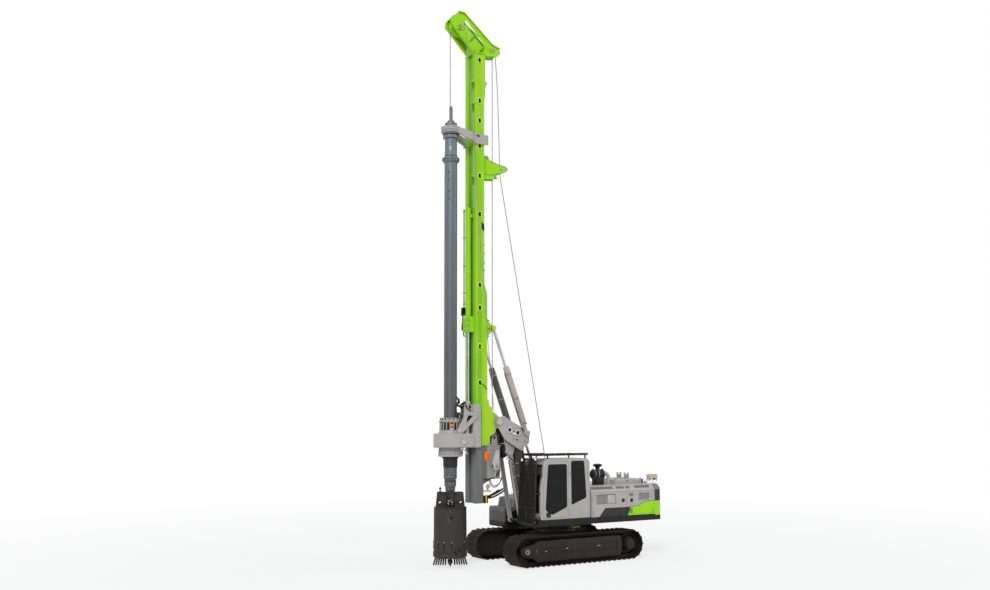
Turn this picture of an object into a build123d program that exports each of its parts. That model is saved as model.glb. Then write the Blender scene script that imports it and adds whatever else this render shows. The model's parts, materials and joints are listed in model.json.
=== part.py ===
from build123d import *
import os
from math import cos, hypot, pi, sin

# Rotary piling rig on crawler tracks. Millimetres, +X forward to the drilling tool,
# +Y to the cab's side, +Z up. Everything is drawn about the swing axis on the ground and
# moved back at export, so that the origin is the middle of the machine's floor box.

# ---------------------------------------------------------------- driving dimensions
TRACK_LENGTH, TRACK_HEIGHT, TRACKS_WIDE = 4850, 930, 2960
SHOE_WIDTH, SHOE_PITCH, SHOE_PLATE, GROUSER = 700, 190, 14, 26
LINK_HEIGHT, LINK_WIDTH = 102, 220
CLEAR = 0.3                  # running or seating gap between pieces that meet
JOINT_GAP = 8                # side gap beside a swinging eye
DOOR_GAP = 6                 # all round a door
CARBODY_TOP, RING_R = 880, 640

SKIRT_BOTTOM, DECK_TOP, HOUSE_HALF = 1170, 1360, 1380
HOUSE_TOP, HOUSE_FRONT, DOORS_REAR, HOUSE_REAR = 2300, -470, -3010, -3420
PANEL = 40                   # wall of doors, hood and cab
CAB_FRONT, CAB_REAR, CAB_TOP, CAB_INNER = 1420, -420, 3180, 450
BOOM_SLOT = 430              # half the clear width between cab and tanks, where the linkage works

KELLY_X, KELLY_R, KELLY_WALL = 3770, 188.5, 16
KELLY_FOOT, INNER_KELLY_R, STUB = 2600, 150, 220
BUCKET_R, BUCKET_WALL, BUCKET_BASE, BUCKET_TOP, STUB_FOOT = 475, 25, 470, 1750, 2280
RING_FLARE = 32              # the cutting ring stands out past the bucket
MAST_REAR, MAST_FRONT, MAST_HALF, MAST_WALL = 2640, 3060, 330, 20
MAST_FOOT, MAST_JOINT, MAST_TOP = 1860, 3600, 15900
FOOT_REAR, BOX_REAR, BOX_LOW, BOX_HALF = 2790, 2210, 2580, 318     # slim foot tube and the box behind it
CROSS_SHAFT = (2270, 4310)   # mast hinge (x, z)

ARM_BASE, LINK_BASE = (1080, 1430), (1450, 1275)
LINK_RUN, LINK_RISE = 370, 2060          # both parallelogram bars, base pin to top pin
LUFF_BASE, LUFF_EYE = (460, 1500), (1270, 3740)
TILT_BASE, TILT_EYE = (1290, 3960), (2500, 7180)
PIN_R = 45

CENTRE_X = (KELLY_X + BUCKET_R + RING_FLARE + HOUSE_REAR) / 2


# ---------------------------------------------------------------- drawing helpers
def block(x0, x1, y0, y1, z0, z1):
    """A box between two corners."""
    return Pos((x0 + x1) / 2, (y0 + y1) / 2, (z0 + z1) / 2) * Box(x1 - x0, y1 - y0, z1 - z0)


def side_plate(points, y0, y1, corner=0):
    """A prism whose outline is drawn from the side, in X and Z, with rounded corners if asked."""
    face = make_face(Polyline(*[(x, y0, z) for x, z in points], close=True))
    if corner:
        face = fillet(face.vertices(), corner)
    return extrude(face, amount=y1 - y0, dir=(0, 1, 0))


def front_plate(points, x0, x1):
    """A prism whose outline is drawn from the front, in Y and Z."""
    face = make_face(Polyline(*[(x0, y, z) for y, z in points], close=True))
    return extrude(face, amount=x1 - x0, dir=(1, 0, 0))


def plan_plate(points, z0, z1):
    """A prism whose outline is drawn from above, in X and Y."""
    face = make_face(Polyline(*[(x, y, z0) for x, y in points], close=True))
    return extrude(face, amount=z1 - z0, dir=(0, 0, 1))


def rod_between(start, end, radius):
    """A round bar from one point to another."""
    axis = Vector(*end) - Vector(*start)
    return extrude(Plane(origin=start, z_dir=axis) * Circle(radius), axis.length)


def across(x, z, radius, y0, y1):
    """A round bar along Y."""
    return rod_between((x, y0, z), (x, y1, z), radius)


def upright(x, y, radius, z0, z1):
    """A round bar along Z."""
    return Pos(x, y, (z0 + z1) / 2) * Cylinder(radius, z1 - z0)


def turned(profile, x=KELLY_X, y=0):
    """A body of revolution about a vertical axis, from (radius, z) points."""
    face = make_face(Polyline(*[(r, 0, z) for r, z in profile], close=True))
    return Pos(x, y, 0) * revolve(face, Axis.Z)


def both_sides(shape):
    """The piece and its mirror image across the machine."""
    return [shape, mirror(shape, Plane.XZ)]


def spread(shape, side, near, far):
    """Run shape(y0, y1) between two distances from the middle, on one side of the machine."""
    return shape(*sorted((side * near, side * far)))


def tall_hole(x, z, wide, tall, reach):
    """An upright hole with round ends, cut across the machine."""
    outline = Plane.XZ * SlotCenterToCenter(tall - wide, wide, rotation=90)
    return Pos(x, 0, z) * extrude(outline, reach, both=True)


def along(start, end, distance, offset=0):
    """A point on the line between two (x, z) points, and to its front by offset."""
    run, rise = end[0] - start[0], end[1] - start[1]
    span = hypot(run, rise)
    return (start[0] + (run * distance + rise * offset) / span,
            start[1] + (rise * distance - run * offset) / span)


def strip_along(points, depth):
    """Outline of a strip of even depth beside a line of (x, z) points, mitred at its corners."""
    normals = []
    for (x0, z0), (x1, z1) in zip(points, points[1:]):
        span = hypot(x1 - x0, z1 - z0)
        normals.append(((z1 - z0) / span, (x0 - x1) / span))
    beside = []
    for (x, z), before, after in zip(points, normals[:1] + normals, normals + normals[-1:]):
        nx, nz = before[0] + after[0], before[1] + after[1]
        mitre = 2 * depth / (nx * nx + nz * nz)
        beside.append((x + nx * mitre, z + nz * mitre))
    return points + beside[::-1]


def save(name, *solids):
    """Write one sub-part, moved so that the machine's floor box is centred."""
    pieces = []
    for shape in solids:
        pieces += shape if isinstance(shape, list) else [shape]
    moved = [Pos(-CENTRE_X, 0, 0) * piece for piece in pieces]
    whole = moved[0] if len(moved) == 1 else Compound(children=moved)
    whole.label = name
    export_step(whole, f"parts/{name}.step")


# ---------------------------------------------------------------- undercarriage
END_R = TRACK_HEIGHT / 2                          # the loop's outside, round an end wheel
SHOE_R = END_R - GROUSER - SHOE_PLATE             # inner face of the shoes
CHAIN_R = SHOE_R - LINK_HEIGHT                    # what the rollers run on
HALF_BASE = (TRACK_LENGTH - TRACK_HEIGHT) / 2
TRACK_Y = (TRACKS_WIDE - SHOE_WIDTH) / 2
PLATE_IN, PLATE_OUT = 135, 165                    # track frame's side plates, from its middle
ROLLER_R, CARRIER_R, AXLE_R = 85, 60, 32
BEAM_LOW, BEAM_TOP, BEAM_HALF = 350, 640, 1500


def loop_point(travel, out):
    """A point of the track loop: distance along the shoes' inner face and height above it."""
    straight, bend = 2 * HALF_BASE, pi * SHOE_R
    travel %= 2 * (straight + bend)
    radius = SHOE_R + out
    if travel < straight:
        return (-HALF_BASE + travel, END_R + radius)
    if travel < straight + bend:
        turn = (travel - straight) / SHOE_R
        return (HALF_BASE + radius * sin(turn), END_R + radius * cos(turn))
    if travel < 2 * straight + bend:
        return (HALF_BASE - (travel - straight - bend), END_R - radius)
    turn = (travel - 2 * straight - bend) / SHOE_R
    return (-HALF_BASE - radius * sin(turn), END_R - radius * cos(turn))


def loop_prism(radius, y0, y1):
    """A long round-ended block that fills the loop out to a radius."""
    outline = Plane.XZ * SlotCenterToCenter(2 * HALF_BASE, 2 * radius)
    return Pos(0, (y0 + y1) / 2, END_R) * extrude(outline, (y1 - y0) / 2, both=True)


def track():
    """Shoes and link chain as one closed loop, with a grouser bar on each shoe."""
    length = 4 * HALF_BASE + 2 * pi * SHOE_R
    count = round(length / SHOE_PITCH)
    pitch = length / count
    # where along one shoe, and how high above the shoe's inner face
    shoe = [(0.04, 0), (0.04, SHOE_PLATE), (0.40, SHOE_PLATE), (0.45, SHOE_PLATE + GROUSER),
            (0.55, SHOE_PLATE + GROUSER), (0.60, SHOE_PLATE), (0.96, SHOE_PLATE), (0.96, 0)]
    outline = [loop_point((number + part) * pitch, out) for number in range(count) for part, out in shoe]
    low, high = TRACK_Y - SHOE_WIDTH / 2, TRACK_Y + SHOE_WIDTH / 2
    shoes = side_plate(outline, low, high) - loop_prism(SHOE_R - 6, low, high)
    low, high = TRACK_Y - LINK_WIDTH / 2, TRACK_Y + LINK_WIDTH / 2
    chain = loop_prism(SHOE_R - 4, low, high) - loop_prism(CHAIN_R, low, high)
    return shoes + chain


def track_frame():
    """Box beam with side plates that hold the rollers, the idler and the final drive."""
    beam = block(-BEAM_HALF, BEAM_HALF, TRACK_Y - PLATE_OUT, TRACK_Y + PLATE_OUT, BEAM_LOW, BEAM_TOP)
    nose, tail = HALF_BASE + 130, -HALF_BASE - 130
    ahead = [(-BEAM_HALF, 190), (BEAM_HALF - 80, 190), (BEAM_HALF + 60, 360), (nose, 375), (nose, 555),
             (BEAM_HALF + 60, 570), (BEAM_HALF, BEAM_TOP), (-BEAM_HALF, BEAM_TOP)]
    outer = side_plate(ahead, TRACK_Y + PLATE_IN, TRACK_Y + PLATE_OUT)
    behind = [(tail, 370), (-BEAM_HALF - 60, 350), (-BEAM_HALF, 190)] + ahead[1:-1] + \
        [(-BEAM_HALF, BEAM_TOP), (-BEAM_HALF - 60, 590), (tail, 580)]
    inner = side_plate(behind, TRACK_Y - PLATE_OUT, TRACK_Y - PLATE_IN)
    motor = across(-HALF_BASE, END_R, 130, TRACK_Y - PLATE_OUT - 150, TRACK_Y - PLATE_OUT)
    recess = block(-BEAM_HALF + 150, BEAM_HALF - 150, TRACK_Y + PLATE_OUT - 12, TRACK_Y + PLATE_OUT + 5,
                   400, 590)
    frame = beam + outer + inner + motor - recess
    for x in CARRIER_PLACES:
        frame += block(x - 40, x + 40, TRACK_Y + 60, TRACK_Y + PLATE_OUT, BEAM_TOP, CARRIER_Z + 45)
        frame -= across(x, CARRIER_Z, AXLE_R + CLEAR, TRACK_Y + 50, TRACK_Y + PLATE_OUT + 5)
    return frame


TOW_R, TOW_X, TOW_Z, TOW_HALF = 32, 850, 560, 30      # towing eyes at both ends of the centre frame
CARRIER_PLACES = (-700, 700)
CARRIER_Z = END_R + CHAIN_R - CARRIER_R - CLEAR
ROLLER_COUNT = 7


def rollers():
    """Lower rollers between the side plates and two carrier rollers under the upper run."""
    low_z = END_R - CHAIN_R + ROLLER_R + CLEAR
    reach = PLATE_IN - CLEAR
    found = []
    for number in range(ROLLER_COUNT):
        x = (number - (ROLLER_COUNT - 1) / 2) * 2 * (BEAM_HALF - 150) / (ROLLER_COUNT - 1)
        found.append(across(x, low_z, ROLLER_R, TRACK_Y - 90, TRACK_Y + 90)
                     + across(x, low_z, AXLE_R, TRACK_Y - reach, TRACK_Y + reach))
    for x in CARRIER_PLACES:
        found.append(across(x, CARRIER_Z, CARRIER_R, TRACK_Y - 75, TRACK_Y + 55)
                     + across(x, CARRIER_Z, AXLE_R, TRACK_Y + 55, TRACK_Y + PLATE_OUT))
    return found


def idler():
    """Front guide wheel with a dished web and its hub."""
    rim, reach = CHAIN_R - CLEAR, PLATE_IN - CLEAR
    half = [(0, -reach), (95, -reach), (95, -85), (rim, -85), (rim, 85), (95, 85), (95, reach), (0, reach)]
    face = make_face(Polyline(*[(r, y, 0) for r, y in half], close=True))
    wheel = revolve(face, Axis.Y)
    groove = Rot(90, 0, 0) * (Cylinder(rim - 60, 60) - Cylinder(130, 60))
    wheel = wheel - Pos(0, 85, 0) * groove - Pos(0, -85, 0) * groove
    return Pos(HALF_BASE, TRACK_Y, END_R) * wheel


def sprocket():
    """Rear drive wheel: toothed rim, final-drive hub and its bolted cover."""
    teeth, reach = 21, CHAIN_R - CLEAR
    outline = []
    for number in range(teeth):
        for part, radius in ((0.0, reach - 45), (0.3, reach), (0.55, reach), (0.85, reach - 45)):
            turn = 2 * pi * (number + part) / teeth
            outline.append((radius * cos(turn), radius * sin(turn)))
    rim = side_plate(outline, -45, 45)
    hub = across(0, 0, 200, -PLATE_IN + CLEAR, 120)
    cover = across(0, 0, 165, 120, 210)
    return Pos(-HALF_BASE, TRACK_Y, END_R) * (rim + hub + cover)


def carbody():
    """Centre frame: a drum under the swing ring and four legs to the track frames."""
    side = TRACK_Y - PLATE_OUT
    drum = upright(0, 0, RING_R, 520, CARBODY_TOP)
    legs = [(-side, 400), (-side, 620), (-520, CARBODY_TOP - 40), (520, CARBODY_TOP - 40),
            (side, 620), (side, 400), (520, 500), (-520, 500)]
    front = front_plate(legs, 330, 760)
    rear = front_plate(legs, -760, -330)
    belly = block(-760, 760, -420, 420, 470, 580)
    body = drum + front + rear + belly
    for side in (-1, 1):
        lug = block(*sorted((side * 750, side * TOW_X)), -85, 85, TOW_Z - TOW_HALF, TOW_Z + TOW_HALF)
        lug += upright(side * TOW_X, 0, 85, TOW_Z - TOW_HALF, TOW_Z + TOW_HALF)
        body += lug - upright(side * TOW_X, 0, TOW_R, TOW_Z - TOW_HALF - 1, TOW_Z + TOW_HALF + 1)
    return body


def swing_bearing():
    """Slewing ring between the centre frame and the upper frame."""
    top = CARBODY_TOP + 80
    return turned([(520, CARBODY_TOP), (RING_R, CARBODY_TOP), (RING_R, top), (520, top)], 0)


# ---------------------------------------------------------------- upper frame and house
def upper_frame():
    """Closed deck with its skirts, the swing flange, and base plates with the linkage's pins."""
    flange_low = CARBODY_TOP + 80 + CLEAR
    front, right = CAB_FRONT + 110, -BOOM_SLOT - 20
    box = RIGHT_BOX_REAR - CLEAR
    outline = [(DOORS_REAR, -HOUSE_HALF), (box, -HOUSE_HALF), (box, right), (front, right),
               (front, HOUSE_HALF), (DOORS_REAR, HOUSE_HALF)]
    frame = plan_plate(outline, SKIRT_BOTTOM, DECK_TOP)
    frame -= block(ARM_BASE[0] - 180, front + 1, -CHEEK_IN, CHEEK_IN, SKIRT_BOTTOM - 1, DECK_TOP + 1)
    frame += turned([(RING_R - 130, flange_low), (RING_R - 20, flange_low), (RING_R - 20, DECK_TOP - 5),
                     (RING_R - 130, DECK_TOP - 5)], 0)
    cheek = [(DOORS_REAR + 10, SKIRT_BOTTOM + 20), (LINK_BASE[0] + 90, SKIRT_BOTTOM),
             (LINK_BASE[0] + 110, SKIRT_BOTTOM + 20),
             (LINK_BASE[0] + 110, LINK_BASE[1] + 110), (ARM_BASE[0] + 100, ARM_BASE[1] + 130),
             (ARM_BASE[0] - 110, ARM_BASE[1] + 140), (LUFF_BASE[0] + 120, LUFF_BASE[1] + 130),
             (LUFF_BASE[0] - 100, LUFF_BASE[1] + 110), (LUFF_BASE[0] - 220, DECK_TOP),
             (DOORS_REAR + 10, DECK_TOP)]
    for plate in both_sides(side_plate(cheek, CHEEK_IN, CHEEK_IN + CHEEK_PLATE)):
        frame += plate
    reach = CHEEK_IN + CHEEK_PLATE + 12
    for x, z in (ARM_BASE, LINK_BASE, LUFF_BASE):
        frame += across(x, z, PIN_R, -reach, reach)
    x, z, half = WINCH
    for side in (-1, 1):
        y = side * (half + 45)
        stand = [(x - 260, DECK_TOP - 5), (x + 260, DECK_TOP - 5), (x + 120, z + 140), (x - 120, z + 140)]
        cheek = side_plate(stand, y - 20, y + 20)
        frame += cheek - across(x, z, WINCH_AXLE + CLEAR, y - 30, y + 30)
    return frame


CHEEK_PLATE, WINCH_AXLE = 36, 60
CHEEK_IN = 372               # inner faces of the linkage's base plates
RIGHT_BOX_REAR, RIGHT_BOX_FRONT = 620, 1570


def right_front_box():
    """Fuel tank and tool locker ahead of the house on the side away from the cab."""
    low = block(RIGHT_BOX_REAR, RIGHT_BOX_FRONT, -HOUSE_HALF, -BOOM_SLOT - 22, 1010, 1630)
    low = fillet(low.edges().filter_by(Axis.Y), 60)
    cover = side_plate([(RIGHT_BOX_REAR, 1600), (1240, 1600), (1180, 1900), (RIGHT_BOX_REAR, 1990)],
                       -HOUSE_HALF, -BOOM_SLOT - 22)
    return low + cover


def right_walkway_tank():
    """Tank between the house and the front locker, with a low filler dome."""
    body = block(HOUSE_FRONT + CLEAR, RIGHT_BOX_REAR - CLEAR, -HOUSE_HALF, -BOOM_SLOT - 22, DECK_TOP, 1990)
    body = fillet(body.edges().filter_by(Axis.X), 50)
    return body + upright(100, -1000, 70, 1990, 2050)


def counterweight():
    """Cast rear weight with rounded corners and a sloped crown that carries on the hood's shoulder."""
    outline = [(DOORS_REAR - CLEAR, -HOUSE_HALF), (DOORS_REAR - CLEAR, HOUSE_HALF),
               (HOUSE_REAR + 170, HOUSE_HALF - 20), (HOUSE_REAR, HOUSE_HALF - 260),
               (HOUSE_REAR, -HOUSE_HALF + 260), (HOUSE_REAR + 170, -HOUSE_HALF + 20)]
    body = plan_plate(outline, SKIRT_BOTTOM, HOUSE_TOP - 10)
    body = fillet(body.edges().filter_by(Axis.Z).group_by(Axis.X)[0], 120)
    return chamfer(body.edges().group_by(Axis.Z)[-1], 110, 70)


SHOULDER = 2130              # height where the hood's side bends in


def hood_outline(inset):
    """The house from behind: upright sides and a sloped shoulder to the top."""
    half, top = HOUSE_HALF - inset, HOUSE_TOP - inset
    return [(-half, DECK_TOP), (-half, SHOULDER), (-half + 110, top), (half - 110, top), (half, SHOULDER),
            (half, DECK_TOP)]


SIDE_DOORS = [("front", -1838, HOUSE_FRONT - 45), ("rear", DOORS_REAR + 45, -1878)]   # name, rear x, front x
DOOR_LOW, DOOR_HIGH = 1395, 2110
# air grilles cut in the doors: which door, rear x, front x, low z, high z
GRILLES = [("front", -1423, -661, 1745, 2050), ("rear", -2140, -1967, 1944, 2042),
           ("rear", -2797, -2343, 1821, 2042)]
COVER = (-2980, -1850, -325, 825)         # raised cover on the hood's rear: x and y
COVER_HIGH, FRONT_COVER_HIGH = 160, 130
REST_X, REST_Y = -2570, (110, 490)        # forked rest that the lowered mast lies in
HINGE_R = 16


def hinge_knuckle(x, z, half, leaf):
    """Barrel just outside a door's edge and the leaf that joins it to the door's face."""
    y = HOUSE_HALF + HINGE_R + 1
    x0, x1 = sorted((x, x + leaf))
    return upright(x, y, HINGE_R, z - half, z + half) + block(x0, x1, HOUSE_HALF, y, z - half, z + half)


def hinge_seat(x, z, half, leaf):
    """Fixed lug under a door's hinge barrel, on the panel beside the door."""
    top = z - half - CLEAR
    y = HOUSE_HALF + HINGE_R + 1
    x0, x1 = sorted((x, x - leaf))
    return upright(x, y, HINGE_R, top - 50, top) + block(x0, x1, HOUSE_HALF - 5, y, top - 50, top) \
        - block(*sorted((x, x + leaf)), HOUSE_HALF - 6, HOUSE_HALF + 1, top - 51, top + 1)


HINGE_HEIGHTS = (DOOR_LOW + 120, DOOR_HIGH - 120)


def engine_hood():
    """Hollow engine house with raised covers and an opening for each side door."""
    shell = front_plate(hood_outline(0), DOORS_REAR, HOUSE_FRONT)
    cavity = front_plate(hood_outline(PANEL), DOORS_REAR + PANEL, HOUSE_FRONT - PANEL)
    hood = shell - cavity
    x0, x1, y0, y1 = COVER
    rear_cover = block(x0, x1, y0, y1, HOUSE_TOP - 20, HOUSE_TOP + COVER_HIGH)
    hood += chamfer(rear_cover.edges().group_by(Axis.Z)[-1], 35)
    front_cover = block(-1550, -850, -1050, -350, HOUSE_TOP - 20, HOUSE_TOP + FRONT_COVER_HIGH)
    hood += chamfer(front_cover.edges().group_by(Axis.Z)[-1], 30)
    for name, rear, front in SIDE_DOORS:
        hood -= block(rear - DOOR_GAP, front + DOOR_GAP, -HOUSE_HALF - 5, HOUSE_HALF + 5,
                      DOOR_LOW - DOOR_GAP, DOOR_HIGH + DOOR_GAP)
        for z in HINGE_HEIGHTS:
            seat = hinge_seat(front, z, 50, -40) if name == "front" else hinge_seat(rear, z, 50, 40)
            hood += seat + mirror(seat, Plane.XZ)
    return hood + mast_rest()


def engine_block():
    """The engine as one plain mass on the deck."""
    return block(-2750, -1500, -420, 420, DECK_TOP, 2060)


def side_door(door, rear, front, side):
    """A side panel with its air grilles cut out and its hinge barrels on one upright edge."""
    y0, y1 = HOUSE_HALF - PANEL, HOUSE_HALF
    panel = block(rear, front, y0, y1, DOOR_LOW, DOOR_HIGH)
    for name, x0, x1, z0, z1 in GRILLES:
        if name == door:
            panel -= side_plate([(x0, z0), (x1, z0), (x1, z1), (x0, z1)], y0 - 1, y1 + 1, 18)
    hinge_x, leaf = (front, -70) if door == "front" else (rear, 70)
    for z in HINGE_HEIGHTS:
        panel += hinge_knuckle(hinge_x, z, 50, leaf)
    return panel if side > 0 else mirror(panel, Plane.XZ)


# ---------------------------------------------------------------- cab
CAB_SKIN, CAB_ROUND, WINDOW_ROUND = 45, 48, 55
CAB_DOOR_REAR, CAB_DOOR_FRONT = 400, 1330
CAB_FLOOR = DECK_TOP + CLEAR


def cab_side(inset):
    """The cab from the side, with a raked windscreen; its corners are rounded by CAB_ROUND."""
    front, rear, top = CAB_FRONT - inset, CAB_REAR + inset, CAB_TOP - inset
    return [(rear, CAB_FLOOR + inset), (front, CAB_FLOOR + inset), (front, 2250), (front - 120, top - 120),
            (front - 230, top), (rear + 100, top), (rear, top - 100)]


DOOR_WINDOW = [(CAB_DOOR_REAR + 70, 2010), (CAB_DOOR_FRONT - 90, 1750),
               (CAB_DOOR_FRONT - 60, 2500), (CAB_DOOR_FRONT - 150, 3020), (CAB_DOOR_REAR + 70, 3020)]
REAR_WINDOW = [(CAB_REAR + 100, 2180), (CAB_DOOR_REAR - 60, 2010), (CAB_DOOR_REAR - 60, 3060),
               (CAB_REAR + 150, 3060)]
FRONT_WINDOW = [(CAB_INNER + 90, 1560), (HOUSE_HALF - 90, 1560), (HOUSE_HALF - 90, 3010),
                (CAB_INNER + 90, 3010)]
BACK_WINDOW = [(CAB_INNER + 150, 2200), (HOUSE_HALF - 150, 2200), (HOUSE_HALF - 150, 2980),
               (CAB_INNER + 150, 2980)]
RIGHT_WINDOW = [(CAB_REAR + 130, 2050), (CAB_FRONT - 190, 2050), (CAB_FRONT - 230, 2950),
                (CAB_REAR + 150, 2950)]


def door_outline(grow):
    """The door's edge, which follows the windscreen's rake at its front."""
    rear, front, low, high = CAB_DOOR_REAR - grow, CAB_DOOR_FRONT + grow, 1420 - grow, 3090 + grow
    return [(rear, low), (front, low), (front, 2250), (front - 105, high - 110), (front - 200, high),
            (rear, high)]


def cab_shell():
    """Hollow cab with its door opening and windows."""
    cab = side_plate(cab_side(0), CAB_INNER, HOUSE_HALF, CAB_ROUND)
    cab = chamfer(cab.edges().group_by(Axis.Y)[-1], 14)
    cab -= side_plate(cab_side(CAB_SKIN), CAB_INNER + CAB_SKIN, HOUSE_HALF - CAB_SKIN)
    outer = (HOUSE_HALF - CAB_SKIN - 5, HOUSE_HALF + 5)
    cab -= side_plate(door_outline(DOOR_GAP), *outer)
    cab -= side_plate(REAR_WINDOW, *outer, WINDOW_ROUND)
    cab -= side_plate(RIGHT_WINDOW, CAB_INNER - 5, CAB_INNER + CAB_SKIN + 5, WINDOW_ROUND)
    cab -= front_plate(FRONT_WINDOW, CAB_FRONT - 300, CAB_FRONT + 5)
    for z in CAB_HINGES:
        cab += hinge_seat(CAB_DOOR_REAR, z, 60, 60)
    return cab - front_plate(BACK_WINDOW, CAB_REAR - 5, CAB_REAR + CAB_SKIN + 5)


CAB_HINGES = (1620, 2850)
GLASS = 6


def pane(outline, maker, middle, *corner):
    """A flat pane held at mid thickness of the wall that it closes."""
    return maker(outline, middle - GLASS / 2, middle + GLASS / 2, *corner)


def cab_glass():
    """Fixed panes: rear quarter, right side and back; the windscreen follows the raked front."""
    skin = CAB_SKIN / 2
    panes = [pane(REAR_WINDOW, side_plate, HOUSE_HALF - skin, WINDOW_ROUND),
             pane(RIGHT_WINDOW, side_plate, CAB_INNER + skin, WINDOW_ROUND),
             pane(BACK_WINDOW, front_plate, CAB_REAR + skin)]
    band = side_plate(cab_side(skin - GLASS / 2), FRONT_WINDOW[0][0], FRONT_WINDOW[1][0])
    band -= side_plate(cab_side(skin + GLASS / 2), FRONT_WINDOW[0][0], FRONT_WINDOW[1][0])
    low, high = FRONT_WINDOW[0][1], FRONT_WINDOW[2][1]
    return panes + [band & block(CAB_FRONT - 300, CAB_FRONT, CAB_INNER, HOUSE_HALF, low, high)]


def cab_door():
    """Door frame with its window cut, hinged on the pillar behind it."""
    door = side_plate(door_outline(0), HOUSE_HALF - CAB_SKIN, HOUSE_HALF)
    door -= side_plate(DOOR_WINDOW, HOUSE_HALF - CAB_SKIN - 5, HOUSE_HALF + 5, WINDOW_ROUND)
    for z in CAB_HINGES:
        door += hinge_knuckle(CAB_DOOR_REAR, z, 60, 60)
    return door


def cab_door_glass():
    """The door's pane."""
    return pane(DOOR_WINDOW, side_plate, HOUSE_HALF - CAB_SKIN / 2, WINDOW_ROUND)


def cab_front_guard():
    """Bar guard that stands off the windscreen on four feet."""
    face = CAB_FRONT + 60
    low, high = DECK_TOP + 60, CAB_TOP - 20
    y0, y1 = CAB_INNER + 20, HOUSE_HALF - 20
    guard = block(face, face + 30, y0, y1, low, low + 40) + block(face, face + 30, y0, y1, high - 40, high)
    for z in (1700, 2150, 2700):
        guard += block(face, face + 30, y0, y1, z, z + 25)
    count = 12
    for number in range(count):
        y = y0 + 8 + (y1 - y0 - 16) * number / (count - 1)
        guard += block(face + 4, face + 26, y - 8, y + 8, low, high)
    for y in (y0 + 20, y1 - 20):
        for z in (low + 20, 2160):
            guard += block(CAB_FRONT, face + 5, y - 15, y + 15, z - 15, z + 15)
    return guard


def cab_roof_guard():
    """Flat falling-object guard over the cab, on four feet."""
    z = CAB_TOP + 60
    y0, y1 = CAB_INNER - 10, HOUSE_HALF - 10
    guard = block(CAB_REAR + 60, CAB_FRONT + 60, y0, y0 + 40, z, z + 50)
    guard += block(CAB_REAR + 60, CAB_FRONT + 60, y1 - 40, y1, z, z + 50)
    for number in range(9):
        x = CAB_REAR + 60 + (CAB_FRONT - CAB_REAR - 40) * number / 8
        guard += block(x, x + 40, y0, y1, z + 10, z + 40)
    for x in (CAB_REAR + 130, CAB_FRONT - 300):
        for y in (y0 + 20, y1 - 40):
            guard += block(x, x + 40, y - 15, y + 15, CAB_TOP + CLEAR, z + 5)
    return guard


def operator_seat():
    """Seat, its pedestal and the two control consoles."""
    middle, floor = (CAB_INNER + HOUSE_HALF) / 2, CAB_FLOOR + CAB_SKIN + CLEAR
    seat = block(0, 420, middle - 180, middle + 180, floor, floor + 330)
    seat += block(-40, 480, middle - 250, middle + 250, floor + 330, floor + 470)
    seat += side_plate([(-40, floor + 470), (90, floor + 470), (20, floor + 1120), (-80, floor + 1120)],
                       middle - 240, middle + 240)
    for side in (-1, 1):
        y = middle + side * 305
        seat += block(120, 560, y - 45, y + 45, floor + 300, floor + 620) + \
            block(0, 300, min(y, middle), max(y, middle), floor + 300, floor + 330)
    return seat


def main_winch_drum():
    """Flanged rope drum on its axle."""
    x, z, half = WINCH
    drum = across(x, z, 190, -half, half) + across(x, z, WINCH_AXLE, -half - 70, half + 70)
    for side in (-1, 1):
        y0, y1 = sorted((side * half, side * (half - 22)))
        drum += across(x, z, 290, y0, y1)
    return drum


WINCH = (-60, 1790, 250)     # main winch between the cab and the tank: x, z, half the drum


def air_cleaner():
    """Pre-cleaner mushroom over a lying canister and its elbow."""
    x, y = -1000, 560
    cap = turned([(0, 2930), (95, 2930), (110, 2950), (110, 2990), (60, 3010), (0, 3010)], x, y)
    cleaner = cap + upright(x, y, 45, 2560, 2930) + rod_between((x + 220, y, 2500), (x - 330, y, 2500), 130)
    for foot in (x + 60, x - 220):
        cleaner += block(foot, foot + 60, y - 60, y + 60, HOUSE_TOP, 2440)
    return cleaner


def exhaust():
    """Tail pipe that rises from the hood and turns back."""
    x, y = -1640, 560
    return upright(x, y, 60, HOUSE_TOP, 2420) + rod_between((x, y, 2400), (x - 160, y, 2560), 52)


def mast_rest():
    """Forked saddle at the rear that the lowered mast lies in."""
    floor = HOUSE_TOP + COVER_HIGH
    saddle = block(REST_X - 90, REST_X + 90, REST_Y[0] - 40, REST_Y[1] + 40, floor - 5, floor + 20)
    fork = [(-90, 0), (-90, 190), (-50, 190), (-20, 110), (20, 110), (50, 190), (90, 190), (90, 0)]
    for y in REST_Y:
        saddle += side_plate([(REST_X + x, floor + z) for x, z in fork], y - 20, y + 20)
    return saddle


# ---------------------------------------------------------------- linkage
ARM_TOP = (ARM_BASE[0] + LINK_RUN, ARM_BASE[1] + LINK_RISE)
LINK_TOP = (LINK_BASE[0] + LINK_RUN, LINK_BASE[1] + LINK_RISE)
TRI_Y, TRI_PLATE = 340, 34
ARM_Y, LINK_Y, LUFF_Y, TILT_Y = 200, 295, 285, 430
ARM_HALF = 75


def eye(x, z, radius, y, half, bore=PIN_R + CLEAR):
    """A pinned eye across the machine."""
    return across(x, z, radius, y - half, y + half) - across(x, z, bore, y - half - 1, y + half + 1)


def bar_with_eyes(base, top, y, half, depth_low, depth_high, eye_r):
    """A flat-sided bar in the side plane with an eye at each end."""
    span = hypot(top[0] - base[0], top[1] - base[1])
    outline = [along(base, top, 0, -depth_low), along(base, top, span, -depth_high),
               along(base, top, span, depth_high), along(base, top, 0, depth_low)]
    bar = side_plate(outline, y - half, y + half) + across(*base, eye_r, y - half, y + half) \
        + across(*top, eye_r, y - half, y + half)
    for x, z in (base, top):
        bar -= across(x, z, PIN_R + CLEAR, y - half - 1, y + half + 1)
    return bar


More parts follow.
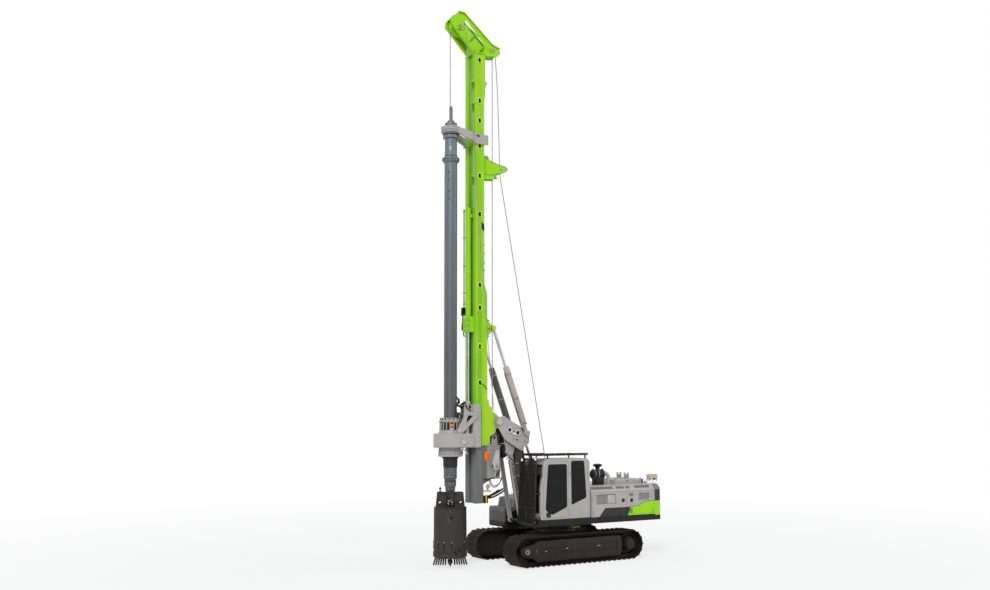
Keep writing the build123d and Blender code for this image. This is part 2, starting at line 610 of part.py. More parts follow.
def boom_arms():
    """Twin box arms of the parallelogram with their cross plates."""
    arms = None
    for side in (-1, 1):
        arm = bar_with_eyes(ARM_BASE, ARM_TOP, side * ARM_Y, ARM_HALF, 120, 120, 125)
        arms = arm if arms is None else arms + arm
    for low, high in ((450, 800), (1250, 1600)):
        outline = [along(ARM_BASE, ARM_TOP, low, -100), along(ARM_BASE, ARM_TOP, high, -100),
                   along(ARM_BASE, ARM_TOP, high, 100), along(ARM_BASE, ARM_TOP, low, 100)]
        arms += side_plate(outline, -ARM_Y, ARM_Y)
    return arms


def front_links():
    """Slim pair of bars ahead of the arms."""
    return [bar_with_eyes(LINK_BASE, LINK_TOP, side * LINK_Y, 32, 62, 62, 85) for side in (-1, 1)]


def triangle_frame():
    """Two big side plates on cross tubes, with the inner ears for the front links."""
    plate = [(2395, 4330), (2330, 4440), (2060, 4480), (2010, 4440), (1560, 4200), (1190, 4030), (1160, 3900),
             (1180, 3650), (1330, 3560), (1490, 3430), (2060, 3770), (2345, 4200)]
    frame = None
    for side in (-1, 1):
        y = side * (TRI_Y + TRI_PLATE / 2)
        cheek = side_plate(plate, y - TRI_PLATE / 2, y + TRI_PLATE / 2)
        cheek = cheek + across(*CROSS_SHAFT, 115, y - 30, y + 30)
        for x, z in ((1890, 4060), (1590, 3970)):
            cheek += across(x, z, 92, y - 26, y + 26)
            cheek -= across(x, z, 62, y - 40, y + 40)
        frame = cheek if frame is None else frame + cheek
    for x, z in ((1740, 4130), (1700, 3780)):
        frame += across(x, z, 70, -TRI_Y, TRI_Y)
    ears = [(LINK_TOP[0] - 110, LINK_TOP[1] - 60), (LINK_TOP[0] + 60, LINK_TOP[1] - 110),
            (LINK_TOP[0] + 110, LINK_TOP[1] + 20), (2010, 3800), (1640, 3860), (1600, 3600)]
    for side in (-1, 1):
        y = side * (LINK_Y - 32 - JOINT_GAP - 14)
        frame += side_plate(ears, y - 14, y + 14)
    frame -= across(*CROSS_SHAFT, SHAFT_R + CLEAR, -TRI_Y - 100, TRI_Y + 100)
    outer = TRI_Y + TRI_PLATE + 12
    for (x, z), reach in ((ARM_TOP, outer), (LINK_TOP, LINK_Y + 40), (LUFF_EYE, outer),
                          (TILT_BASE, TILT_Y + 45)):
        frame += across(x, z, PIN_R, -reach, reach)
    return frame


SHAFT_R, GLAND = 70, 9         # mast hinge shaft; the collar at a cylinder's open end stands proud


def cylinder_pair(base, top, y, bore_r, rod_r, neck, barrel, stroke_in, eye_half, drift):
    """Barrels and rods of two equal cylinders, one on each side. The rod's eye is bored out by drift."""
    span = hypot(top[0] - base[0], top[1] - base[1])
    barrels, rods = [], []
    for side in (-1, 1):
        place = side * y

        def at(distance):
            x, z = along(base, top, distance)
            return (x, place, z)

        body = rod_between(at(70), at(neck + 5), 52) + rod_between(at(neck), at(barrel), bore_r)
        body += rod_between(at(barrel - 70), at(barrel), bore_r + GLAND)
        body -= rod_between(at(neck + 60), at(barrel + 1), rod_r + CLEAR)
        body = body + across(*base, 85, place - eye_half, place + eye_half)
        barrels.append(body - across(*base, PIN_R + CLEAR, place - eye_half - 1, place + eye_half + 1))
        rod = rod_between(at(neck + 80 + stroke_in), at(span - 70), rod_r)
        rod = rod + across(*top, 82, place - eye_half, place + eye_half)
        rods.append(rod - across(*top, PIN_R + drift, place - eye_half - 1, place + eye_half + 1))
    return barrels, rods


# ---------------------------------------------------------------- mast
RAIL_OUT, RAIL_DEEP = 30, 45
RECESS_HALF, RECESS_DEEP = 140, 60        # channel between the rails, where the feed cylinder lies
BAND, BAND_DEEP = (2850, 2960), 8         # shallow upright groove on each side, from x to x
HOLE_X, HOLE_WIDE, HOLE_TALL = 2905, 95, 150
HOLE_HEIGHTS = (5500, 6600, 7800, 8510, 10730, 11950, 12900, 13720, 14360, 15680)
STEP_LOW, STEP_HIGH, STEP_BACK = 8250, 8550, 100          # the back comes forward above the cylinders
CROWN_LOW, CROWN_HIGH, CROWN_BACK = 14350, 14600, 60      # and goes out again under the head


def mast_outline(inset, rear=MAST_REAR):
    """The mast from above: a box with a guide rail on each front corner and a channel between them."""
    half, front = MAST_HALF - RAIL_OUT - inset, MAST_FRONT - inset
    side = [(rear + inset, half)]
    if inset:
        side += [(front, half)]
    else:
        side += [(BAND[0], half), (BAND[0], half - BAND_DEEP), (BAND[1], half - BAND_DEEP), (BAND[1], half),
                 (front - RAIL_DEEP, half), (front - RAIL_DEEP, MAST_HALF), (front, MAST_HALF)]
    side += [(front, RECESS_HALF + inset), (front - RECESS_DEEP, RECESS_HALF + inset)]
    return side + [(x, -y) for x, y in reversed(side)]


def behind_mast(inset):
    """What is cut from the mast's back, where it is less deep above the tilt cylinders."""
    behind, slope = 100, (STEP_HIGH - STEP_LOW) / STEP_BACK
    far, step, crown = MAST_REAR - behind, MAST_REAR + STEP_BACK, MAST_REAR + CROWN_BACK
    back = [(far, STEP_LOW - behind * slope), (step, STEP_HIGH), (step, CROWN_LOW), (crown, CROWN_HIGH),
            (crown, MAST_TOP + 10)]
    outline = [(x + inset, z) for x, z in back] + [(far, MAST_TOP + 10)]
    return side_plate(outline, -MAST_HALF - 1, MAST_HALF + 1)


def mast_lower():
    """Foot section: slim tube, a box with a recessed panel on each side, gussets, joint flange."""
    foot = plan_plate(mast_outline(0, FOOT_REAR), MAST_FOOT, MAST_JOINT)
    foot -= plan_plate(mast_outline(MAST_WALL, FOOT_REAR), MAST_FOOT + 25, MAST_JOINT + 1)
    box = block(BOX_REAR, FOOT_REAR + 5, -BOX_HALF, BOX_HALF, BOX_LOW, MAST_JOINT)
    x0, x1, z0, z1 = BOX_REAR + 50, FOOT_REAR - 30, BOX_LOW + 50, MAST_JOINT - 130
    panel = [(x0, z0), (x1, z0), (x1, z1), (x0, z1)]
    gusset = [(FOOT_REAR + 5, BOX_LOW + 5), (FOOT_REAR - 290, BOX_LOW + 5), (FOOT_REAR - 250, BOX_LOW - 40),
              (FOOT_REAR + 5, BOX_LOW - 170)]
    for side in (-1, 1):
        box -= spread(lambda y0, y1: side_plate(panel, y0, y1, 20), side, BOX_HALF - 14, BOX_HALF + 1)
        foot += spread(lambda y0, y1: side_plate(gusset, y0, y1), side, BOX_HALF - 90, BOX_HALF - 60)
    flange = block(BOX_REAR - 25, RAIL_CLEAR, -MAST_HALF, MAST_HALF, MAST_JOINT - FLANGE, MAST_JOINT)
    flange -= block(FOOT_REAR + MAST_WALL, RAIL_CLEAR + 1, -200, 200, MAST_JOINT - FLANGE - 1, MAST_JOINT + 1)
    return foot + box + flange + aux_winch_ears()


FLANGE = 28
RAIL_CLEAR = MAST_FRONT - 165             # flanges end here, behind the carriage's clasps


def mast_main():
    """Green main length with its hinge ears, cylinder brackets and lightening holes."""
    half = MAST_HALF - RAIL_OUT
    mast = plan_plate(mast_outline(0), MAST_JOINT, MAST_TOP) - behind_mast(0)
    mast -= plan_plate(mast_outline(MAST_WALL), MAST_JOINT - 1, MAST_TOP + 1) - behind_mast(MAST_WALL)
    for z in HOLE_HEIGHTS:
        mast -= tall_hole(HOLE_X, z, HOLE_WIDE, HOLE_TALL, half + 5)
    ears = [(MAST_REAR + 5, 3640), (MAST_REAR + 5, 5010), (MAST_REAR - 60, 4960), (MAST_REAR - 80, 4800),
            (MAST_REAR - 170, 4740), (MAST_REAR - 190, 4610), (MAST_REAR - 310, 4560),
            (CROSS_SHAFT[0] - 120, 4400), (CROSS_SHAFT[0] - 120, 4220), (MAST_REAR - 300, 4080),
            (MAST_REAR - 260, 3960), (MAST_REAR - 90, 3860), (MAST_REAR - 90, 3640)]
    x, z = TILT_EYE
    bracket = [(MAST_REAR + 5, 6850), (MAST_REAR + 5, 7520), (MAST_REAR - 60, 7400), (x - 20, z + 110),
               (x - 90, z), (x - 40, z - 100), (MAST_REAR - 60, 6980)]
    for side in (-1, 1):
        mast += spread(lambda y0, y1: side_plate(ears, y0, y1), side, half - 60, half - 10)
        mast += spread(lambda y0, y1: side_plate(bracket, y0, y1), side, half - 50, half - 10)
        mast += block(MAST_REAR - 90, RAIL_CLEAR, *sorted((side * (half - 60), side * MAST_HALF)),
                      MAST_JOINT, MAST_JOINT + FLANGE)
    mast += across(*CROSS_SHAFT, 130, -half + 10, half - 10)
    mast += across(*CROSS_SHAFT, SHAFT_R, -TRI_Y - TRI_PLATE - 30, TRI_Y + TRI_PLATE + 30)
    mast += across(*TILT_EYE, PIN_R, -TILT_Y - 45, TILT_Y + 45)
    mast += block(MAST_REAR + 30, MAST_REAR + 130, -half, half, MAST_JOINT, MAST_JOINT + FLANGE)
    back = MAST_REAR + CROWN_BACK
    ledge = [(back + 5, 14860), (back - 75, 14950), (back - 75, 14975), (back + 5, 15030)]
    return mast + side_plate(ledge, -half, half)


ARM_IN, ARM_WEB, ARM_LIP = 165, 18, 235   # head arms: inner face, web thickness, reach of the flanges
HEAD_FLANGE = 22


def mast_head():
    """Two flanged arms that slope up to the front sheave, tied by a chin box and a cross plate."""
    low = [(2180, 15960), (2640, MAST_TOP), (3060, MAST_TOP), (3880, 16720)]
    high = [(2100, 16250), (2380, 16330), (3400, 17170), (3600, 17180)]
    web = [(2060, 16090)] + low + [(3880, 16860)] + high[::-1]
    slot = [(2620, 16250), (2760, 16180), (3420, 16850), (3330, 16960)]
    head = None
    for side in (-1, 1):
        arm = spread(lambda y0, y1: side_plate(web, y0, y1, 30) - side_plate(slot, y0 - 5, y1 + 5, 25),
                     side, ARM_IN, ARM_IN + ARM_WEB)
        for strip in (strip_along(low[1:], -HEAD_FLANGE), strip_along(high, HEAD_FLANGE)):
            arm += spread(lambda y0, y1: side_plate(strip, y0, y1), side, ARM_IN - 30, ARM_LIP)
        for (x, z), boss in ((FRONT_SHEAVE, 105), (REAR_SHEAVE, 90)):
            arm += spread(lambda y0, y1: across(x, z, boss, y0, y1), side, ARM_IN - 30, ARM_IN + 50)
        head = arm if head is None else head + arm
    half = MAST_HALF - RAIL_OUT
    head += block(MAST_REAR + CROWN_BACK - 60, MAST_FRONT + 20, -half - 25, half + 25,
                  MAST_TOP, MAST_TOP + 30)
    chin = [(2680, MAST_TOP), (3070, MAST_TOP), (3190, 16080), (3150, 16120), (2760, 16120)]
    head += side_plate(chin, -ARM_IN, ARM_IN)
    cross = [(3030, 16310), (3060, 16285), (3240, 16470), (3210, 16495)]
    head += side_plate(cross, -ARM_IN, ARM_IN)
    for side in (-1, 1):
        gusset = [(side * ARM_IN, MAST_TOP + 20), (side * (half + 15), MAST_TOP + 20),
                  (side * ARM_IN, MAST_TOP + 260)]
        for x in (2700, 2980):
            head += front_plate(gusset, x, x + 20)
    for x, z in (FRONT_SHEAVE, REAR_SHEAVE):
        head -= across(x, z, 45 + CLEAR, -250, 250)
    return head


SHEAVE_R = 290
ROPE_R, GROOVE = 13, 45
FRONT_SHEAVE = (KELLY_X - SHEAVE_R + GROOVE - ROPE_R, 16700)
REAR_SHEAVE = (2390, 16150)


def sheave(place, radius):
    """Rope wheel with a grooved rim and its axle."""
    bottom = radius - GROOVE
    rim = [(0, -60), (radius, -60), (radius, -38), (bottom, -ROPE_R), (bottom, ROPE_R), (radius, 38),
           (radius, 60), (0, 60)]
    wheel = revolve(make_face(Polyline(*[(r, y, 0) for r, y in rim], close=True)), Axis.Y)
    axle = across(0, 0, 45, -200, 200)
    return Pos(place[0], 0, place[1]) * (wheel + axle)


def rope_guide():
    """Rear bracket on the mast: two horns with a roller at their tips, and a lower bracket."""
    back = MAST_REAR + STEP_BACK
    horn = [(back, 12080), (2420, 12060), (2050, 12160), (1830, 12260), (1790, 12330), (1850, 12400),
            (2150, 12440), (2450, 12540), (2480, 12640), (back, 12650)]
    bracket = [(back, 11900), (2180, 11960), (2150, 12020), (2250, 12080), (back, 12100)]
    guide = block(back - 20, back, -155, 155, 11880, 12660)
    for y in (-140, 140):
        guide += side_plate(horn, y - 13, y + 13, 22) + side_plate(bracket, y - 13, y + 13)
    for x, z, radius in ((2010, 12290, 42), (2260, 12020, 32), (2560, 12590, 32)):
        guide += across(x, z, radius, -140, 140)
    return guide


CROWD_X, CROWD_R, CROWD_ROD_R = MAST_FRONT + 80, 88, 50
CLAMP_HALF, CLAMP_FRONT = 238, MAST_FRONT + 140     # feed cylinder's clamp, inside the guide's clasps
CROWD_TOP, CROWD_END, CARRIAGE_TOP = 10950, 7050, 4850


def crowd_barrel():
    """Feed cylinder in the mast's channel, with a top clamp and a wide ribbed clamp at its foot."""
    tube = upright(CROWD_X, 0, CROWD_R, CROWD_END, CROWD_TOP)
    floor = MAST_FRONT - RECESS_DEEP + CLEAR
    tube += block(floor, CROWD_X, -110, 110, CROWD_TOP - 310, CROWD_TOP - 190)
    tube += block(MAST_FRONT + CLEAR, CLAMP_FRONT, -CLAMP_HALF, CLAMP_HALF, CROWD_END, CROWD_END + 480)
    for z in (CROWD_END + 60, CROWD_END + 210, CROWD_END + 360):
        tube += block(CLAMP_FRONT - 5, CLAMP_FRONT + 22, -CLAMP_HALF + 10, CLAMP_HALF - 10, z, z + 30)
    return tube - upright(CROWD_X, 0, CROWD_ROD_R + CLEAR, CROWD_END - 1, CROWD_TOP - 150)


def crowd_rod():
    """Feed rod down to the carriage."""
    return upright(CROWD_X, 0, CROWD_ROD_R, CARRIAGE_TOP, CROWD_END + 1700)


def aux_winch_ears():
    """Ears on the joint flange that carry the auxiliary drum."""
    x, z, half = AUX_WINCH
    ears = None
    for side in (-1, 1):
        y = side * (half + 22)
        outline = [(x - 110, MAST_JOINT - 5), (x + 130, MAST_JOINT - 5), (x + 90, z + 60), (x + 40, z + 85),
                   (x - 40, z + 85), (x - 80, z + 50)]
        ear = side_plate(outline, y - 12, y + 12)
        ear -= across(x, z, 45 + CLEAR, y - 20, y + 20)
        ears = ear if ears is None else ears + ear
    return ears


def aux_winch_drum():
    """Auxiliary rope drum behind the mast."""
    x, z, half = AUX_WINCH
    drum = across(x, z, 120, -half, half) + across(x, z, 45, -half - 34, half + 34)
    for side in (-1, 1):
        y0, y1 = sorted((side * half, side * (half - 18)))
        drum += across(x, z, 210, y0, y1)
    return drum


AUX_WINCH = (2330, MAST_JOINT + 225, MAST_HALF - 160)     # x, z and half width, between the hinge ears


# ---------------------------------------------------------------- rotary head
HEAD_BORE = KELLY_R + 12
BOLTS, BOLT_RING, BOLT_R = 12, 305, 13      # casing driver's bolt circle under the head
CARRIAGE_LOW, CARRIAGE_FACE = 3540, MAST_FRONT + 120
HEAD_LOW, CASE_LOW, CASE_TOP, HEAD_HIGH = 3270, 3540, 3960, 4430     # flange, gear case, drive drum
MOTOR_X, MOTOR_Y = CARRIAGE_FACE + 180, 230


def rail_clasp(side, z0, z1, wall, front, rear=MAST_FRONT - 150):
    """Wall, hook and lip that hold one of the mast's rails."""
    inner = MAST_HALF + CLEAR
    clasp = None
    for x0, x1, near in ((rear, front, inner), (MAST_FRONT - 120, MAST_FRONT - RAIL_DEEP - CLEAR, inner - 20),
                         (MAST_FRONT + CLEAR, front, inner - 80)):
        wall_part = block(x0, x1, *sorted((side * near, side * (inner + wall))), z0, z1)
        clasp = wall_part if clasp is None else clasp + wall_part
    return clasp


def rotary_carriage():
    """Slide frame that clasps the mast's rails, with a Y brace on each side down to the gear case."""
    inner, wall = MAST_HALF + CLEAR, 40
    frame = block(CARRIAGE_FACE - 60, CARRIAGE_FACE, -inner, inner, CARRIAGE_LOW, CARRIAGE_LOW + 380)
    frame += block(MAST_FRONT + CLEAR, CARRIAGE_FACE + 50, -inner, inner,
                   CARRIAGE_TOP - 330, CARRIAGE_TOP - 60)
    brace = [(3740, CASE_TOP + CLEAR), (3590, CASE_TOP + CLEAR), (3420, 4120), (3040, 4440), (3040, 4590),
             (3350, 4610), (3380, CARRIAGE_TOP), (3500, CARRIAGE_TOP), (3530, 4430), (3745, 4060)]
    window = [(3190, 4500), (3380, 4500), (3425, 4400), (3440, 4250)]
    for side in (-1, 1):
        frame += rail_clasp(side, CARRIAGE_LOW, CARRIAGE_TOP, wall, CARRIAGE_FACE)
        frame += spread(lambda y0, y1: side_plate(brace, y0, y1, 14) - side_plate(window, y0 - 1, y1 + 1, 12),
                        side, inner + wall - 3, inner + wall + 38)
        frame += block(CARRIAGE_FACE + 40, 3400, *sorted((side * (inner - 60), side * (inner + wall + 5))),
                       CARRIAGE_TOP - 330, CARRIAGE_TOP - 250)
    return frame


def rotary_gearbox():
    """Gear case with a round nose and flat sides, the ribbed drive drum over it and the flange under it."""
    start, end = (KELLY_X - 80, -505, CASE_LOW), (KELLY_X - 80, 505, CASE_LOW)
    back = ((CARRIAGE_FACE, 420, CASE_LOW), (CARRIAGE_FACE, -420, CASE_LOW))
    nose = ThreePointArc(start, (KELLY_X + hypot(80, 505), 0, CASE_LOW), end)
    edge = Polyline(end, *back, start) + nose
    case = extrude(make_face(edge), amount=CASE_TOP - CASE_LOW, dir=(0, 0, 1))
    case = chamfer(case.edges().group_by(Axis.Z)[0], 26)
    low, high = HEAD_LOW, HEAD_HIGH
    case += turned([(HEAD_BORE, low), (350, low), (372, low + 20), (372, low + 50), (325, low + 65),
                    (318, CASE_LOW + 5), (HEAD_BORE, CASE_LOW + 5)])
    case += turned([(HEAD_BORE, CASE_TOP - 5), (360, CASE_TOP - 5), (352, CASE_TOP + 30), (335, 4045),
                    (298, 4055), (298, 4295), (338, 4305), (338, 4335), (322, 4345), (322, high),
                    (HEAD_BORE, high)])
    case -= upright(KELLY_X, 0, HEAD_BORE, low - 10, high + 10)

    def round_head(count, shape):
        """Copies of a shape about the kelly's axis."""
        return [Pos(KELLY_X, 0, 0) * Rot(0, 0, 360 * number / count) * shape for number in range(count)]

    rib = Plane.XZ * make_face(Polyline((296, 4040), (334, 4040), (330, 4300), (296, 4300), close=True))
    foot = Plane.XZ * make_face(Polyline((310, low + 30), (366, low + 30), (345, CASE_LOW), (310, CASE_LOW),
                                         close=True))
    case += round_head(18, extrude(rib, 9, both=True)) + round_head(12, extrude(foot, 9, both=True))
    case -= round_head(16, block(300, 330, -24, 24, high - 60, high + 1))
    case -= round_head(BOLTS, upright(BOLT_RING, 0, BOLT_R, low - 10, low + 56))
    for side in (-1, 1):
        case += upright(MOTOR_X, side * MOTOR_Y, 100, CASE_TOP - 5, 4240)
        case += upright(MOTOR_X, side * MOTOR_Y, 75, 4240, 4330)
        case += spread(lambda y0, y1: across(3600, 3750, 48, y0, y1), side, 470, 512)
    return case


def drive_sleeve():
    """Turning sleeve under the head: rubber cone, three spring bands and its foot ring."""
    top = HEAD_LOW - CLEAR
    steps = [(0, 2620), (15, 2620), (15, 2700), (32, 2715)]
    for number in range(3):
        z = 2725 + 70 * number
        steps += [(32, z), (46, z + 12), (46, z + 38), (32, z + 50)]
    steps += [(32, 2950), (50, 3000), (62, top), (0, top)]
    return turned([(HEAD_BORE + wall, z) for wall, z in steps])


# ---------------------------------------------------------------- kelly bar and bucket
EYE_R, KELLY_TOP = 22, 13580             # rope eye in the swivel; closed end of the outer tube
GUIDE_LOW, GUIDE_HIGH = 12950, 13262     # the guide's clasps on the rails
KEYS, KEY_HALF, KEY_OUT = 6, 16, 9       # long drive keys on the kelly's outer tube
KELLY_FLANGE, FLANGE_R = 13240, 245      # flange that the guide's ring sits on: its top and radius


def kelly_guide():
    """Ring on the kelly bar's top flange, on two tapered arms down to long clasps on the rails."""
    z0, z1 = KELLY_FLANGE + CLEAR, KELLY_FLANGE + 190
    inner = MAST_HALF + CLEAR
    bore = KELLY_R + 12
    guide = turned([(bore, z0), (285, z0), (305, z0 + 25), (305, z1 - 15), (290, z1), (bore, z1)])
    root, tip = MAST_FRONT + 25, KELLY_X - 40
    side_view = [(root, GUIDE_LOW + 60), (root, GUIDE_HIGH), (3420, z1 - 60), (tip, z1 - 12), (tip, z0 + 12),
                 (3450, GUIDE_LOW + 190)]
    for side in (-1, 1):
        above = [(root, side * (inner + 35)), (root, side * (inner - 55)), (3420, side * 235),
                 (tip, side * 222), (tip, side * 298), (3560, side * 300), (3300, side * 335)]
        guide += plan_plate(above, GUIDE_LOW, z1) & side_plate(side_view, -400, 400)
        clasp = rail_clasp(side, GUIDE_LOW, GUIDE_HIGH, 35, MAST_FRONT + 60, MAST_FRONT - 430)
        guide += clasp - block(MAST_FRONT - 110, MAST_FRONT - 10,
                               *sorted((side * (inner + 20), side * (inner + 36))),
                               GUIDE_HIGH - 70, GUIDE_HIGH - 25)
    guide -= upright(KELLY_X, 0, FLANGE_R + 8, z0 - 300, z0)
    return guide - upright(KELLY_X, 0, bore, z0 - 5, z1 + 10)


def kelly_tube():
    """Outer tube with its stop collar, drive keys and a closed top with the rope swivel's seat."""
    bore, key = KELLY_R - KELLY_WALL, INNER_KELLY_R + CLEAR
    tube = turned([(bore, KELLY_FOOT + 300), (key, KELLY_FOOT + 300), (key, KELLY_FOOT),
                   (KELLY_R, KELLY_FOOT), (KELLY_R, 12290), (240, 12330), (270, 12360), (270, 12440),
                   (240, 12470), (KELLY_R, 12510),
                   (KELLY_R, KELLY_FLANGE - 180), (FLANGE_R, KELLY_FLANGE - 160), (FLANGE_R, KELLY_FLANGE),
                   (KELLY_R, KELLY_FLANGE),
                   (KELLY_R, KELLY_TOP - 20), (0, KELLY_TOP), (0, KELLY_TOP - 40), (bore, KELLY_TOP - 40)])
    bar = block(KELLY_R - 4, KELLY_R + KEY_OUT, -KEY_HALF, KEY_HALF, KELLY_FOOT + 40, 12300)
    for number in range(KEYS):
        tube += Pos(KELLY_X, 0, 0) * Rot(0, 0, 360 * (number + 0.5) / KEYS) * bar
    return tube


def kelly_swivel():
    """Rope swivel on the kelly bar's top."""
    seat = KELLY_TOP + CLEAR
    stem = turned([(0, seat), (110, seat), (110, 13640), (48, 13680), (48, 13980), (0, 13980)])
    lug = block(KELLY_X - 45, KELLY_X + 45, -30, 30, 13970, 14110)
    lug = chamfer(lug.edges().filter_by(Axis.Y).group_by(Axis.Z)[-1], 25)
    return stem + lug - across(KELLY_X, 14055, EYE_R, -31, 31)


def kelly_inner():
    """Inner bar inside the tube and the square stub that carries the bucket."""
    low = KELLY_FOOT - 20
    bar = turned([(0, low), (INNER_KELLY_R, low), (INNER_KELLY_R, 13300), (INNER_KELLY_R - 22, 13300),
                  (INNER_KELLY_R - 22, low + 60), (0, low + 60)])
    half = STUB / 2
    return bar + block(KELLY_X - half, KELLY_X + half, -half, half, STUB_FOOT, low + 10)


def bucket():
    """Digging bucket: socket frame with ribs on top and an open-bottomed barrel."""
    base, top = BUCKET_BASE, BUCKET_TOP
    narrow = BUCKET_R - 20
    barrel = turned([(BUCKET_R - BUCKET_WALL, base), (BUCKET_R, base), (narrow, top), (narrow, top + 30),
                     (0, top + 30), (0, top), (narrow - BUCKET_WALL, top)])
    cheek = [(-430, top + 30), (430, top + 30), (375, STUB_FOOT - 30), (-375, STUB_FOOT - 30)]
    shell = barrel + block(KELLY_X - 160, KELLY_X + 160, -160, 160, top + 30, STUB_FOOT)
    for x in (-150, 130):
        plate = front_plate(cheek, KELLY_X + x, KELLY_X + x + 20)
        for y in (-300, 300):
            plate -= rod_between((KELLY_X + x - 5, y, top + 200), (KELLY_X + x + 25, y, top + 200), 38)
        shell += plate
    for side in (-1, 1):
        shell += block(KELLY_X - 140, KELLY_X + 140, *sorted((side * 345, side * 365)),
                       top + 30, STUB_FOOT - 30)
    for number in range(12):
        bar = block(BUCKET_R - 8, BUCKET_R + 14, -14, 14, base + 15, base + 165)
        shell += Pos(KELLY_X, 0, 0) * Rot(0, 0, 30 * number + 15) * bar
    y, z = GATE_HINGE
    for x in (KELLY_X - 75, KELLY_X + 75):
        ear = [(narrow, z + 12), (y - 34, z + 5), (y - 25, z - 25), (y, z - 35), (y + 34, z - 5),
               (y + 30, z + 40), (narrow, z + 210)]
        shell += front_plate(ear, x - 14, x + 14)
    shell += rod_between((KELLY_X - 95, y, z), (KELLY_X + 95, y, z), GATE_PIN)
    shell -= rod_between((KELLY_X, 0, base - 5), (KELLY_X, 0, top - 5), narrow - BUCKET_WALL)
    return shell - rod_between((KELLY_X, 0, 1420), (KELLY_X + 600, 0, 1420), VENT_R)


GATE_PIN, VENT_R = 18, 48
GATE_HINGE = (BUCKET_R + RING_FLARE + 42, BUCKET_BASE + 2)      # y and z of the bottom's hinge


def bucket_gate():
    """Hinged bottom: cutting ring, floor plate, hinge arm, teeth and the centre pilot."""
    rim = BUCKET_BASE - 2
    gate = turned([(0, 300), (BUCKET_R + RING_FLARE, 300), (BUCKET_R + RING_FLARE, rim), (BUCKET_R - 40, rim),
                   (BUCKET_R - 40, 360), (0, 360)])
    y, z = GATE_HINGE
    hinge_arm = [(BUCKET_R + 12, 330), (y + 10, 380), (y + 32, z), (y, z + 32), (y - 32, z),
                 (BUCKET_R + 12, rim - 5)]
    gate += front_plate(hinge_arm, KELLY_X - 52, KELLY_X + 52)
    gate -= rod_between((KELLY_X - 60, y, z), (KELLY_X + 60, y, z), GATE_PIN + CLEAR)
    tooth = side_plate([(-30, 305), (30, 305), (60, 90), (30, 60), (0, 90)], -28, 28)
    for number in range(6):
        radius = 110 + number * 68
        for turn in (0, 180):
            gate += Pos(KELLY_X, 0, 0) * Rot(0, 0, turn) * Pos(0, radius, 0) * tooth
    return gate + turned([(0, 20), (60, 110), (70, 305), (0, 305)])


# ---------------------------------------------------------------- write every sub-part
def main():
    os.makedirs("parts", exist_ok=True)
    luff_barrels, luff_rods = cylinder_pair(LUFF_BASE, LUFF_EYE, LUFF_Y, 78, 45, 120, 1500, 35, 38, 9)
    tilt_barrels, tilt_rods = cylinder_pair(TILT_BASE, TILT_EYE, TILT_Y, 82, 48, 350, 2180, 220, 34, 11)
    save("carbody", carbody())
    save("swing_bearing", swing_bearing())
    for name, hand in (("left", 1), ("right", -1)):
        def handed(shape):
            return shape if hand > 0 else mirror(shape, Plane.XZ)
        save(f"track_{name}", handed(track()))
    save("track_frames", both_sides(track_frame()))
    save("track_rollers", [piece for roller in rollers() for piece in both_sides(roller)])
    save("idlers", both_sides(idler()))
    save("drive_sprockets", both_sides(sprocket()))
    save("upper_frame", upper_frame())
    save("right_front_box", right_front_box())
    save("right_tank", right_walkway_tank())
    save("counterweight", counterweight())
    save("engine_hood", engine_hood())
    save("engine_block", engine_block())
    for name, rear, front in SIDE_DOORS:
        for side_name, side in (("left", 1), ("right", -1)):
            save(f"{name}_door_{side_name}", side_door(name, rear, front, side))
    save("cab_shell", cab_shell())
    save("cab_glass", cab_glass())
    save("cab_door", cab_door())
    save("cab_door_glass", cab_door_glass())
    save("cab_front_guard", cab_front_guard())
    save("cab_roof_guard", cab_roof_guard())
    save("operator_seat", operator_seat())
    save("main_winch_drum", main_winch_drum())
    save("air_cleaner", air_cleaner())
    save("exhaust", exhaust())
    save("boom_arms", boom_arms())
    save("front_links", front_links())
    save("triangle_frame", triangle_frame())
    save("luff_barrels", luff_barrels)
    save("luff_rods", luff_rods)
    save("tilt_barrels", tilt_barrels)
    save("tilt_rods", tilt_rods)
    save("mast_lower", mast_lower())
    save("mast_main", mast_main())
    save("mast_head", mast_head())
    save("front_sheave", sheave(FRONT_SHEAVE, SHEAVE_R))
    save("rear_sheave", sheave(REAR_SHEAVE, 200))
    save("rope_guide", rope_guide())
    save("crowd_barrel", crowd_barrel())
    save("crowd_rod", crowd_rod())
    save("aux_winch_drum", aux_winch_drum())
    save("rotary_carriage", rotary_carriage())
    save("rotary_gearbox", rotary_gearbox())
    save("drive_sleeve", drive_sleeve())
    save("kelly_guide", kelly_guide())
    save("kelly_tube", kelly_tube())
    save("kelly_swivel", kelly_swivel())
    save("kelly_inner", kelly_inner())
    save("bucket", bucket())
    save("bucket_gate", bucket_gate())


main()
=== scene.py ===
# %% [markdown]
# # A rotary piling rig, finished in Blender
#
# The rig's sizes, joints and solids were settled in CAD and packed. This script loads
# them as a fixed frame and adds what a machine's paint shop, hose fitter and rigger add:
# finishes, glass, hoses, ropes, bolts, lamps and handles. Every new piece rides on one of
# the imported bodies, so if a body moves, its fittings move with it.

# %% The imported frame
import json
from math import cos, pi, radians, sin

import bmesh
import bpy
from mathutils import Matrix, Vector

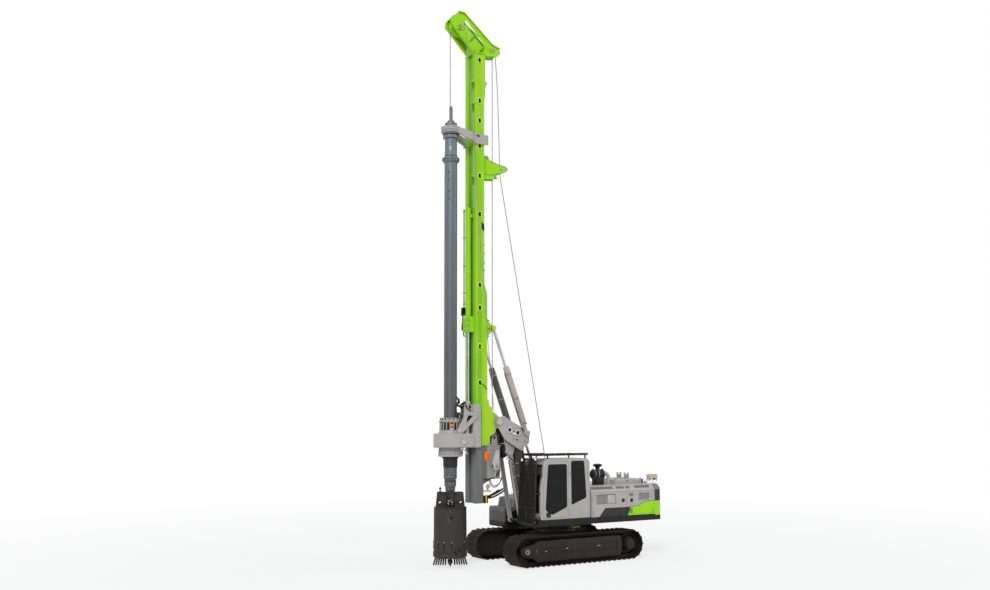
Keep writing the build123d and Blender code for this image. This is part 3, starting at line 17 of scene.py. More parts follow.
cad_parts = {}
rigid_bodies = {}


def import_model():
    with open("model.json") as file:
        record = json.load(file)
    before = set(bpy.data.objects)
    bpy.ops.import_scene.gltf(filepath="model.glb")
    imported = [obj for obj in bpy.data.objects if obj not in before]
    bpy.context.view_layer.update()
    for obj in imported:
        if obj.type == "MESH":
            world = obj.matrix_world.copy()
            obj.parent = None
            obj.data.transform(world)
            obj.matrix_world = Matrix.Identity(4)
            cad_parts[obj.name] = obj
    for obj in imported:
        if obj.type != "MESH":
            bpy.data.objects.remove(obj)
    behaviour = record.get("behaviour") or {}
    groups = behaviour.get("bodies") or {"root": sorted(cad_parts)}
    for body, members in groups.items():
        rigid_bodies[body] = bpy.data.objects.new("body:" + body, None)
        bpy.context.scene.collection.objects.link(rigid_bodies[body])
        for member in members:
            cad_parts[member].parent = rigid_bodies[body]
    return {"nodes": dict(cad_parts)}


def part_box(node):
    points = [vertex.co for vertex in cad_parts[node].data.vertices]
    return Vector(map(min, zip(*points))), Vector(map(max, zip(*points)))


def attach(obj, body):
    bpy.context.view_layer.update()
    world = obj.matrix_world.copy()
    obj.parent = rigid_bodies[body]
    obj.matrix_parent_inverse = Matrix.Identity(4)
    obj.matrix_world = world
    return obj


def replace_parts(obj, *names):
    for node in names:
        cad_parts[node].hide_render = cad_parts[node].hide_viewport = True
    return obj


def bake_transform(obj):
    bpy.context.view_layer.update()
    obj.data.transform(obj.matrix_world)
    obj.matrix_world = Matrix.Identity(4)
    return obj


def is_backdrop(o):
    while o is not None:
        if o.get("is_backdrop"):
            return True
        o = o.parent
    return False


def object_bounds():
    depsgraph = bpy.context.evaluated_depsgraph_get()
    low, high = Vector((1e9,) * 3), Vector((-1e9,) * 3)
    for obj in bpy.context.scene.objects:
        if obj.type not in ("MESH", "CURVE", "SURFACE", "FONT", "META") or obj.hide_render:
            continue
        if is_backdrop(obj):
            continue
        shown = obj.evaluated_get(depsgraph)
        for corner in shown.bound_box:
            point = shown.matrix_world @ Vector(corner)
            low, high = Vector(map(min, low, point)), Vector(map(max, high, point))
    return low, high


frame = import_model()
cad_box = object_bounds()
nodes = frame["nodes"]
print("nodes", len(nodes), "box", [[round(v, 3) for v in corner] for corner in cad_box])


def in_scene(name, data):
    """A new object in the scene."""
    made = bpy.data.objects.new(name, data)
    bpy.context.scene.collection.objects.link(made)
    return made

# %% [markdown]
# ## Camera
#
# The picture of such a tall machine is taken from some 30 m away, at the height of the
# cab's roof, so that the upright mast stays nearly upright in the frame. The camera is
# tilted up a little and shifted, which keeps the whole mast in without a wide lens.

# %% Camera
CAMERA_AT = Vector((18.232, 26.83, 4.18))
YAW, PITCH, ROLL = radians(31.61), radians(6.08), radians(-0.16)
FOCAL, SHIFT = 36.7, (-0.0008, 0.0238)     # millimetres, and shares of the picture's width
look = Vector((-cos(PITCH) * sin(YAW), -cos(PITCH) * cos(YAW), sin(PITCH)))
lens = bpy.data.cameras.new("camera")
lens.lens, lens.sensor_width = FOCAL, 36
lens.shift_x, lens.shift_y = SHIFT
lens.clip_end = 400
camera = in_scene("camera", lens)
turned = look.to_track_quat("-Z", "Y").to_matrix().to_4x4()
camera.matrix_world = Matrix.Translation(CAMERA_AT) @ turned @ Matrix.Rotation(ROLL, 4, "Z")
bpy.context.scene.camera = camera
bpy.context.scene.view_settings.view_transform = "Standard"
print("camera looks along", [round(v, 3) for v in look])

# %% [markdown]
# ## Writing a finish as sums
#
# A finish is a small network of nodes. Written by hand, each sum costs several lines, so
# one class stands for a node's output and lets plain arithmetic add the Math nodes, and
# one method makes any other node from its type, its settings and its inputs.

# %% Wires and recipes
class Wire:
    """A node's output, used like a number in an expression."""

    def __init__(self, recipe, socket):
        self.recipe, self.socket = recipe, socket

    def sum_of(self, operation, *values, clamp=False):
        settings = {"operation": operation, "use_clamp": clamp}
        return self.recipe.node("ShaderNodeMath", settings, dict(enumerate(values)))

    def __add__(self, other):
        return self.sum_of("ADD", self, other)

    def __sub__(self, other):
        return self.sum_of("SUBTRACT", self, other)

    def __rsub__(self, other):
        return self.sum_of("SUBTRACT", other, self)

    def __mul__(self, other):
        return self.sum_of("MULTIPLY", self, other)

    def __pow__(self, other):
        return self.sum_of("POWER", self, other)

    def __abs__(self):
        return self.sum_of("ABSOLUTE", self)

    def __gt__(self, other):
        return self.sum_of("GREATER_THAN", self, other)

    def __lt__(self, other):
        return self.sum_of("LESS_THAN", self, other)

    __radd__, __rmul__ = __add__, __mul__

    def least(self, other):
        return self.sum_of("MINIMUM", self, other)

    def most(self, other):
        return self.sum_of("MAXIMUM", self, other)

    def waves(self, length):
        """A sine with one wave for each stretch of this length."""
        return self.sum_of("SINE", self * (2 * pi / length))

    def held(self):
        """The value kept between 0 and 1."""
        return self.sum_of("ADD", self, 0.0, clamp=True)

    def rise(self, low, high):
        """0 below low, 1 above high, and straight between them."""
        settings = {"clamp": True}
        return self.recipe.node("ShaderNodeMapRange", settings, {0: self, 1: low, 2: high})


class Recipe:
    """A material under construction."""

    def __init__(self, name):
        self.material = bpy.data.materials.new(name)
        self.material.use_nodes = True
        self.tree = self.material.node_tree
        self.tree.nodes.clear()
        self.place = self.node("ShaderNodeTexCoord", {}, {}, "Object")

    def node(self, kind, settings, inputs, output=0):
        """A node: its settings first, then its sockets' values or links. Gives one output."""
        made = self.tree.nodes.new(kind)
        for name, value in settings.items():
            setattr(made, name, value)
        for name, value in inputs.items():
            if isinstance(value, Wire):
                self.tree.links.new(value.socket, made.inputs[name])
            else:
                made.inputs[name].default_value = value
        return Wire(self, made.outputs[output])

    def axes(self):
        """The place's three numbers, in metres."""
        split = self.node("ShaderNodeSeparateXYZ", {}, {0: self.place})
        return [Wire(self, split.socket.node.outputs[name]) for name in "XYZ"]

    def noise(self, scale, detail=4.0, stretch=(1, 1, 1), rough=0.55):
        """Cloudy noise about 0.5, of features 1 / scale metres wide."""
        at = self.place
        if stretch != (1, 1, 1):
            at = self.node("ShaderNodeMapping", {}, {0: at, "Scale": stretch})
        return self.node("ShaderNodeTexNoise", {},
                         {"Vector": at, "Scale": scale, "Detail": detail, "Roughness": rough})

    def mix(self, factor, first, second, how="MIX"):
        """Two colours, mixed by a mask."""
        first, second = [c if isinstance(c, Wire) else (*c, 1) for c in (first, second)]
        return self.node("ShaderNodeMix", {"data_type": "RGBA", "blend_type": how},
                         {0: factor, 6: first, 7: second}, 2)

    def bump(self, height, strength, depth):
        """A normal bent by a height given in shares of depth metres."""
        return self.node("ShaderNodeBump", {},
                         {"Strength": strength, "Distance": depth, "Height": height})

    def shade(self, **inputs):
        """The surface shader with its inputs, and the finished material."""
        named = {name.replace("_", " "): value for name, value in inputs.items()}
        named = {n: (*v, 1) if isinstance(v,
                                          tuple) and len(v) == 3 else v for n, v in named.items()}
        surface = self.node("ShaderNodeBsdfPrincipled", {}, named)
        self.node_output(surface)
        return self.material

    def node_output(self, surface):
        """Links a shader to the material's output."""
        end = self.tree.nodes.new("ShaderNodeOutputMaterial")
        self.tree.links.new(surface.socket, end.inputs["Surface"])


def srgb(red, green, blue):
    """A paint-card colour from 0 to 255, as the linear light that Blender mixes."""
    scaled = [v / 255 for v in (red, green, blue)]
    return tuple(v / 12.92 if v <= 0.04045 else ((v + 0.055) / 1.055) ** 2.4 for v in scaled)

# %% [markdown]
# ## Paint
#
# Most of the rig is sprayed steel. New paint is even, but plates are never quite flat, the
# lacquer has a fine orange-peel skin, rain leaves upright streaks and dust settles on what
# faces up. All painted finishes share this recipe and differ in colour, gloss and dust, so
# that they look as if they come from one workshop.

# %% The shared paint recipe
DUST = srgb(150, 140, 124)


def weathered(recipe, colour, gloss=0.35, dust=0.25, streaks=0.15, tone=0.10, metal=0.0):
    """Adds paint's unevenness, streaks and dust to a colour, and finishes the material."""
    cloud = recipe.noise(1.3, 5)
    streak = recipe.noise(7.0, 3, (1, 1, 0.08))
    speck = recipe.noise(90.0, 2)
    facing = recipe.node("ShaderNodeSeparateXYZ", {},
                         {0: recipe.node("ShaderNodeTexCoord", {}, {}, "Normal")}, 2)
    settled = (facing.rise(0.35, 0.95) * dust * (cloud * 0.9 + 0.5)
               + streak.rise(0.50, 0.72) * streaks * 0.5).held()
    darker = recipe.mix(1.0, colour, tuple([1 - tone * 2] * 3), "MULTIPLY")
    lighter = recipe.mix(cloud.rise(0.3, 0.7), darker, colour)
    base = recipe.mix(settled, lighter, DUST)
    rough = gloss + settled * 0.45 + speck * 0.06
    skin = recipe.bump(cloud * 0.5 + speck * 0.12, 0.25, 0.004)
    return recipe.shade(Base_Color=base, Roughness=rough, Metallic=metal, Normal=skin,
                        Specular_IOR_Level=0.25)


def paint(name, colour, **options):
    """A finish of one paint colour."""
    return weathered(Recipe(name), colour, **options)

# %% [markdown]
# ## The rig's finishes
#
# Each finish below is named for what it covers. Where a plate changes colour without
# changing shape, such as the sweep of green over the engine house, the line between the
# paints is worked out from the place on the surface, as a paint mask would be cut.

# %% Plain paints and metals
LIME = srgb(152, 214, 20)
PALE = srgb(172, 167, 165)
finish = {
    "lime": paint("lime_paint", LIME, gloss=0.32, dust=0.05, streaks=0.05, tone=0.05),
    "pale": paint("pale_paint", PALE, gloss=0.36, dust=0.16, streaks=0.16, tone=0.06),
    "black": paint("black_paint", srgb(18, 16, 16), gloss=0.42, dust=0.05, streaks=0.04),
    "chassis": paint("chassis_paint", srgb(32, 20, 16), gloss=0.55, dust=0.03, streaks=0.06),
    "arm": paint("arm_paint", srgb(72, 68, 66), gloss=0.42, dust=0.12, streaks=0.25),
    "drum": weathered(Recipe("rope_drum_steel"), srgb(80, 72, 66), gloss=0.5, metal=0.6),
    "orange": paint("orange_plate", srgb(250, 120, 10), gloss=0.4, dust=0.04, streaks=0.04),
    "yellow": paint("yellow_stripe", srgb(250, 196, 20), gloss=0.4, dust=0.04, streaks=0.04),
    "beige": paint("beige_paint", srgb(196, 182, 160), gloss=0.42, dust=0.15, streaks=0.2),
}
print("plain finishes", len(finish))

# %% [markdown]
# Worn steel is not one colour. The bucket and the crawlers are dark with old soil and
# scale, and bright only where something rubs, so a coarse cloud decides between the two.

# %% Worn steel
def worn_steel(name, dark, bright, share=0.5, rough=0.55):
    """Steel that is dark but for the places where something rubs."""
    recipe = Recipe(name)
    cloud, scratch = recipe.noise(3.5, 6), recipe.noise(30.0, 4, (1, 1, 0.15))
    rubbed = (cloud * 0.6 + scratch * 0.4).rise(share, share + 0.16)
    scale = recipe.noise(45.0, 3)
    return recipe.shade(
        Base_Color=recipe.mix(rubbed, recipe.mix(scale.rise(0.35, 0.65), dark,
                                                 tuple(v * 1.5 for v in dark)), bright),
        Roughness=rough - rubbed * 0.18 + scale * 0.1, Metallic=rubbed * 0.5,
        Normal=recipe.bump(scale * 0.5 + cloud * 0.5, 0.5, 0.004), Specular_IOR_Level=0.25)


finish["bucket"] = worn_steel("bucket_steel", srgb(44, 41, 39), srgb(82, 78, 74), 0.56)
finish["crawler"] = worn_steel("crawler_steel", srgb(26, 16, 13), srgb(72, 62, 55), 0.60, 0.6)
finish["machined"] = worn_steel("machined_steel", srgb(40, 37, 35), srgb(130, 126, 122), 0.56, 0.45)
finish["bright"] = worn_steel("bright_steel", srgb(120, 118, 116), srgb(200, 199, 197), 0.48, 0.42)


def chrome():
    """Hard chrome: smooth, with the faint lengthways polish of a rod."""
    recipe = Recipe("rod_chrome")
    polish = recipe.noise(60.0, 2, (1, 1, 0.03))
    oil = recipe.noise(2.0, 3)
    base = recipe.mix(oil.rise(0.35, 0.7), srgb(196, 194, 200), srgb(168, 164, 172))
    return recipe.shade(Base_Color=base, Metallic=1.0, Roughness=polish * 0.15 + 0.16,
                        Normal=recipe.bump(polish, 0.08, 0.001))


def kelly_paint():
    """Blue-grey bar, darker toward its foot, with rub marks where the keys slide."""
    recipe = Recipe("kelly_paint")
    low = recipe.axes()[2].rise(5.0, 12.5)
    scuff = recipe.noise(12.0, 4, (1, 1, 0.05)).rise(0.45, 0.68)
    paint_mix = recipe.mix(low, srgb(84, 86, 90), srgb(106, 116, 124))
    base = recipe.mix(scuff * 0.35, paint_mix, srgb(70, 70, 72))
    return recipe.shade(Base_Color=base, Roughness=0.38 + scuff * 0.2, Metallic=0.25,
                        Normal=recipe.bump(recipe.noise(50.0, 2), 0.2, 0.002))


def rubber(name, colour=srgb(30, 29, 30), rough=0.62):
    """Hose rubber with a slightly grey bloom."""
    recipe = Recipe(name)
    bloom, grain = recipe.noise(4.0, 4), recipe.noise(160.0, 2)
    base = recipe.mix(bloom.rise(0.35, 0.75), colour, tuple(min(1, v * 1.8) for v in colour))
    return recipe.shade(Base_Color=base, Roughness=rough + grain * 0.1,
                        Normal=recipe.bump(grain, 0.3, 0.001),
                        Specular_IOR_Level=0.3)


def wire_rope():
    """Steel rope: bright strands laid in a steep turn, with dark grease between them."""
    recipe = Recipe("wire_rope")
    x, y, z = recipe.axes()
    lay = (z + x * 0.8 + y * 0.8).waves(0.045)
    strand = lay * 0.5 + 0.5
    base = recipe.mix(strand.rise(0.2, 0.6), srgb(70, 68, 66), srgb(172, 170, 168))
    return recipe.shade(Base_Color=base, Roughness=0.5 - strand * 0.1, Metallic=0.55,
                        Normal=recipe.bump(strand, 0.6, 0.003))


finish.update({"chrome": chrome(), "kelly": kelly_paint(), "rubber": rubber("hose_rubber"),
               "cone_rubber": rubber("cone_rubber", srgb(30, 28, 28), 0.55), "rope": wire_rope()})

# %% [markdown]
# ## The engine house and the counterweight
#
# From below, the house's sides are black, lime green, dark grey and pale grey. The green
# starts in a slanted front edge and climbs in a long slope toward the rear. A dark slanted
# panel stands ahead of it. The crown of the counterweight is blue-grey over a dark band.

# %% House paint with its sweep
MIDDLE_X = 0.4285                          # the swing axis lies this far behind the frame's origin
print("swing axis at x", -MIDDLE_X)


def straight(x, start, end):
    """The height of the line through two (x, z) points, above a place x."""
    slope = (end[1] - start[1]) / (end[0] - start[0])
    return x * slope + (start[1] - slope * start[0])


def house_paint(name, ground, crown=False):
    """Pale paint with the sweep of green; the counterweight has a dark band under its crown."""
    recipe = Recipe(name)
    x, y, z = recipe.axes()
    x = x + MIDDLE_X
    rise = straight(x, (-2.30, 1.622), (-2.60, 1.762))
    top = straight(x, (-2.0, 1.614),
                   (-2.33, 1.632)).most(rise).least(straight(x, (-2.60, 1.760), (-3.25, 1.776)))
    behind = straight(x, (-1.885, 1.30), (-2.015, 1.614))
    sides = abs(y) > 1.2
    green = (z < top) * (z < behind) * sides
    edge = (z < top + 0.022) * (z < behind + 0.05) * sides - green
    ahead = straight(x, (-0.758, 1.347), (-1.005, 1.63))
    back = straight(x, (-1.865, 1.30), (-1.995, 1.614))
    panel = (z < 1.622) * (z > back) * (z < ahead) * sides
    colour = recipe.mix(panel, ground, srgb(46, 42, 42))
    colour = recipe.mix(edge.held(), colour, srgb(104, 98, 112))
    colour = recipe.mix(green, colour, LIME)
    if crown:
        colour = recipe.mix((z > top) * (z < 2.13), colour, srgb(48, 45, 44))
        colour = recipe.mix(z > 2.13, colour, srgb(112, 124, 132))
    colour = recipe.mix(z < 1.322, colour, srgb(20, 18, 18))
    return weathered(recipe, colour, gloss=0.33, dust=0.14, streaks=0.12, tone=0.05)


finish["house"] = house_paint("house_paint", PALE)
finish["weight"] = house_paint("weight_paint", srgb(96, 94, 94), crown=True)


def mast_paint():
    """Lime paint, yellower on the flats; painted shade turns it leaf green down in the front
    channel and the side grooves, and the front face is mixed a little greener.
    """
    recipe = Recipe("mast_paint")
    x, y, z = recipe.axes()
    x = x + MIDDLE_X
    wide = abs(y)
    patches = recipe.noise(2.4, 3, (1, 1, 0.12)).rise(0.42, 0.62)
    # Painted shade: the side groove round the holes and the front channel's floor get darker
    # greens.
    groove = (x > 2.848) * (x < 2.962) * (wide < 0.2975) * (wide > 0.26) * z.rise(13.5, 8.0)
    channel = (wide < 0.145) * (x > 2.93) * (x < 3.035)
    front = (x > 3.035) * (wide < 0.30)
    colour = recipe.mix(patches, srgb(146, 208, 24), srgb(170, 212, 40))
    colour = recipe.mix(front * 0.5, colour, srgb(120, 192, 44))
    colour = recipe.mix(groove * 0.6, colour, srgb(92, 180, 40))
    colour = recipe.mix(channel * (z.rise(13.0, 10.5) * 0.5 + 0.4), colour, srgb(52, 150, 40))
    return weathered(recipe, colour, gloss=0.34, dust=0.03, streaks=0.05, tone=0.05)


def barrel_paint_with_far_shade():
    """Cylinder paint: warm and pale on the near side; on the far copies a dull olive that is
    painted shade.
    """
    recipe = Recipe("barrel_paint_with_far_shade")
    y = recipe.axes()[1]
    return weathered(recipe, recipe.mix(y < 0, srgb(178, 168, 160), srgb(92, 90, 80)), gloss=0.34,
                     dust=0.06, streaks=0.2)


def foot_paint():
    """The bare-looking foot: blue-grey at the front, pale behind, with brown upright bands on the
    front.
    """
    recipe = Recipe("foot_paint")
    x = recipe.axes()[0] + MIDDLE_X
    bands = recipe.noise(14.0, 3, (1, 1, 0.03)).rise(0.52, 0.66)
    colour = recipe.mix(x > 2.66, srgb(160, 156, 154), srgb(116, 119, 119))
    colour = recipe.mix(bands * 0.55 * (x > 2.66), colour, srgb(104, 88, 76))
    return weathered(recipe, colour, gloss=0.38, dust=0.08, streaks=0.12)


def tank_paint():
    """Front locker and tank: blue-grey lid, grey body and black foot."""
    recipe = Recipe("tank_paint")
    z = recipe.axes()[2]
    colour = recipe.mix(z > 1.50, srgb(98, 97, 95), srgb(116, 120, 122))
    colour = recipe.mix(z < 1.19, colour, srgb(20, 18, 18))
    return weathered(recipe, colour, gloss=0.4, dust=0.12, streaks=0.2)


def tinted_glass():
    """Dark safety glass with a faint cloudy film of dust."""
    recipe = Recipe("tinted_glass")
    film = recipe.noise(5.0, 4).rise(0.45, 0.8)
    base = recipe.mix(film * 0.15, srgb(12, 13, 14), srgb(60, 60, 58))
    return recipe.shade(Base_Color=base, Roughness=0.12 + film * 0.12, Alpha=film * 0.06 + 0.92,
                        IOR=1.3)


finish["tank"], finish["glass"] = tank_paint(), tinted_glass()
finish["mast"], finish["foot"], finish["barrel"] = mast_paint(), foot_paint(), barrel_paint_with_far_shade()

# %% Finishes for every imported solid
COATS = {
    "chassis": "carbody track_frames track_rollers idlers drive_sprockets",
    "crawler": "track_left track_right",
    "drum": "swing_bearing main_winch_drum aux_winch_drum",
    "black": "upper_frame cab_front_guard cab_roof_guard air_cleaner engine_block",
    "house": "engine_hood front_door_left front_door_right rear_door_left rear_door_right",
    "pale": "cab_shell cab_door front_links triangle_frame rotary_carriage rotary_gearbox "
            "kelly_guide", "barrel": "luff_barrels tilt_barrels",
    "weight": "counterweight", "tank": "right_front_box right_tank",
         "glass": "cab_glass cab_door_glass",
    "beige": "exhaust", "arm": "boom_arms", "chrome": "luff_rods tilt_rods crowd_rod",
    "mast": "mast_main", "foot": "mast_lower",
    "lime": "mast_head rope_guide crowd_barrel front_sheave rear_sheave",
    "kelly": "kelly_tube kelly_inner kelly_swivel", "cone_rubber": "drive_sleeve",
    "bucket": "bucket bucket_gate",
}
for coat, names in COATS.items():
    for name in names.split():
        nodes[name].data.materials.clear()
        nodes[name].data.materials.append(finish[coat])
print("solids without a finish",
      sorted(set(nodes) - {n for names in COATS.values() for n in names.split()}))

# %% [markdown]
# The fittings that follow need a few more finishes: brown-black guard paint, lamp glass,
# mirror glass, woven seat cloth and the dull brown of unpainted hydraulic pipe.

# %% Finishes for the fittings
def lamp_glass():
    """A pale lens with upright flutes."""
    recipe = Recipe("lamp_glass")
    x, y = recipe.axes()[:2]
    flutes = (y + x).waves(0.008)
    base = recipe.mix(recipe.noise(20.0, 2), srgb(240, 240, 236), srgb(214, 216, 214))
    return recipe.shade(Base_Color=base, Roughness=0.12, Coat_Weight=0.5,
                        Normal=recipe.bump(flutes, 0.3, 0.001))


def mirror_glass():
    """A mirror with a little dust on it."""
    recipe = Recipe("mirror_glass")
    dust = recipe.noise(30.0, 4).rise(0.5, 0.8)
    return recipe.shade(Base_Color=recipe.mix(dust * 0.3, srgb(226, 228, 230), DUST), Metallic=1.0,
                        Roughness=dust * 0.2 + 0.05)


def seat_cloth():
    """Charcoal cloth: a fine plain weave with slightly worn patches."""
    recipe = Recipe("seat_cloth")
    x, y, z = recipe.axes()
    weave = (x + z).waves(0.003) * y.waves(0.003) * 0.5 + 0.5
    worn = recipe.noise(6.0, 4).rise(0.4, 0.8)
    base = recipe.mix(worn * 0.5 + weave * 0.2, srgb(44, 44, 47), srgb(78, 78, 82))
    return recipe.shade(Base_Color=base, Roughness=0.9, Sheen_Weight=0.3,
                        Normal=recipe.bump(weave, 0.4, 0.001))


finish.update({
    "guard": paint("guard_paint", srgb(34, 29, 26), gloss=0.5, dust=0.05, streaks=0.12),
    "lamp_glass": lamp_glass(), "mirror_glass": mirror_glass(), "seat_cloth": seat_cloth(),
    "pipe": paint("pipe_steel", srgb(112, 96, 84), gloss=0.45, dust=0.1, streaks=0.2, metal=0.3),
    "dark_grey": paint("dark_grey_paint", srgb(56, 54, 54), gloss=0.45, dust=0.10, streaks=0.10),
    "blue_plate": paint("blue_patch", srgb(34, 42, 84), gloss=0.5, dust=0.02, streaks=0.02),
    "green_cap": paint("green_cap", srgb(30, 150, 60), gloss=0.4, dust=0.02, streaks=0.02),
})
finish.update({
    "leaf": paint("leaf_paint", srgb(66, 158, 44), gloss=0.4, dust=0.03, streaks=0.05),
    "yellow_lime": paint("yellow_lime_paint", srgb(184, 214, 32), gloss=0.36, dust=0.03,
                         streaks=0.04),
    "rim_lime": paint("rim_lime_paint", srgb(190, 232, 60), gloss=0.34, dust=0.02, streaks=0.03),
    "rings": paint("ring_paint", srgb(214, 208, 204), gloss=0.38, dust=0.06, streaks=0.06),
    "cap_pale": paint("cap_paint", srgb(196, 190, 186), gloss=0.38, dust=0.06, streaks=0.06),
})

# %% [markdown]
# ## A bench of small shapes
#
# A machine is bars, rods, plates, turned parts and hoses. Each of the five has a maker
# below that starts from a bmesh operator and hands back a loose shape. A piece gathers
# such shapes, with copies where something repeats, and becomes one object at the origin
# that rides on a body. Edges get a small round, because a sharp edge never catches light.

# %% Five kinds of shape
def soften(bm, width, edges=None, segments=2):
    """Rounds the given edges of a shape, or all of them."""
    bmesh.ops.bevel(bm, geom=edges or bm.edges[:], offset=width, segments=segments, profile=0.5,
                    affect="EDGES", material=-1)
    return bm


def bar(low, high, rounded=0.004):
    """A straight block between two opposite corners."""
    bm = bmesh.new()
    bmesh.ops.create_cube(bm, size=1)
    low, high = Vector(low), Vector(high)
    bmesh.ops.scale(bm, vec=high - low, verts=bm.verts)
    bmesh.ops.translate(bm, vec=(low + high) / 2, verts=bm.verts)
    return soften(bm, rounded) if rounded else bm


def rod(start, end, radius, tip=None, sides=16, rounded=0.0):
    """A round bar or cone from one point to another, with its two rims rounded."""
    start, end = Vector(start), Vector(end)
    run = end - start
    bm = bmesh.new()
    bmesh.ops.create_cone(bm, cap_ends=True, segments=sides, radius1=radius,
                          radius2=radius if tip is None else tip, depth=run.length)
    if rounded:
        soften(bm, rounded, [e for e in bm.edges if abs(e.verts[0].co.z - e.verts[1].co.z) < 1e-6])
    turn = run.to_track_quat("Z", "Y").to_matrix().to_4x4()
    bmesh.ops.transform(bm, matrix=Matrix.Translation((start + end) / 2) @ turn, verts=bm.verts)
    return bm


def thicken(bm, faces, thick):
    """Gives flat faces a thickness, along a vector."""
    moved = bmesh.ops.extrude_face_region(bm, geom=faces)["geom"]
    bmesh.ops.translate(bm, vec=thick,
                        verts=[v for v in moved if isinstance(v, bmesh.types.BMVert)])
    bmesh.ops.recalc_face_normals(bm, faces=bm.faces)
    return bm


def plate(outline, thick, rounded=0.003):
    """A flat plate: its outline's corners in order, and the vector it is thickened by."""
    bm = bmesh.new()
    thicken(bm, [bm.faces.new([bm.verts.new(p) for p in outline])], thick)
    return soften(bm, rounded) if rounded else bm


def turned_shape(profile, place, axis=(0, 0, 1), sides=24):
    """A turned part: (radius, height) pairs spun about an axis through a place."""
    bm = bmesh.new()
    line = [bm.verts.new((radius, 0, height)) for radius, height in profile]
    edges = [bm.edges.new(pair) for pair in zip(line, line[1:])]
    bmesh.ops.spin(bm, geom=line + edges, cent=(0, 0, 0), axis=(0, 0, 1), angle=2 * pi, steps=sides,
                   use_merge=True)
    bmesh.ops.remove_doubles(bm, verts=bm.verts, dist=1e-5)
    bmesh.ops.recalc_face_normals(bm, faces=bm.faces)
    turn = Vector(axis).to_track_quat("Z", "Y").to_matrix().to_4x4()
    bmesh.ops.transform(bm, matrix=Matrix.Translation(place) @ turn, verts=bm.verts)
    return bm


def tube(points, radius, sides=8, steps=5):
    """A hose, pipe or rope along a smooth line through or near the points."""
    line = bpy.data.curves.new("line", "CURVE")
    line.dimensions, line.use_fill_caps, line.resolution_u = "3D", True, steps
    line.bevel_depth, line.bevel_resolution = radius, (sides - 4) // 2
    spline = line.splines.new("NURBS")
    spline.points.add(len(points) - 1)
    for point, place in zip(spline.points, points):
        point.co = (*place, 1)
    spline.order_u, spline.use_endpoint_u = min(4, len(points)), True
    holder = bpy.data.objects.new("line", line)
    mesh = bpy.data.meshes.new_from_object(holder)
    bm = bmesh.new()
    bm.from_mesh(mesh)
    bmesh.ops.remove_doubles(bm, verts=bm.verts, dist=1e-6)
    for used, store in ((holder, bpy.data.objects), (line, bpy.data.curves),
                        (mesh, bpy.data.meshes)):
        store.remove(used)
    return bm


def hoop(inner, outer, low, high):
    """The profile of a ring, or of a disc where the inner radius is 0."""
    return [(inner, low), (outer, low), (outer, high), (inner, high)]


def knob(radius, top, high):
    """The profile of a short plug whose top is narrower than its foot."""
    return [(0, 0), (radius, 0), (top, high), (0, high)]


def bolt(place, axis, size=0.016):
    """A hexagon bolt's head on its washer."""
    reach = size * 0.75
    bm = turned_shape(hoop(0, size * 1.25, 0, size * 0.2), (0, 0, 0), sides=12)
    head = rod((0, 0, size * 0.2), (0, 0, reach), size, sides=6, rounded=size * 0.08)
    join(bm, head)
    turn = Vector(axis).to_track_quat("Z", "Y").to_matrix().to_4x4()
    bmesh.ops.transform(bm, matrix=Matrix.Translation(place) @ turn, verts=bm.verts)
    return bm


def join(bm, other):
    """Adds another shape to this one."""
    mesh = bpy.data.meshes.new("loose")
    other.to_mesh(mesh)
    other.free()
    bm.from_mesh(mesh)
    bpy.data.meshes.remove(mesh)
    return bm


# %% Places and copies
MIRRORED = (Matrix(), Matrix.Scale(-1, 4, (0, 1, 0)))     # as drawn, and on the other side


def at(x, y, z):
    """A place measured from the swing axis on the ground."""
    return Vector((x - MIDDLE_X, y, z))


def row(count, step):
    """Places for copies in a row."""
    return [Matrix.Translation(Vector(step) * number) for number in range(count)]


def ring(count, centre, axis="Z", start=0.0, arc=360.0):
    """Places for copies round an axis through a centre."""
    there, back = Matrix.Translation(centre), Matrix.Translation(-Vector(centre))
    return [there @ Matrix.Rotation(radians(start + arc * n / count), 4,
                                    axis) @ back for n in range(count)]


class Piece:
    """Shapes gathered in one mesh, which becomes one object that rides on a body."""

    def __init__(self, name, body, *coats):
        self.name, self.body, self.coats = name, body, coats
        self.bm = bmesh.new()

    def add(self, shape, coat=None, places=(Matrix(),)):
        """Adds a shape, in one of the piece's finishes, once for each place."""
        number = self.coats.index(coat) if coat else 0
        for face in shape.faces:
            face.material_index = number
        for place in places:
            mesh = bpy.data.meshes.new("copy")
            shape.to_mesh(mesh)
            mesh.transform(place)
            if place.determinant() < 0:
                mesh.flip_normals()
            self.bm.from_mesh(mesh)
            bpy.data.meshes.remove(mesh)
        shape.free()
        return self

    def both(self, shape, coat=None):
        """Adds a shape as drawn, and once more on the far side."""
        return self.add(shape, coat, MIRRORED)

    def done(self, slot, smooth=32, between=None):
        """Makes the object, smooth but for edges sharper than the given angle.

        It rides on its body, or, when given between, stays where it is made and rides on no body."""
        mesh = bpy.data.meshes.new(self.name)
        self.bm.to_mesh(mesh)
        self.bm.free()
        for coat in self.coats:
            mesh.materials.append(finish[coat])
        mesh.shade_smooth()
        mesh.set_sharp_from_angle(angle=radians(smooth))
        made = in_scene(self.name, mesh)
        if between:
            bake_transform(made)
        else:
            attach(made, self.body)
        print(f"{self.name}: {len(mesh.polygons)} faces on {self.body}")
        return made

# %% [markdown]
# ## Pierced plates and their rubber
#
# Window frames and lifting plates are flat sheets with openings. Corners are rounded by
# bevelling a face's points, and a fill between the outer edge and the openings' edges
# leaves the holes open.

# %% Outlines, pierced plates and seals
def rounded(outline, radius, steps=4):
    """The outline with its corners cut round."""
    bm = bmesh.new()
    bm.faces.new([bm.verts.new(p) for p in outline])
    bmesh.ops.bevel(bm, geom=bm.verts[:], offset=radius, segments=steps, profile=0.5,
                    affect="VERTICES", material=-1)
    bm.faces.ensure_lookup_table()
    corners = [v.co.copy() for v in bm.faces[0].verts]
    bm.free()
    return corners


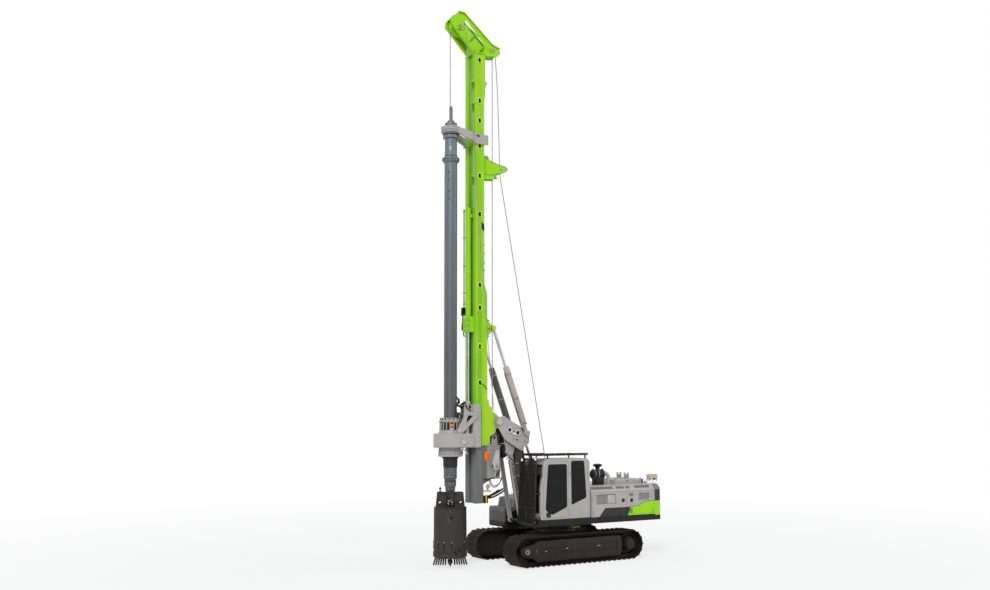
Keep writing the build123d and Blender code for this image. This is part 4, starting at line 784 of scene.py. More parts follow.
def pierced_plate(outline, holes, thick):
    """A flat sheet with openings, thickened by a vector."""
    bm = bmesh.new()
    for loop in (outline, *holes):
        corners = [bm.verts.new(p) for p in loop]
        for pair in zip(corners, corners[1:] + corners[:1]):
            bm.edges.new(pair)
    bmesh.ops.triangle_fill(bm, use_beauty=True, edges=bm.edges[:])
    return thicken(bm, bm.faces[:], thick)


def seal(outline, width, thick):
    """A rubber ring just inside an outline."""
    bm = bmesh.new()
    face = bm.faces.new([bm.verts.new(p) for p in outline])
    ring_faces = bmesh.ops.inset_region(bm, faces=[face], thickness=width, use_even_offset=True,
                                        use_boundary=True)["faces"]
    bmesh.ops.delete(bm, geom=[f for f in bm.faces if f not in ring_faces], context="FACES")
    return thicken(bm, bm.faces[:], thick)


def circle(place, radius, axis, sides=20):
    """Points round a circle, for an outline or a hole."""
    turn = Vector(axis).to_track_quat("Z", "Y").to_matrix()
    angles = [2 * pi * n / sides for n in range(sides)]
    return [Vector(place) + turn @ Vector((radius * cos(a), radius * sin(a), 0)) for a in angles]


# %% [markdown]
# ## Cab sides
#
# The cab's near side is two pressed skins over the frame: the quarter behind the door and
# the door itself. Their panes are bonded into rounded openings and edged with rubber.

# %% Cab skins and panes
SKIN_Y = 1.3805


def on_side(points, radius=0.055):
    """An outline on the cab's near side, from its (x, z) corners."""
    return rounded([at(x, SKIN_Y, z) for x, z in points], radius)


QUARTER = on_side([(-0.402, 1.378), (0.392, 1.378), (0.392, 3.165), (-0.312, 3.165),
                   (-0.402, 3.075)], 0.01)
QUARTER_PANE = on_side([(-0.27, 1.98), (0.30, 1.775), (0.30, 3.11), (-0.19, 3.11)])
DOOR = on_side([(0.402, 1.422), (1.328, 1.422), (1.328, 2.25), (1.223, 2.98), (1.128, 3.088),
                (0.402, 3.088)], 0.01)
DOOR_PANE = on_side([(0.466, 1.725), (1.01, 1.505), (1.26, 1.65), (1.20, 2.47), (1.155, 3.02),
                     (0.466, 3.02)])
for name, body, skin, pane in (("cab_quarter_skin", "house", QUARTER, QUARTER_PANE),
                               ("cab_door_skin", "cab_door", DOOR, DOOR_PANE)):
    sheet = Piece(name, body, "pale", "rubber")
    sheet.add(pierced_plate(skin, [pane], (0, 0.005, 0)), "pale")
    sheet.add(seal(pane, 0.030, (0, 0.009, 0)), "rubber").done("house_grey")
    glass = Piece(name.replace("skin", "pane"), body,
                  "glass").add(plate(pane, (0, 0.002, 0), 0)).done("glass")
    if body == "cab_door":
        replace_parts(glass, "cab_door_glass")

# %% [markdown]
# ## Air cleaner and outlet bend
#
# A mushroom cap stands on a banded canister that lies along the hood. The outlet bend is a
# quarter ring: a circle spun about an axis beside it.

# %% Air cleaner and outlet bend
CLEANER = at(-1.34, 0.56, 2.63)
canister = Piece("air_cleaner_body", "house", "black")
canister.add(turned_shape([(0, -0.23), (0.125, -0.23), (0.14, -0.215), (0.14, 0.215), (0.125, 0.23),
                           (0, 0.23)], CLEANER, (1, 0, 0), 36))
for band in (0.18, 0.04, -0.18):
    canister.add(turned_shape([(0.138, -0.02), (0.156, -0.018), (0.156, 0.018), (0.138, 0.02)],
                              CLEANER + Vector((band, 0, 0)), (1, 0, 0), 36))
cap = [(0, 0), (0.07, 0), (0.07, 0.225), (0.085, 0.225), (0.14, 0.27), (0.15, 0.295),
       (0.145, 0.315), (0.06, 0.335), (0, 0.335)]
canister.add(turned_shape(cap, CLEANER, sides=36))
canister.add(bar(CLEANER + Vector((-0.17, -0.11, -0.33)), CLEANER + Vector((0.15, 0.11, -0.10)),
                 0.008))
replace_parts(canister.done("guard_black"), "air_cleaner")
bend = Piece("outlet_bend", "house", "beige")
elbow = bmesh.new()
bmesh.ops.create_circle(elbow, segments=24, radius=0.058)
bmesh.ops.rotate(elbow, cent=(0, 0, 0), matrix=Matrix.Rotation(pi / 2, 3, "Y"), verts=elbow.verts)
bmesh.ops.spin(elbow, geom=elbow.edges[:] + elbow.verts[:], cent=(0, 0, -0.15), axis=(0, 1, 0),
               angle=-pi / 2, steps=10)
bmesh.ops.recalc_face_normals(elbow, faces=elbow.faces)
bmesh.ops.translate(elbow, vec=CLEANER + Vector((-0.285, 0, 0.03)), verts=elbow.verts)
bend.add(elbow)
bend.add(rod(CLEANER + Vector((-0.23, 0, 0.03)), CLEANER + Vector((-0.29, 0, 0.03)), 0.058,
             sides=24))
bend.add(rod(at(-1.775, 0.56, 2.29), at(-1.775, 0.56, 2.512), 0.058, sides=24))
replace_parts(bend.done("guard_black"), "exhaust")

# %% [markdown]
# ## Bucket, its gate and the cone
#
# The barrel is turned, open below and slightly conical. Two pierced plates with a notch hold
# the bar's square foot, and the bottom swings on a pin with six splayed teeth on each side.
# All of it hangs turned a little to the right of straight ahead.

# %% Bucket, gate and rubber cone
AXIS = at(3.77, 0, 0)                      # the kelly bar's upright axis
TURN = Matrix.Translation(AXIS) @ Matrix.Rotation(radians(-25), 4, "Z")


def hung(shape):
    """A shape drawn along the bucket's own axes, turned with it and put under the bar."""
    bmesh.ops.transform(shape, matrix=TURN, verts=shape.verts)
    return shape


barrel = Piece("bucket_barrel", "kelly_inner", "bucket", "black")
wall = [(0.470, 0.472), (0.495, 0.472), (0.4865, 1.742), (0.4865, 1.775), (0.4805, 1.78), (0, 1.78),
        (0, 1.75), (0.461, 1.75), (0.470, 0.472)]
barrel.add(turned_shape(wall, AXIS, sides=72), "bucket")
barrel.add(hung(bar((-0.13, -0.13, 1.78), (0.13, 0.13, 2.28), 0.006)), "bucket")
cheek = [(-0.43, 1.78), (0.43, 1.78), (0.385, 2.22), (0.125, 2.22), (0.125, 1.93), (-0.125, 1.93),
         (-0.125, 2.22), (-0.385, 2.22)]
for y in (-0.15, 0.13):
    eyes = [circle((x, y, 1.915), 0.038, (0, 1, 0)) for x in (-0.31, 0.31)]
    barrel.add(hung(pierced_plate([Vector((x, y, z)) for x, z in cheek], eyes, (0, 0.02, 0))),
               "bucket")
for x in (-0.365, 0.345):
    barrel.add(hung(bar((x, -0.14, 1.78), (x + 0.02, 0.14, 2.19), 0.003)), "bucket")
for turn in ring(12, AXIS, start=15):
    barrel.add(bar(AXIS + Vector((0.485, -0.014, 0.485)), AXIS + Vector((0.503, 0.014, 0.635)),
                   0.003), "bucket", [turn])
vent = Vector((cos(radians(65)), sin(radians(65)), 0))
barrel.add(rod(AXIS + vent * 0.478 + Vector((0, 0, 1.50)),
               AXIS + vent * 0.4935 + Vector((0, 0, 1.50)), 0.060, sides=24), "black")
hinge_y, hinge_z = 0.549, 0.472
for x in (-0.075, 0.075):
    ear = [(0.477, 0.484), (0.515, 0.477), (0.524, 0.447), (0.549, 0.437), (0.583, 0.467),
           (0.579, 0.512), (0.477, 0.682)]
    barrel.add(plate([AXIS + Vector((x - 0.014, y, z)) for y, z in ear], (0.028, 0, 0)), "bucket")
barrel.add(rod(AXIS + Vector((-0.095, hinge_y, hinge_z)), AXIS + Vector((0.095, hinge_y, hinge_z)),
               0.018, sides=16), "bucket")
barrel = barrel.done("bucket_steel")
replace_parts(barrel, "bucket")

gate = Piece("bucket_bottom", "bucket_gate", "bucket", "machined")
gate.add(turned_shape([(0, 0.30), (0.467, 0.30), (0.507, 0.345), (0.507, 0.468), (0.435, 0.468),
                       (0.435, 0.36), (0, 0.36), (0, 0.30)], AXIS, sides=72), "bucket")
arm = [(0.487, 0.35), (0.559, 0.38), (0.581, 0.472), (0.549, 0.504), (0.517, 0.472), (0.487, 0.463)]
gate.add(plate([AXIS + Vector((-0.052, y, z)) for y, z in arm], (0.104, 0, 0), 0.006), "bucket")
for side in (-1, 1):
    for number in range(6):
        root, splay = 0.13 + number * 0.06, 0.02 + number * 0.011
        tooth = [(root - 0.026, 0.305), (root + 0.026, 0.305), (root + splay + 0.012, 0.095),
                 (root + splay - 0.004, 0.06), (root + splay - 0.034, 0.09)]
        gate.add(hung(plate([(side * x, -0.028, z) for x, z in tooth], (0, 0.056, 0), 0.004)),
                 "machined")
gate.add(turned_shape([(0, 0.02), (0.08, 0.145), (0.085, 0.20), (0.055, 0.24), (0.055, 0.305),
                       (0, 0.305)], AXIS, sides=8), "machined")
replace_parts(gate.done("bucket_steel"), "bucket_gate")

cone = Piece("rubber_cone", "drive_sleeve", "cone_rubber")
cone.add(turned_shape([(0.2005, 2.95), (0.2095, 2.95), (0.2095, 2.975), (0.2205, 3.21),
                       (0.2455, 3.24), (0.2455, 3.265), (0.2005, 3.265), (0.2005, 2.95)], AXIS,
                      sides=48))
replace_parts(cone.done("kelly_grey"), "drive_sleeve")

# %% [markdown]
# ## Cab
#
# The cab's shell, panes and guards come from CAD. What makes it read as a cab is small:
# black rubber round every pane, a round door handle, locks, a mirror, lamps under the
# roof guard and a dense grid in the front guard. A seal follows its pane exactly when it
# is made from the pane's own face: inset it, drop the middle and thicken the ring.

# %% Window seals
def pane_seals(name, node, body, width=0.034, proud=0.028):
    """A rubber ring on the outer face of each flat pane of a node."""
    bm = bmesh.new()
    bm.from_mesh(nodes[node].data)
    bmesh.ops.remove_doubles(bm, verts=bm.verts, dist=1e-5)
    bmesh.ops.dissolve_limit(bm, angle_limit=radians(1), verts=bm.verts, edges=bm.edges)
    cab_middle = Vector(sum((Vector(corner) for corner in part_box("cab_shell")), Vector())) / 2
    outer = [f for f in bm.faces if f.calc_area() > 0.15
             and f.normal.dot(f.calc_center_median() - cab_middle) > 0.2
             and abs(f.normal.z) < 0.4 and f.normal.y < 0.5]
    facing = [f.normal.copy() for f in outer]
    bmesh.ops.delete(bm, geom=[f for f in bm.faces if f not in outer], context="FACES")
    rings = []
    for pane, normal in zip(outer, facing):
        made = bmesh.ops.inset_region(bm, faces=[pane], thickness=width, use_even_offset=True,
                                      use_boundary=True)
        rings.append((made["faces"], normal))
    bmesh.ops.delete(bm, geom=outer, context="FACES")
    for faces, normal in rings:
        thicken(bm, faces, normal * proud)
    Piece(name, body, "rubber").add(bm).done("guard_black")


pane_seals("cab_window_seals", "cab_glass", "house")

# %% [markdown]
# The door has a round recessed handle with a paddle across it. The locks and the latch
# between the two side windows are turned and flat parts of the same hardware.

# %% Door hardware
SIDE = (0, 1, 0)                          # the direction that the near side's panels face
handle = Piece("door_handle", "cab_door", "black", "rubber", "bright")
dish = [(0, -0.004), (0.05, -0.004), (0.056, 0.012), (0.072, 0.016), (0.08, 0.006), (0.08, -0.01),
        (0, -0.01)]
handle.add(turned_shape(dish, at(1.158, 1.396, 1.514), SIDE, 28))
handle.add(bar(at(1.105, 1.396, 1.498), at(1.21, 1.416, 1.532), 0.008), "rubber")
handle.add(turned_shape(knob(0.014, 0.012, 0.006), at(1.158, 1.416, 1.514), SIDE, 12), "bright")
handle.done("guard_black")
locks = Piece("cab_latches", "house", "bright", "black")
for x, z in ((0.299, 1.48), (-0.355, 1.448)):
    locks.add(turned_shape(knob(0.026, 0.022, 0.01), at(x, 1.379, z), SIDE, 16), "bright")
    locks.add(bar(at(x - 0.014, 1.386, z - 0.003), at(x + 0.014, 1.391, z + 0.003), 0.001), "black")
locks.add(plate([at(0.30, 1.379, 2.70), at(0.346, 1.379, 2.70), at(0.34, 1.379, 2.79),
                 at(0.306, 1.379, 2.79)],
                (0, 0.02, 0), 0.006), "bright")
locks.done("house_grey")

# %% [markdown]
# The front guard is a rack of upright bars. Seen at a slant it looks nearly solid, because
# a second set of thin bars and cross wires stands close behind the first. The grid is drawn
# upright and then leaned forward about the guard's top edge, as the rack itself is.

# %% Front guard grid, lamps and mirror
hinge_line = at(1.53, 0, 3.20)
lean = (Matrix.Translation(hinge_line) @ Matrix.Rotation(radians(-3), 4, "Y")
        @ Matrix.Translation(-hinge_line))
grid = Piece("guard_grid", "house", "guard", "black")
y0, y1, z0, z1 = 0.47, 1.35, 1.24, 3.19
grid.add(rod(at(1.522, y0, z0), at(1.522, y0, z1), 0.0045, sides=6), "guard",
         [lean @ m for m in row(44, (0, (y1 - y0) / 43, 0))])
grid.add(rod(at(1.530, y0, z0), at(1.530, y1, z0), 0.005, sides=6), "guard",
         [lean @ m for m in row(17, (0, 0, (z1 - z0) / 16))])
for y in (y0, y1):
    grid.add(rod(at(1.556, y, z0 - 0.01), at(1.556, y, z1 + 0.01), 0.017, sides=12), "guard",
             [lean])
for z in (z0 + 0.01, 1.72, 2.16, 2.76, z1):
    grid.add(rod(at(1.562, y0, z), at(1.562, y1, z), 0.014, sides=10), "guard", [lean])
grid.add(tube([at(1.58, 1.24, 2.92), at(1.60, 1.16, 2.5), at(1.63, 1.0, 1.9), at(1.66, 0.93, 1.3)],
              0.011, steps=6), "guard")
for z in (z0 - 0.01, z1 - 0.03):
    grid.add(bar(at(1.53, y0 - 0.01, z), at(1.56, y1 + 0.01, z + 0.04), 0.004), "guard", [lean])
grid.add(bar(at(1.534, y0, z0), at(1.556, y0 + 0.016, z1), 0.003), "guard",
         [lean @ m for m in row(12, (0, (y1 - y0 - 0.016) / 11, 0))])
for y in (y0 + 0.01, y1 - 0.01):
    for z, reach in ((1.44, 1.622), (2.16, 1.585)):
        grid.add(bar(at(1.42, y - 0.015, z - 0.015), at(reach + 0.015, y + 0.015, z + 0.015),
                     0.003), "guard")
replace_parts(grid.done("guard_black"), "cab_front_guard")

lamps = Piece("work_lamps", "house", "black", "lamp_glass", "bright")
for x, y, z in ((1.60, 0.62, 3.145), (1.60, 1.36, 3.19)):
    cup = [(0, -0.07), (0.03, -0.07), (0.05, -0.045), (0.058, 0), (0.058, 0.012), (0.05, 0.012),
           (0.048, 0.002), (0, 0.002)]
    lamps.add(turned_shape(cup, at(x, y, z), (1, 0.4, 0), 20), "black")
    lamps.add(turned_shape([(0, 0.010), (0.03, 0.008), (0.047, 0.003), (0.047, -0.002),
                            (0, -0.002)], at(x, y, z), (1, 0.4, 0), 20), "lamp_glass")
    lamps.add(bar(at(x - 0.05, y - 0.012, z + 0.04), at(x - 0.02, y + 0.012, z + 0.125), 0.003),
              "black")
lamps.done("guard_black")

mirror = Piece("cab_mirror", "house", "black", "mirror_glass")
body = bar((-0.02, -0.075, -0.125), (0.03, 0.075, 0.125), 0.0)
soften(body, 0.028, segments=3)
face = bar((-0.026, -0.06, -0.108), (-0.0195, 0.06, 0.108), 0.002)
turn = Matrix.Translation(at(1.48, 1.385,
                             2.82)) @ Matrix.Rotation(radians(28), 4,
                                                      "Z") @ Matrix.Rotation(radians(8), 4, "X")
mirror.add(body, "black", [turn]).add(face, "mirror_glass", [turn])
mirror.add(tube([at(1.36, 1.37, 3.0), at(1.42, 1.375, 3.03), at(1.47, 1.38, 3.0),
                 at(1.48, 1.385, 2.90)], 0.009), "black")
mirror.done("guard_black")

# %% [markdown]
# A thin rail runs along the outer edge of the roof guard, and a round lamp is let into the
# sill ahead of the door.

# %% Roof rail, roof plates and sill lamp
roof = Piece("roof_rail", "house", "guard", "black", "bright")
roof.add(tube([at(0.68, 1.362, 3.338), at(0.2, 1.362, 3.338), at(-0.36, 1.362, 3.332)], 0.012,
              steps=3), "guard")
roof.add(bar(at(0.66, 1.33, 3.318), at(1.47, 1.376, 3.346), 0.006), "guard")
roof.add(bar(at(0.66, 0.438, 3.318), at(1.47, 0.47, 3.342), 0.006), "guard")
roof.add(bar(at(1.44, 0.44, 3.272), at(1.485, 1.372, 3.34), 0.008), "guard")
roof.add(bar(at(-0.395, 0.60, 3.29), at(-0.345, 1.30, 3.322), 0.006), "black")
roof.add(rod(at(0.70, 0.46, 3.316), at(0.70, 1.35, 3.316), 0.008, sides=6), "guard",
         row(18, (0.043, 0, 0)))
for x in (-0.3, 0.1, 0.5, 0.9, 1.3):
    roof.add(bolt(at(x, 1.372, 3.30), SIDE, 0.011), "bright")
for y in (0.44, 1.33):
    roof.add(bar(at(-0.36, y, 3.275), at(1.46, y + 0.04, 3.325), 0.005), "black")
for number in range(9):
    roof.add(bar(at(-0.36 + 0.2225 * number, 0.44, 3.285), at(-0.32 + 0.2225 * number, 1.37, 3.315),
                 0.003), "black")
for x in (-0.29, 1.12):
    for y in (0.445, 1.315):
        roof.add(bar(at(x, y, 3.181), at(x + 0.04, y + 0.03, 3.28), 0.003), "black")
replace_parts(roof.done("guard_black"), "cab_roof_guard")
sill = Piece("sill_lamp", "house", "black", "lamp_glass")
sill.add(turned_shape([(0, 0), (0.04, 0), (0.04, 0.02), (0.03, 0.03), (0, 0.03)],
                      at(1.532, 1.28, 1.30), (1, 0, 0), 20), "black")
sill.add(turned_shape([(0, 0.036), (0.02, 0.034), (0.028, 0.028), (0, 0.028)],
                      at(1.532, 1.28, 1.30), (1, 0, 0), 20), "lamp_glass")
sill.done("guard_black")

# %% [markdown]
# ## Operator's seat
#
# The seat's solids stand in for collision only. A real cushion is foam under tight cloth:
# its top is crowned, its sides pull in between the corners, and sewn channels cross it.
# A cube is cut into a fine grid, each point is moved to that form, and a subdivision
# modifier smooths it.

# %% Padded seat
def cushion(name, low, high, crown, channels, across_axis=1, lean_back=0.0):
    """A sewn pad between two corners, with its grooves across the given axis."""
    bm = bmesh.new()
    bmesh.ops.create_cube(bm, size=2)
    bmesh.ops.subdivide_edges(bm, edges=bm.edges[:], cuts=11, use_grid_fill=True)
    low, high = Vector(low), Vector(high)
    half, middle = (high - low) / 2, (high + low) / 2
    for vert in bm.verts:
        p = vert.co.copy()
        rim = [1 - 0.07 * sum(p[b] ** 4 for b in range(3) if b != a) for a in range(3)]
        puff = crown * (1 - p.x ** 2) * (1 - p.y ** 2)
        p = Vector(p[a] * rim[a] for a in range(3))
        groove = 0.0
        for number in range(channels):
            spot = (number + 1) / (channels + 1) * 2 - 1
            groove += 0.010 * max(0, 1 - abs(vert.co[across_axis] - spot) / 0.12)
        place = Vector(p[a] * half[a] for a in range(3))
        thin = min(range(3), key=lambda a: half[a])
        place[thin] += (puff - groove) * (1 if vert.co[thin] > 0 else -0.4) * abs(vert.co[thin])
        vert.co = place + middle
        vert.co.x -= lean_back * (vert.co.z - low.z)
    mesh = bpy.data.meshes.new(name)
    bm.to_mesh(mesh)
    bm.free()
    mesh.shade_smooth()
    mesh.materials.append(finish["seat_cloth"])
    made = in_scene(name, mesh)
    soft = made.modifiers.new("soft", "SUBSURF")
    soft.levels = soft.render_levels = 1
    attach(made, "house")
    return made


seat_y = 0.915
seat = cushion("seat_cushion", at(-0.02, seat_y - 0.25, 1.70), at(0.48, seat_y + 0.25, 1.83), 0.025,
               2)
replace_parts(seat, "operator_seat")
cushion("seat_back", at(-0.10, seat_y - 0.235, 1.80), at(0.03, seat_y + 0.235, 2.38), 0.02, 2, 1,
        0.10)
cushion("head_rest", at(-0.155, seat_y - 0.13, 2.40), at(-0.06, seat_y + 0.13, 2.50), 0.012, 0)
controls = Piece("seat_base_and_levers", "house", "black", "rubber", "bright")
controls.add(bar(at(0.0, seat_y - 0.18, 1.362), at(0.40, seat_y + 0.18, 1.46), 0.012), "black")
controls.add(bar(at(0.05, seat_y - 0.14, 1.45), at(0.35, seat_y + 0.14, 1.60), 0.02), "rubber")
controls.add(bar(at(0.0, seat_y - 0.2, 1.60), at(0.42, seat_y + 0.2, 1.69), 0.012), "black")
for side in (-1, 1):
    y = seat_y + side * 0.315
    controls.add(bar(at(0.10, y - 0.05, 1.69), at(0.56, y + 0.05, 1.95), 0.02), "black")
    controls.add(rod(at(0.46, y, 1.95), at(0.49, y, 2.09), 0.010, sides=10), "bright")
    controls.add(turned_shape([(0, 0), (0.022, 0.01), (0.027, 0.05), (0.018, 0.09), (0, 0.1)],
                              at(0.485, y, 2.07), sides=14), "rubber")
    controls.add(rod(at(0.98, seat_y + side * 0.1, 1.362), at(0.93, seat_y + side * 0.1, 1.78),
                     0.012, sides=10), "bright")
    controls.add(bar(at(0.90, seat_y + side * 0.1 - 0.05, 1.37),
                     at(1.10, seat_y + side * 0.1 + 0.05, 1.40), 0.006), "rubber")
controls.add(bar(at(1.10, 0.55, 1.95), at(1.14, 0.80, 2.13), 0.01), "black")
controls.add(rod(at(1.12, 0.53, 1.37), at(1.12, 0.60, 1.97), 0.012, sides=8), "black")
controls.done("seat_fabric")

# %% [markdown]
# ## Engine house
#
# Expanded metal closes the side doors' air openings: thin bars that slant both ways, each
# cut to the opening. A door also has a square recessed latch in a pale ring. The slope
# above the doors is slotted in four groups.

# %% Door lattices, latches and louvres
DOOR_FACE = 1.38                          # the doors' outer faces, from the middle
OPENINGS = {"front": [(-1.423, -0.661, 1.745, 2.050)],
            "rear": [(-2.140, -1.967, 1.944, 2.042), (-2.797, -2.343, 1.821, 2.042)]}
LATCHES = {"front": (-1.713, 1.836), "rear": (-2.052, 1.828)}


def lattice_lines(x0, x1, z0, z1, pitch):
    """Slanting lines both ways across a rectangle, as pairs of (x, z) ends."""
    count = int((x1 - x0 + z1 - z0) / pitch)
    for number in range(1, count + 1):
        along = number * pitch            # where the line would leave the lower edge
        left = max(0, along - (z1 - z0))
        right = min(along, x1 - x0)
        if right - left > 0.01:
            yield (x0 + left, z0 + along - left), (x0 + right, z0 + along - right)
            yield (x0 + left, z1 - along + left), (x0 + right, z1 - along + right)


for side, mirrored in zip(("left", "right"), MIRRORED):
    for door, openings in OPENINGS.items():
        panel = Piece(f"{door}_{side}_door_fittings", f"{door}_door_{side}", "cap_pale", "black",
                      "bright", "dark_grey")
        for x0, x1, z0, z1 in openings:
            panel.add(bar(at(x0 - 0.01, 1.341, z0 - 0.01), at(x1 + 0.01, 1.345, z1 + 0.01), 0),
                      "black", [mirrored])
            for start, end in lattice_lines(x0, x1, z0, z1, 0.052):
                panel.add(rod(at(start[0], 1.356, start[1]), at(end[0], 1.356, end[1]), 0.0055,
                              sides=4), "cap_pale", [mirrored])
            if door == "front":
                panel.add(bar(at(x0 + 0.02, 1.350, z0 + 0.02), at(x0 + 0.30, 1.353, z1 - 0.03), 0),
                          "cap_pale", [mirrored])
        x, z = LATCHES[door]
        ringed = [(0.070, 0), (0.098, 0), (0.098, 0.008), (0.090, 0.012), (0.074, 0.012),
                  (0.070, 0.006)]
        panel.add(turned_shape(ringed, at(x, DOOR_FACE, z), SIDE, 28), "cap_pale", [mirrored])
        panel.add(bar(at(x - 0.066, 1.378, z - 0.062), at(x + 0.066, 1.386, z + 0.062), 0.003),
                  "black", [mirrored])
        panel.add(bar(at(x - 0.032, 1.386, z - 0.036), at(x + 0.032, 1.395, z + 0.004), 0.004),
                  "black", [mirrored])
        panel.add(turned_shape(knob(0.009, 0.008, 0.004), at(x, 1.386, z + 0.028), SIDE, 12),
                  "bright", [mirrored])
        if door == "rear":
            for x in (-1.99, -2.035, -2.08):
                outline = [at(x, 1.379, 1.42), at(x + 0.02, 1.379, 1.42),
                           at(x + 0.02, 1.379, 1.585), at(x, 1.379, 1.585)]
                panel.add(plate(outline, (0, 0.007, 0), 0.002), "dark_grey", [mirrored])
        panel.done("house_grey")

louvres = Piece("shoulder_louvres", "house", "black", "pale", "bright")
slope = Vector((0, -0.11, 0.17)).normalized()        # up the slope above the doors
out = Vector((0, 0.17, 0.11)).normalized()
for rear, front in ((-1.357, -0.494), (-1.797, -1.476), (-2.032, -1.858), (-2.836, -2.22)):
    count = int((front - rear) / 0.050)
    for number in range(count):
        foot = at(rear + number * (front - rear) / count, DOOR_FACE, 2.13) + slope * 0.085
        corners = [foot, foot + Vector((0.034, 0, 0)), foot + Vector((0.052, 0, 0)) + slope * 0.090,
                   foot + Vector((0.018, 0, 0)) + slope * 0.090]
        louvres.both(plate(corners, out * 0.004, 0.001), "black")
        lip = [corners[1], corners[1] + Vector((0.007, 0, 0)), corners[2] + Vector((0.007, 0, 0)),
               corners[2]]
        louvres.both(plate(lip, out * 0.009, 0.0015), "pale")
for x in (-0.49, -1.86, -2.985):
    for z in (1.40, 1.62, 1.86, 2.09):
        louvres.both(bolt(at(x, DOOR_FACE, z), SIDE, 0.008), "bright")
louvres.done("house_grey")

# %% [markdown]
# On the roof of the house: bands and a drain on the air cleaner, clamps on the outlet,
# bolts on the mast rest, a black grille at the raised cover's rear end and a beige rack on
# feet over the counterweight. Under the skirt hangs a small lime bracket.

# %% Roof fittings
cleaner = Piece("air_cleaner_fittings", "house", "black", "rubber", "bright", "beige")
x, y, z = -1.34, 0.56, 2.63
for band in (x + 0.18, x + 0.04, x - 0.18):
    cleaner.add(turned_shape(hoop(0.157, 0.163, -0.012, 0.012), at(band, y, z), (1, 0, 0), 36),
                "bright")
    cleaner.add(bar(at(band - 0.014, y - 0.02, z + 0.155), at(band + 0.014, y + 0.02, z + 0.185),
                    0.004), "bright")
cleaner.add(turned_shape([(0, 0.232), (0.12, 0.232), (0.135, 0.222), (0.135, 0.2), (0, 0.2)],
                         at(x, y, z), (1, 0, 0), 32), "rubber")
cleaner.add(turned_shape([(0.142, 0.292), (0.156, 0.292), (0.158, 0.302), (0.146, 0.309),
                          (0.142, 0.303)], at(x, y, z), sides=36), "rubber")
for turn in ring(12, at(x, y, z)):
    cleaner.add(rod(at(x + 0.09, y, z + 0.245), at(x + 0.135, y, z + 0.285), 0.005, sides=6),
                "bright", [turn])
cleaner.add(tube([at(x + 0.24, y - 0.05, z + 0.02), at(x + 0.34, y - 0.06, z),
                  at(x + 0.42, y - 0.1, z - 0.1), at(x + 0.44, y - 0.12, 2.30)], 0.05, 12),
            "rubber")
cleaner.add(tube([at(x + 0.20, y + 0.10, z - 0.04), at(x + 0.28, y + 0.14, z - 0.12),
                  at(x + 0.26, y + 0.14, 2.30)], 0.022, 8), "rubber")
cleaner.add(rod(at(x, y + 0.02, z - 0.16), at(x, y + 0.02, z - 0.13), 0.03, 0.03), "rubber")
for band in (-1.575, -1.61):
    cleaner.add(turned_shape(hoop(0.056, 0.064, -0.012, 0.012), at(band, y, 2.66), (1, 0, 0), 28),
                "bright")
cleaner.add(turned_shape([(0.059, 0), (0.11, 0), (0.11, 0.012), (0.059, 0.02)], at(-1.77, y, 2.30),
                         sides=28), "beige")
cleaner.add(tube([at(-1.52, y + 0.12, 2.30), at(-1.54, y + 0.12, 2.46), at(-1.62, y + 0.10, 2.52),
                  at(-1.66, y + 0.10, 2.30)], 0.02, 8), "beige")
cleaner.done("guard_black")

roof_bits = Piece("house_roof_fittings", "house", "pale", "black", "beige", "bright", "lime")
rear_grille = bar(at(-2.990, -0.30, 2.305), at(-2.979, 0.80, 2.432), 0.004)
roof_bits.add(rear_grille, "black")
roof_bits.add(bar(at(-2.996, -0.28, 2.325), at(-2.988, 0.78, 2.333), 0.001), "black",
              row(6, (0, 0, 0.018)))
roof_bits.add(bar(at(-3.0, 0.72, 2.31), at(-2.93, 0.83, 2.445), 0.008), "black")
roof_bits.add(turned_shape(knob(0.025, 0.022, 0.006), at(-2.33, 0.826, 2.40), SIDE, 20), "black")
for x in (-2.63, -2.57, -2.51):
    for y in (0.13, 0.51):
        roof_bits.add(bolt(at(x, y, 2.49 + abs(x + 2.57) * 0.9), SIDE, 0.017), "black")
for x in (-2.645, -2.495):
    for y in (0.20, 0.30, 0.40):
        roof_bits.add(bolt(at(x, y, 2.48), (0, 0, 1), 0.013), "bright")
for x, y in ((-2.93, -0.27), (-2.93, 0.77), (-1.90, -0.27), (-1.90, 0.77)):
    roof_bits.add(turned_shape([(0, 0), (0.03, 0), (0.03, 0.02), (0.022, 0.03), (0, 0.03)],
                               at(x, y, 2.459), sides=16), "bright")
rack = [at(-3.34, 1.15, 2.60), at(-3.34, 1.15, 2.42), at(-3.05, 1.15, 2.42), at(-3.05, 1.15, 2.60)]
for y in (0.0, -0.20):
    roof_bits.add(plate(rack, (0, -0.008, 0), 0.003), "beige", [Matrix.Translation((0, y, 0))])
roof_bits.add(bar(at(-3.34, 0.95, 2.585), at(-3.05, 1.15, 2.60), 0.003), "beige")
roof_bits.add(bar(at(-3.055, 0.95, 2.42), at(-3.047, 1.15, 2.60), 0.002), "beige")
for x in (-3.33, -3.08):
    for y in (0.97, 1.13):
        roof_bits.add(tube([at(x, y, 2.43), at(x + 0.02, y, 2.38), at(x + 0.06, y - 0.01, 2.285)],
                           0.009, 8, 4), "beige")
        roof_bits.add(turned_shape(hoop(0, 0.03, 0, 0.006), at(x + 0.06, y - 0.01, 2.290),
                                   sides=14), "black")
roof_bits.add(tube([at(-3.10, 1.04, 2.42), at(-3.04, 1.04, 2.36), at(-2.92, 1.0, 2.33),
                    at(-2.84, 0.98, 2.31)], 0.011, 8), "beige")
roof_bits.add(turned_shape([(0, 0), (0.035, 0), (0.032, 0.02), (0, 0.026)], at(-3.20, 1.151, 2.45),
                           SIDE, 16), "black")
roof_bits.add(bar(at(-1.80, -1.0, 2.295), at(-1.62, -0.82, 2.33), 0.01), "pale",
              row(2, (0, 0.35, 0)))
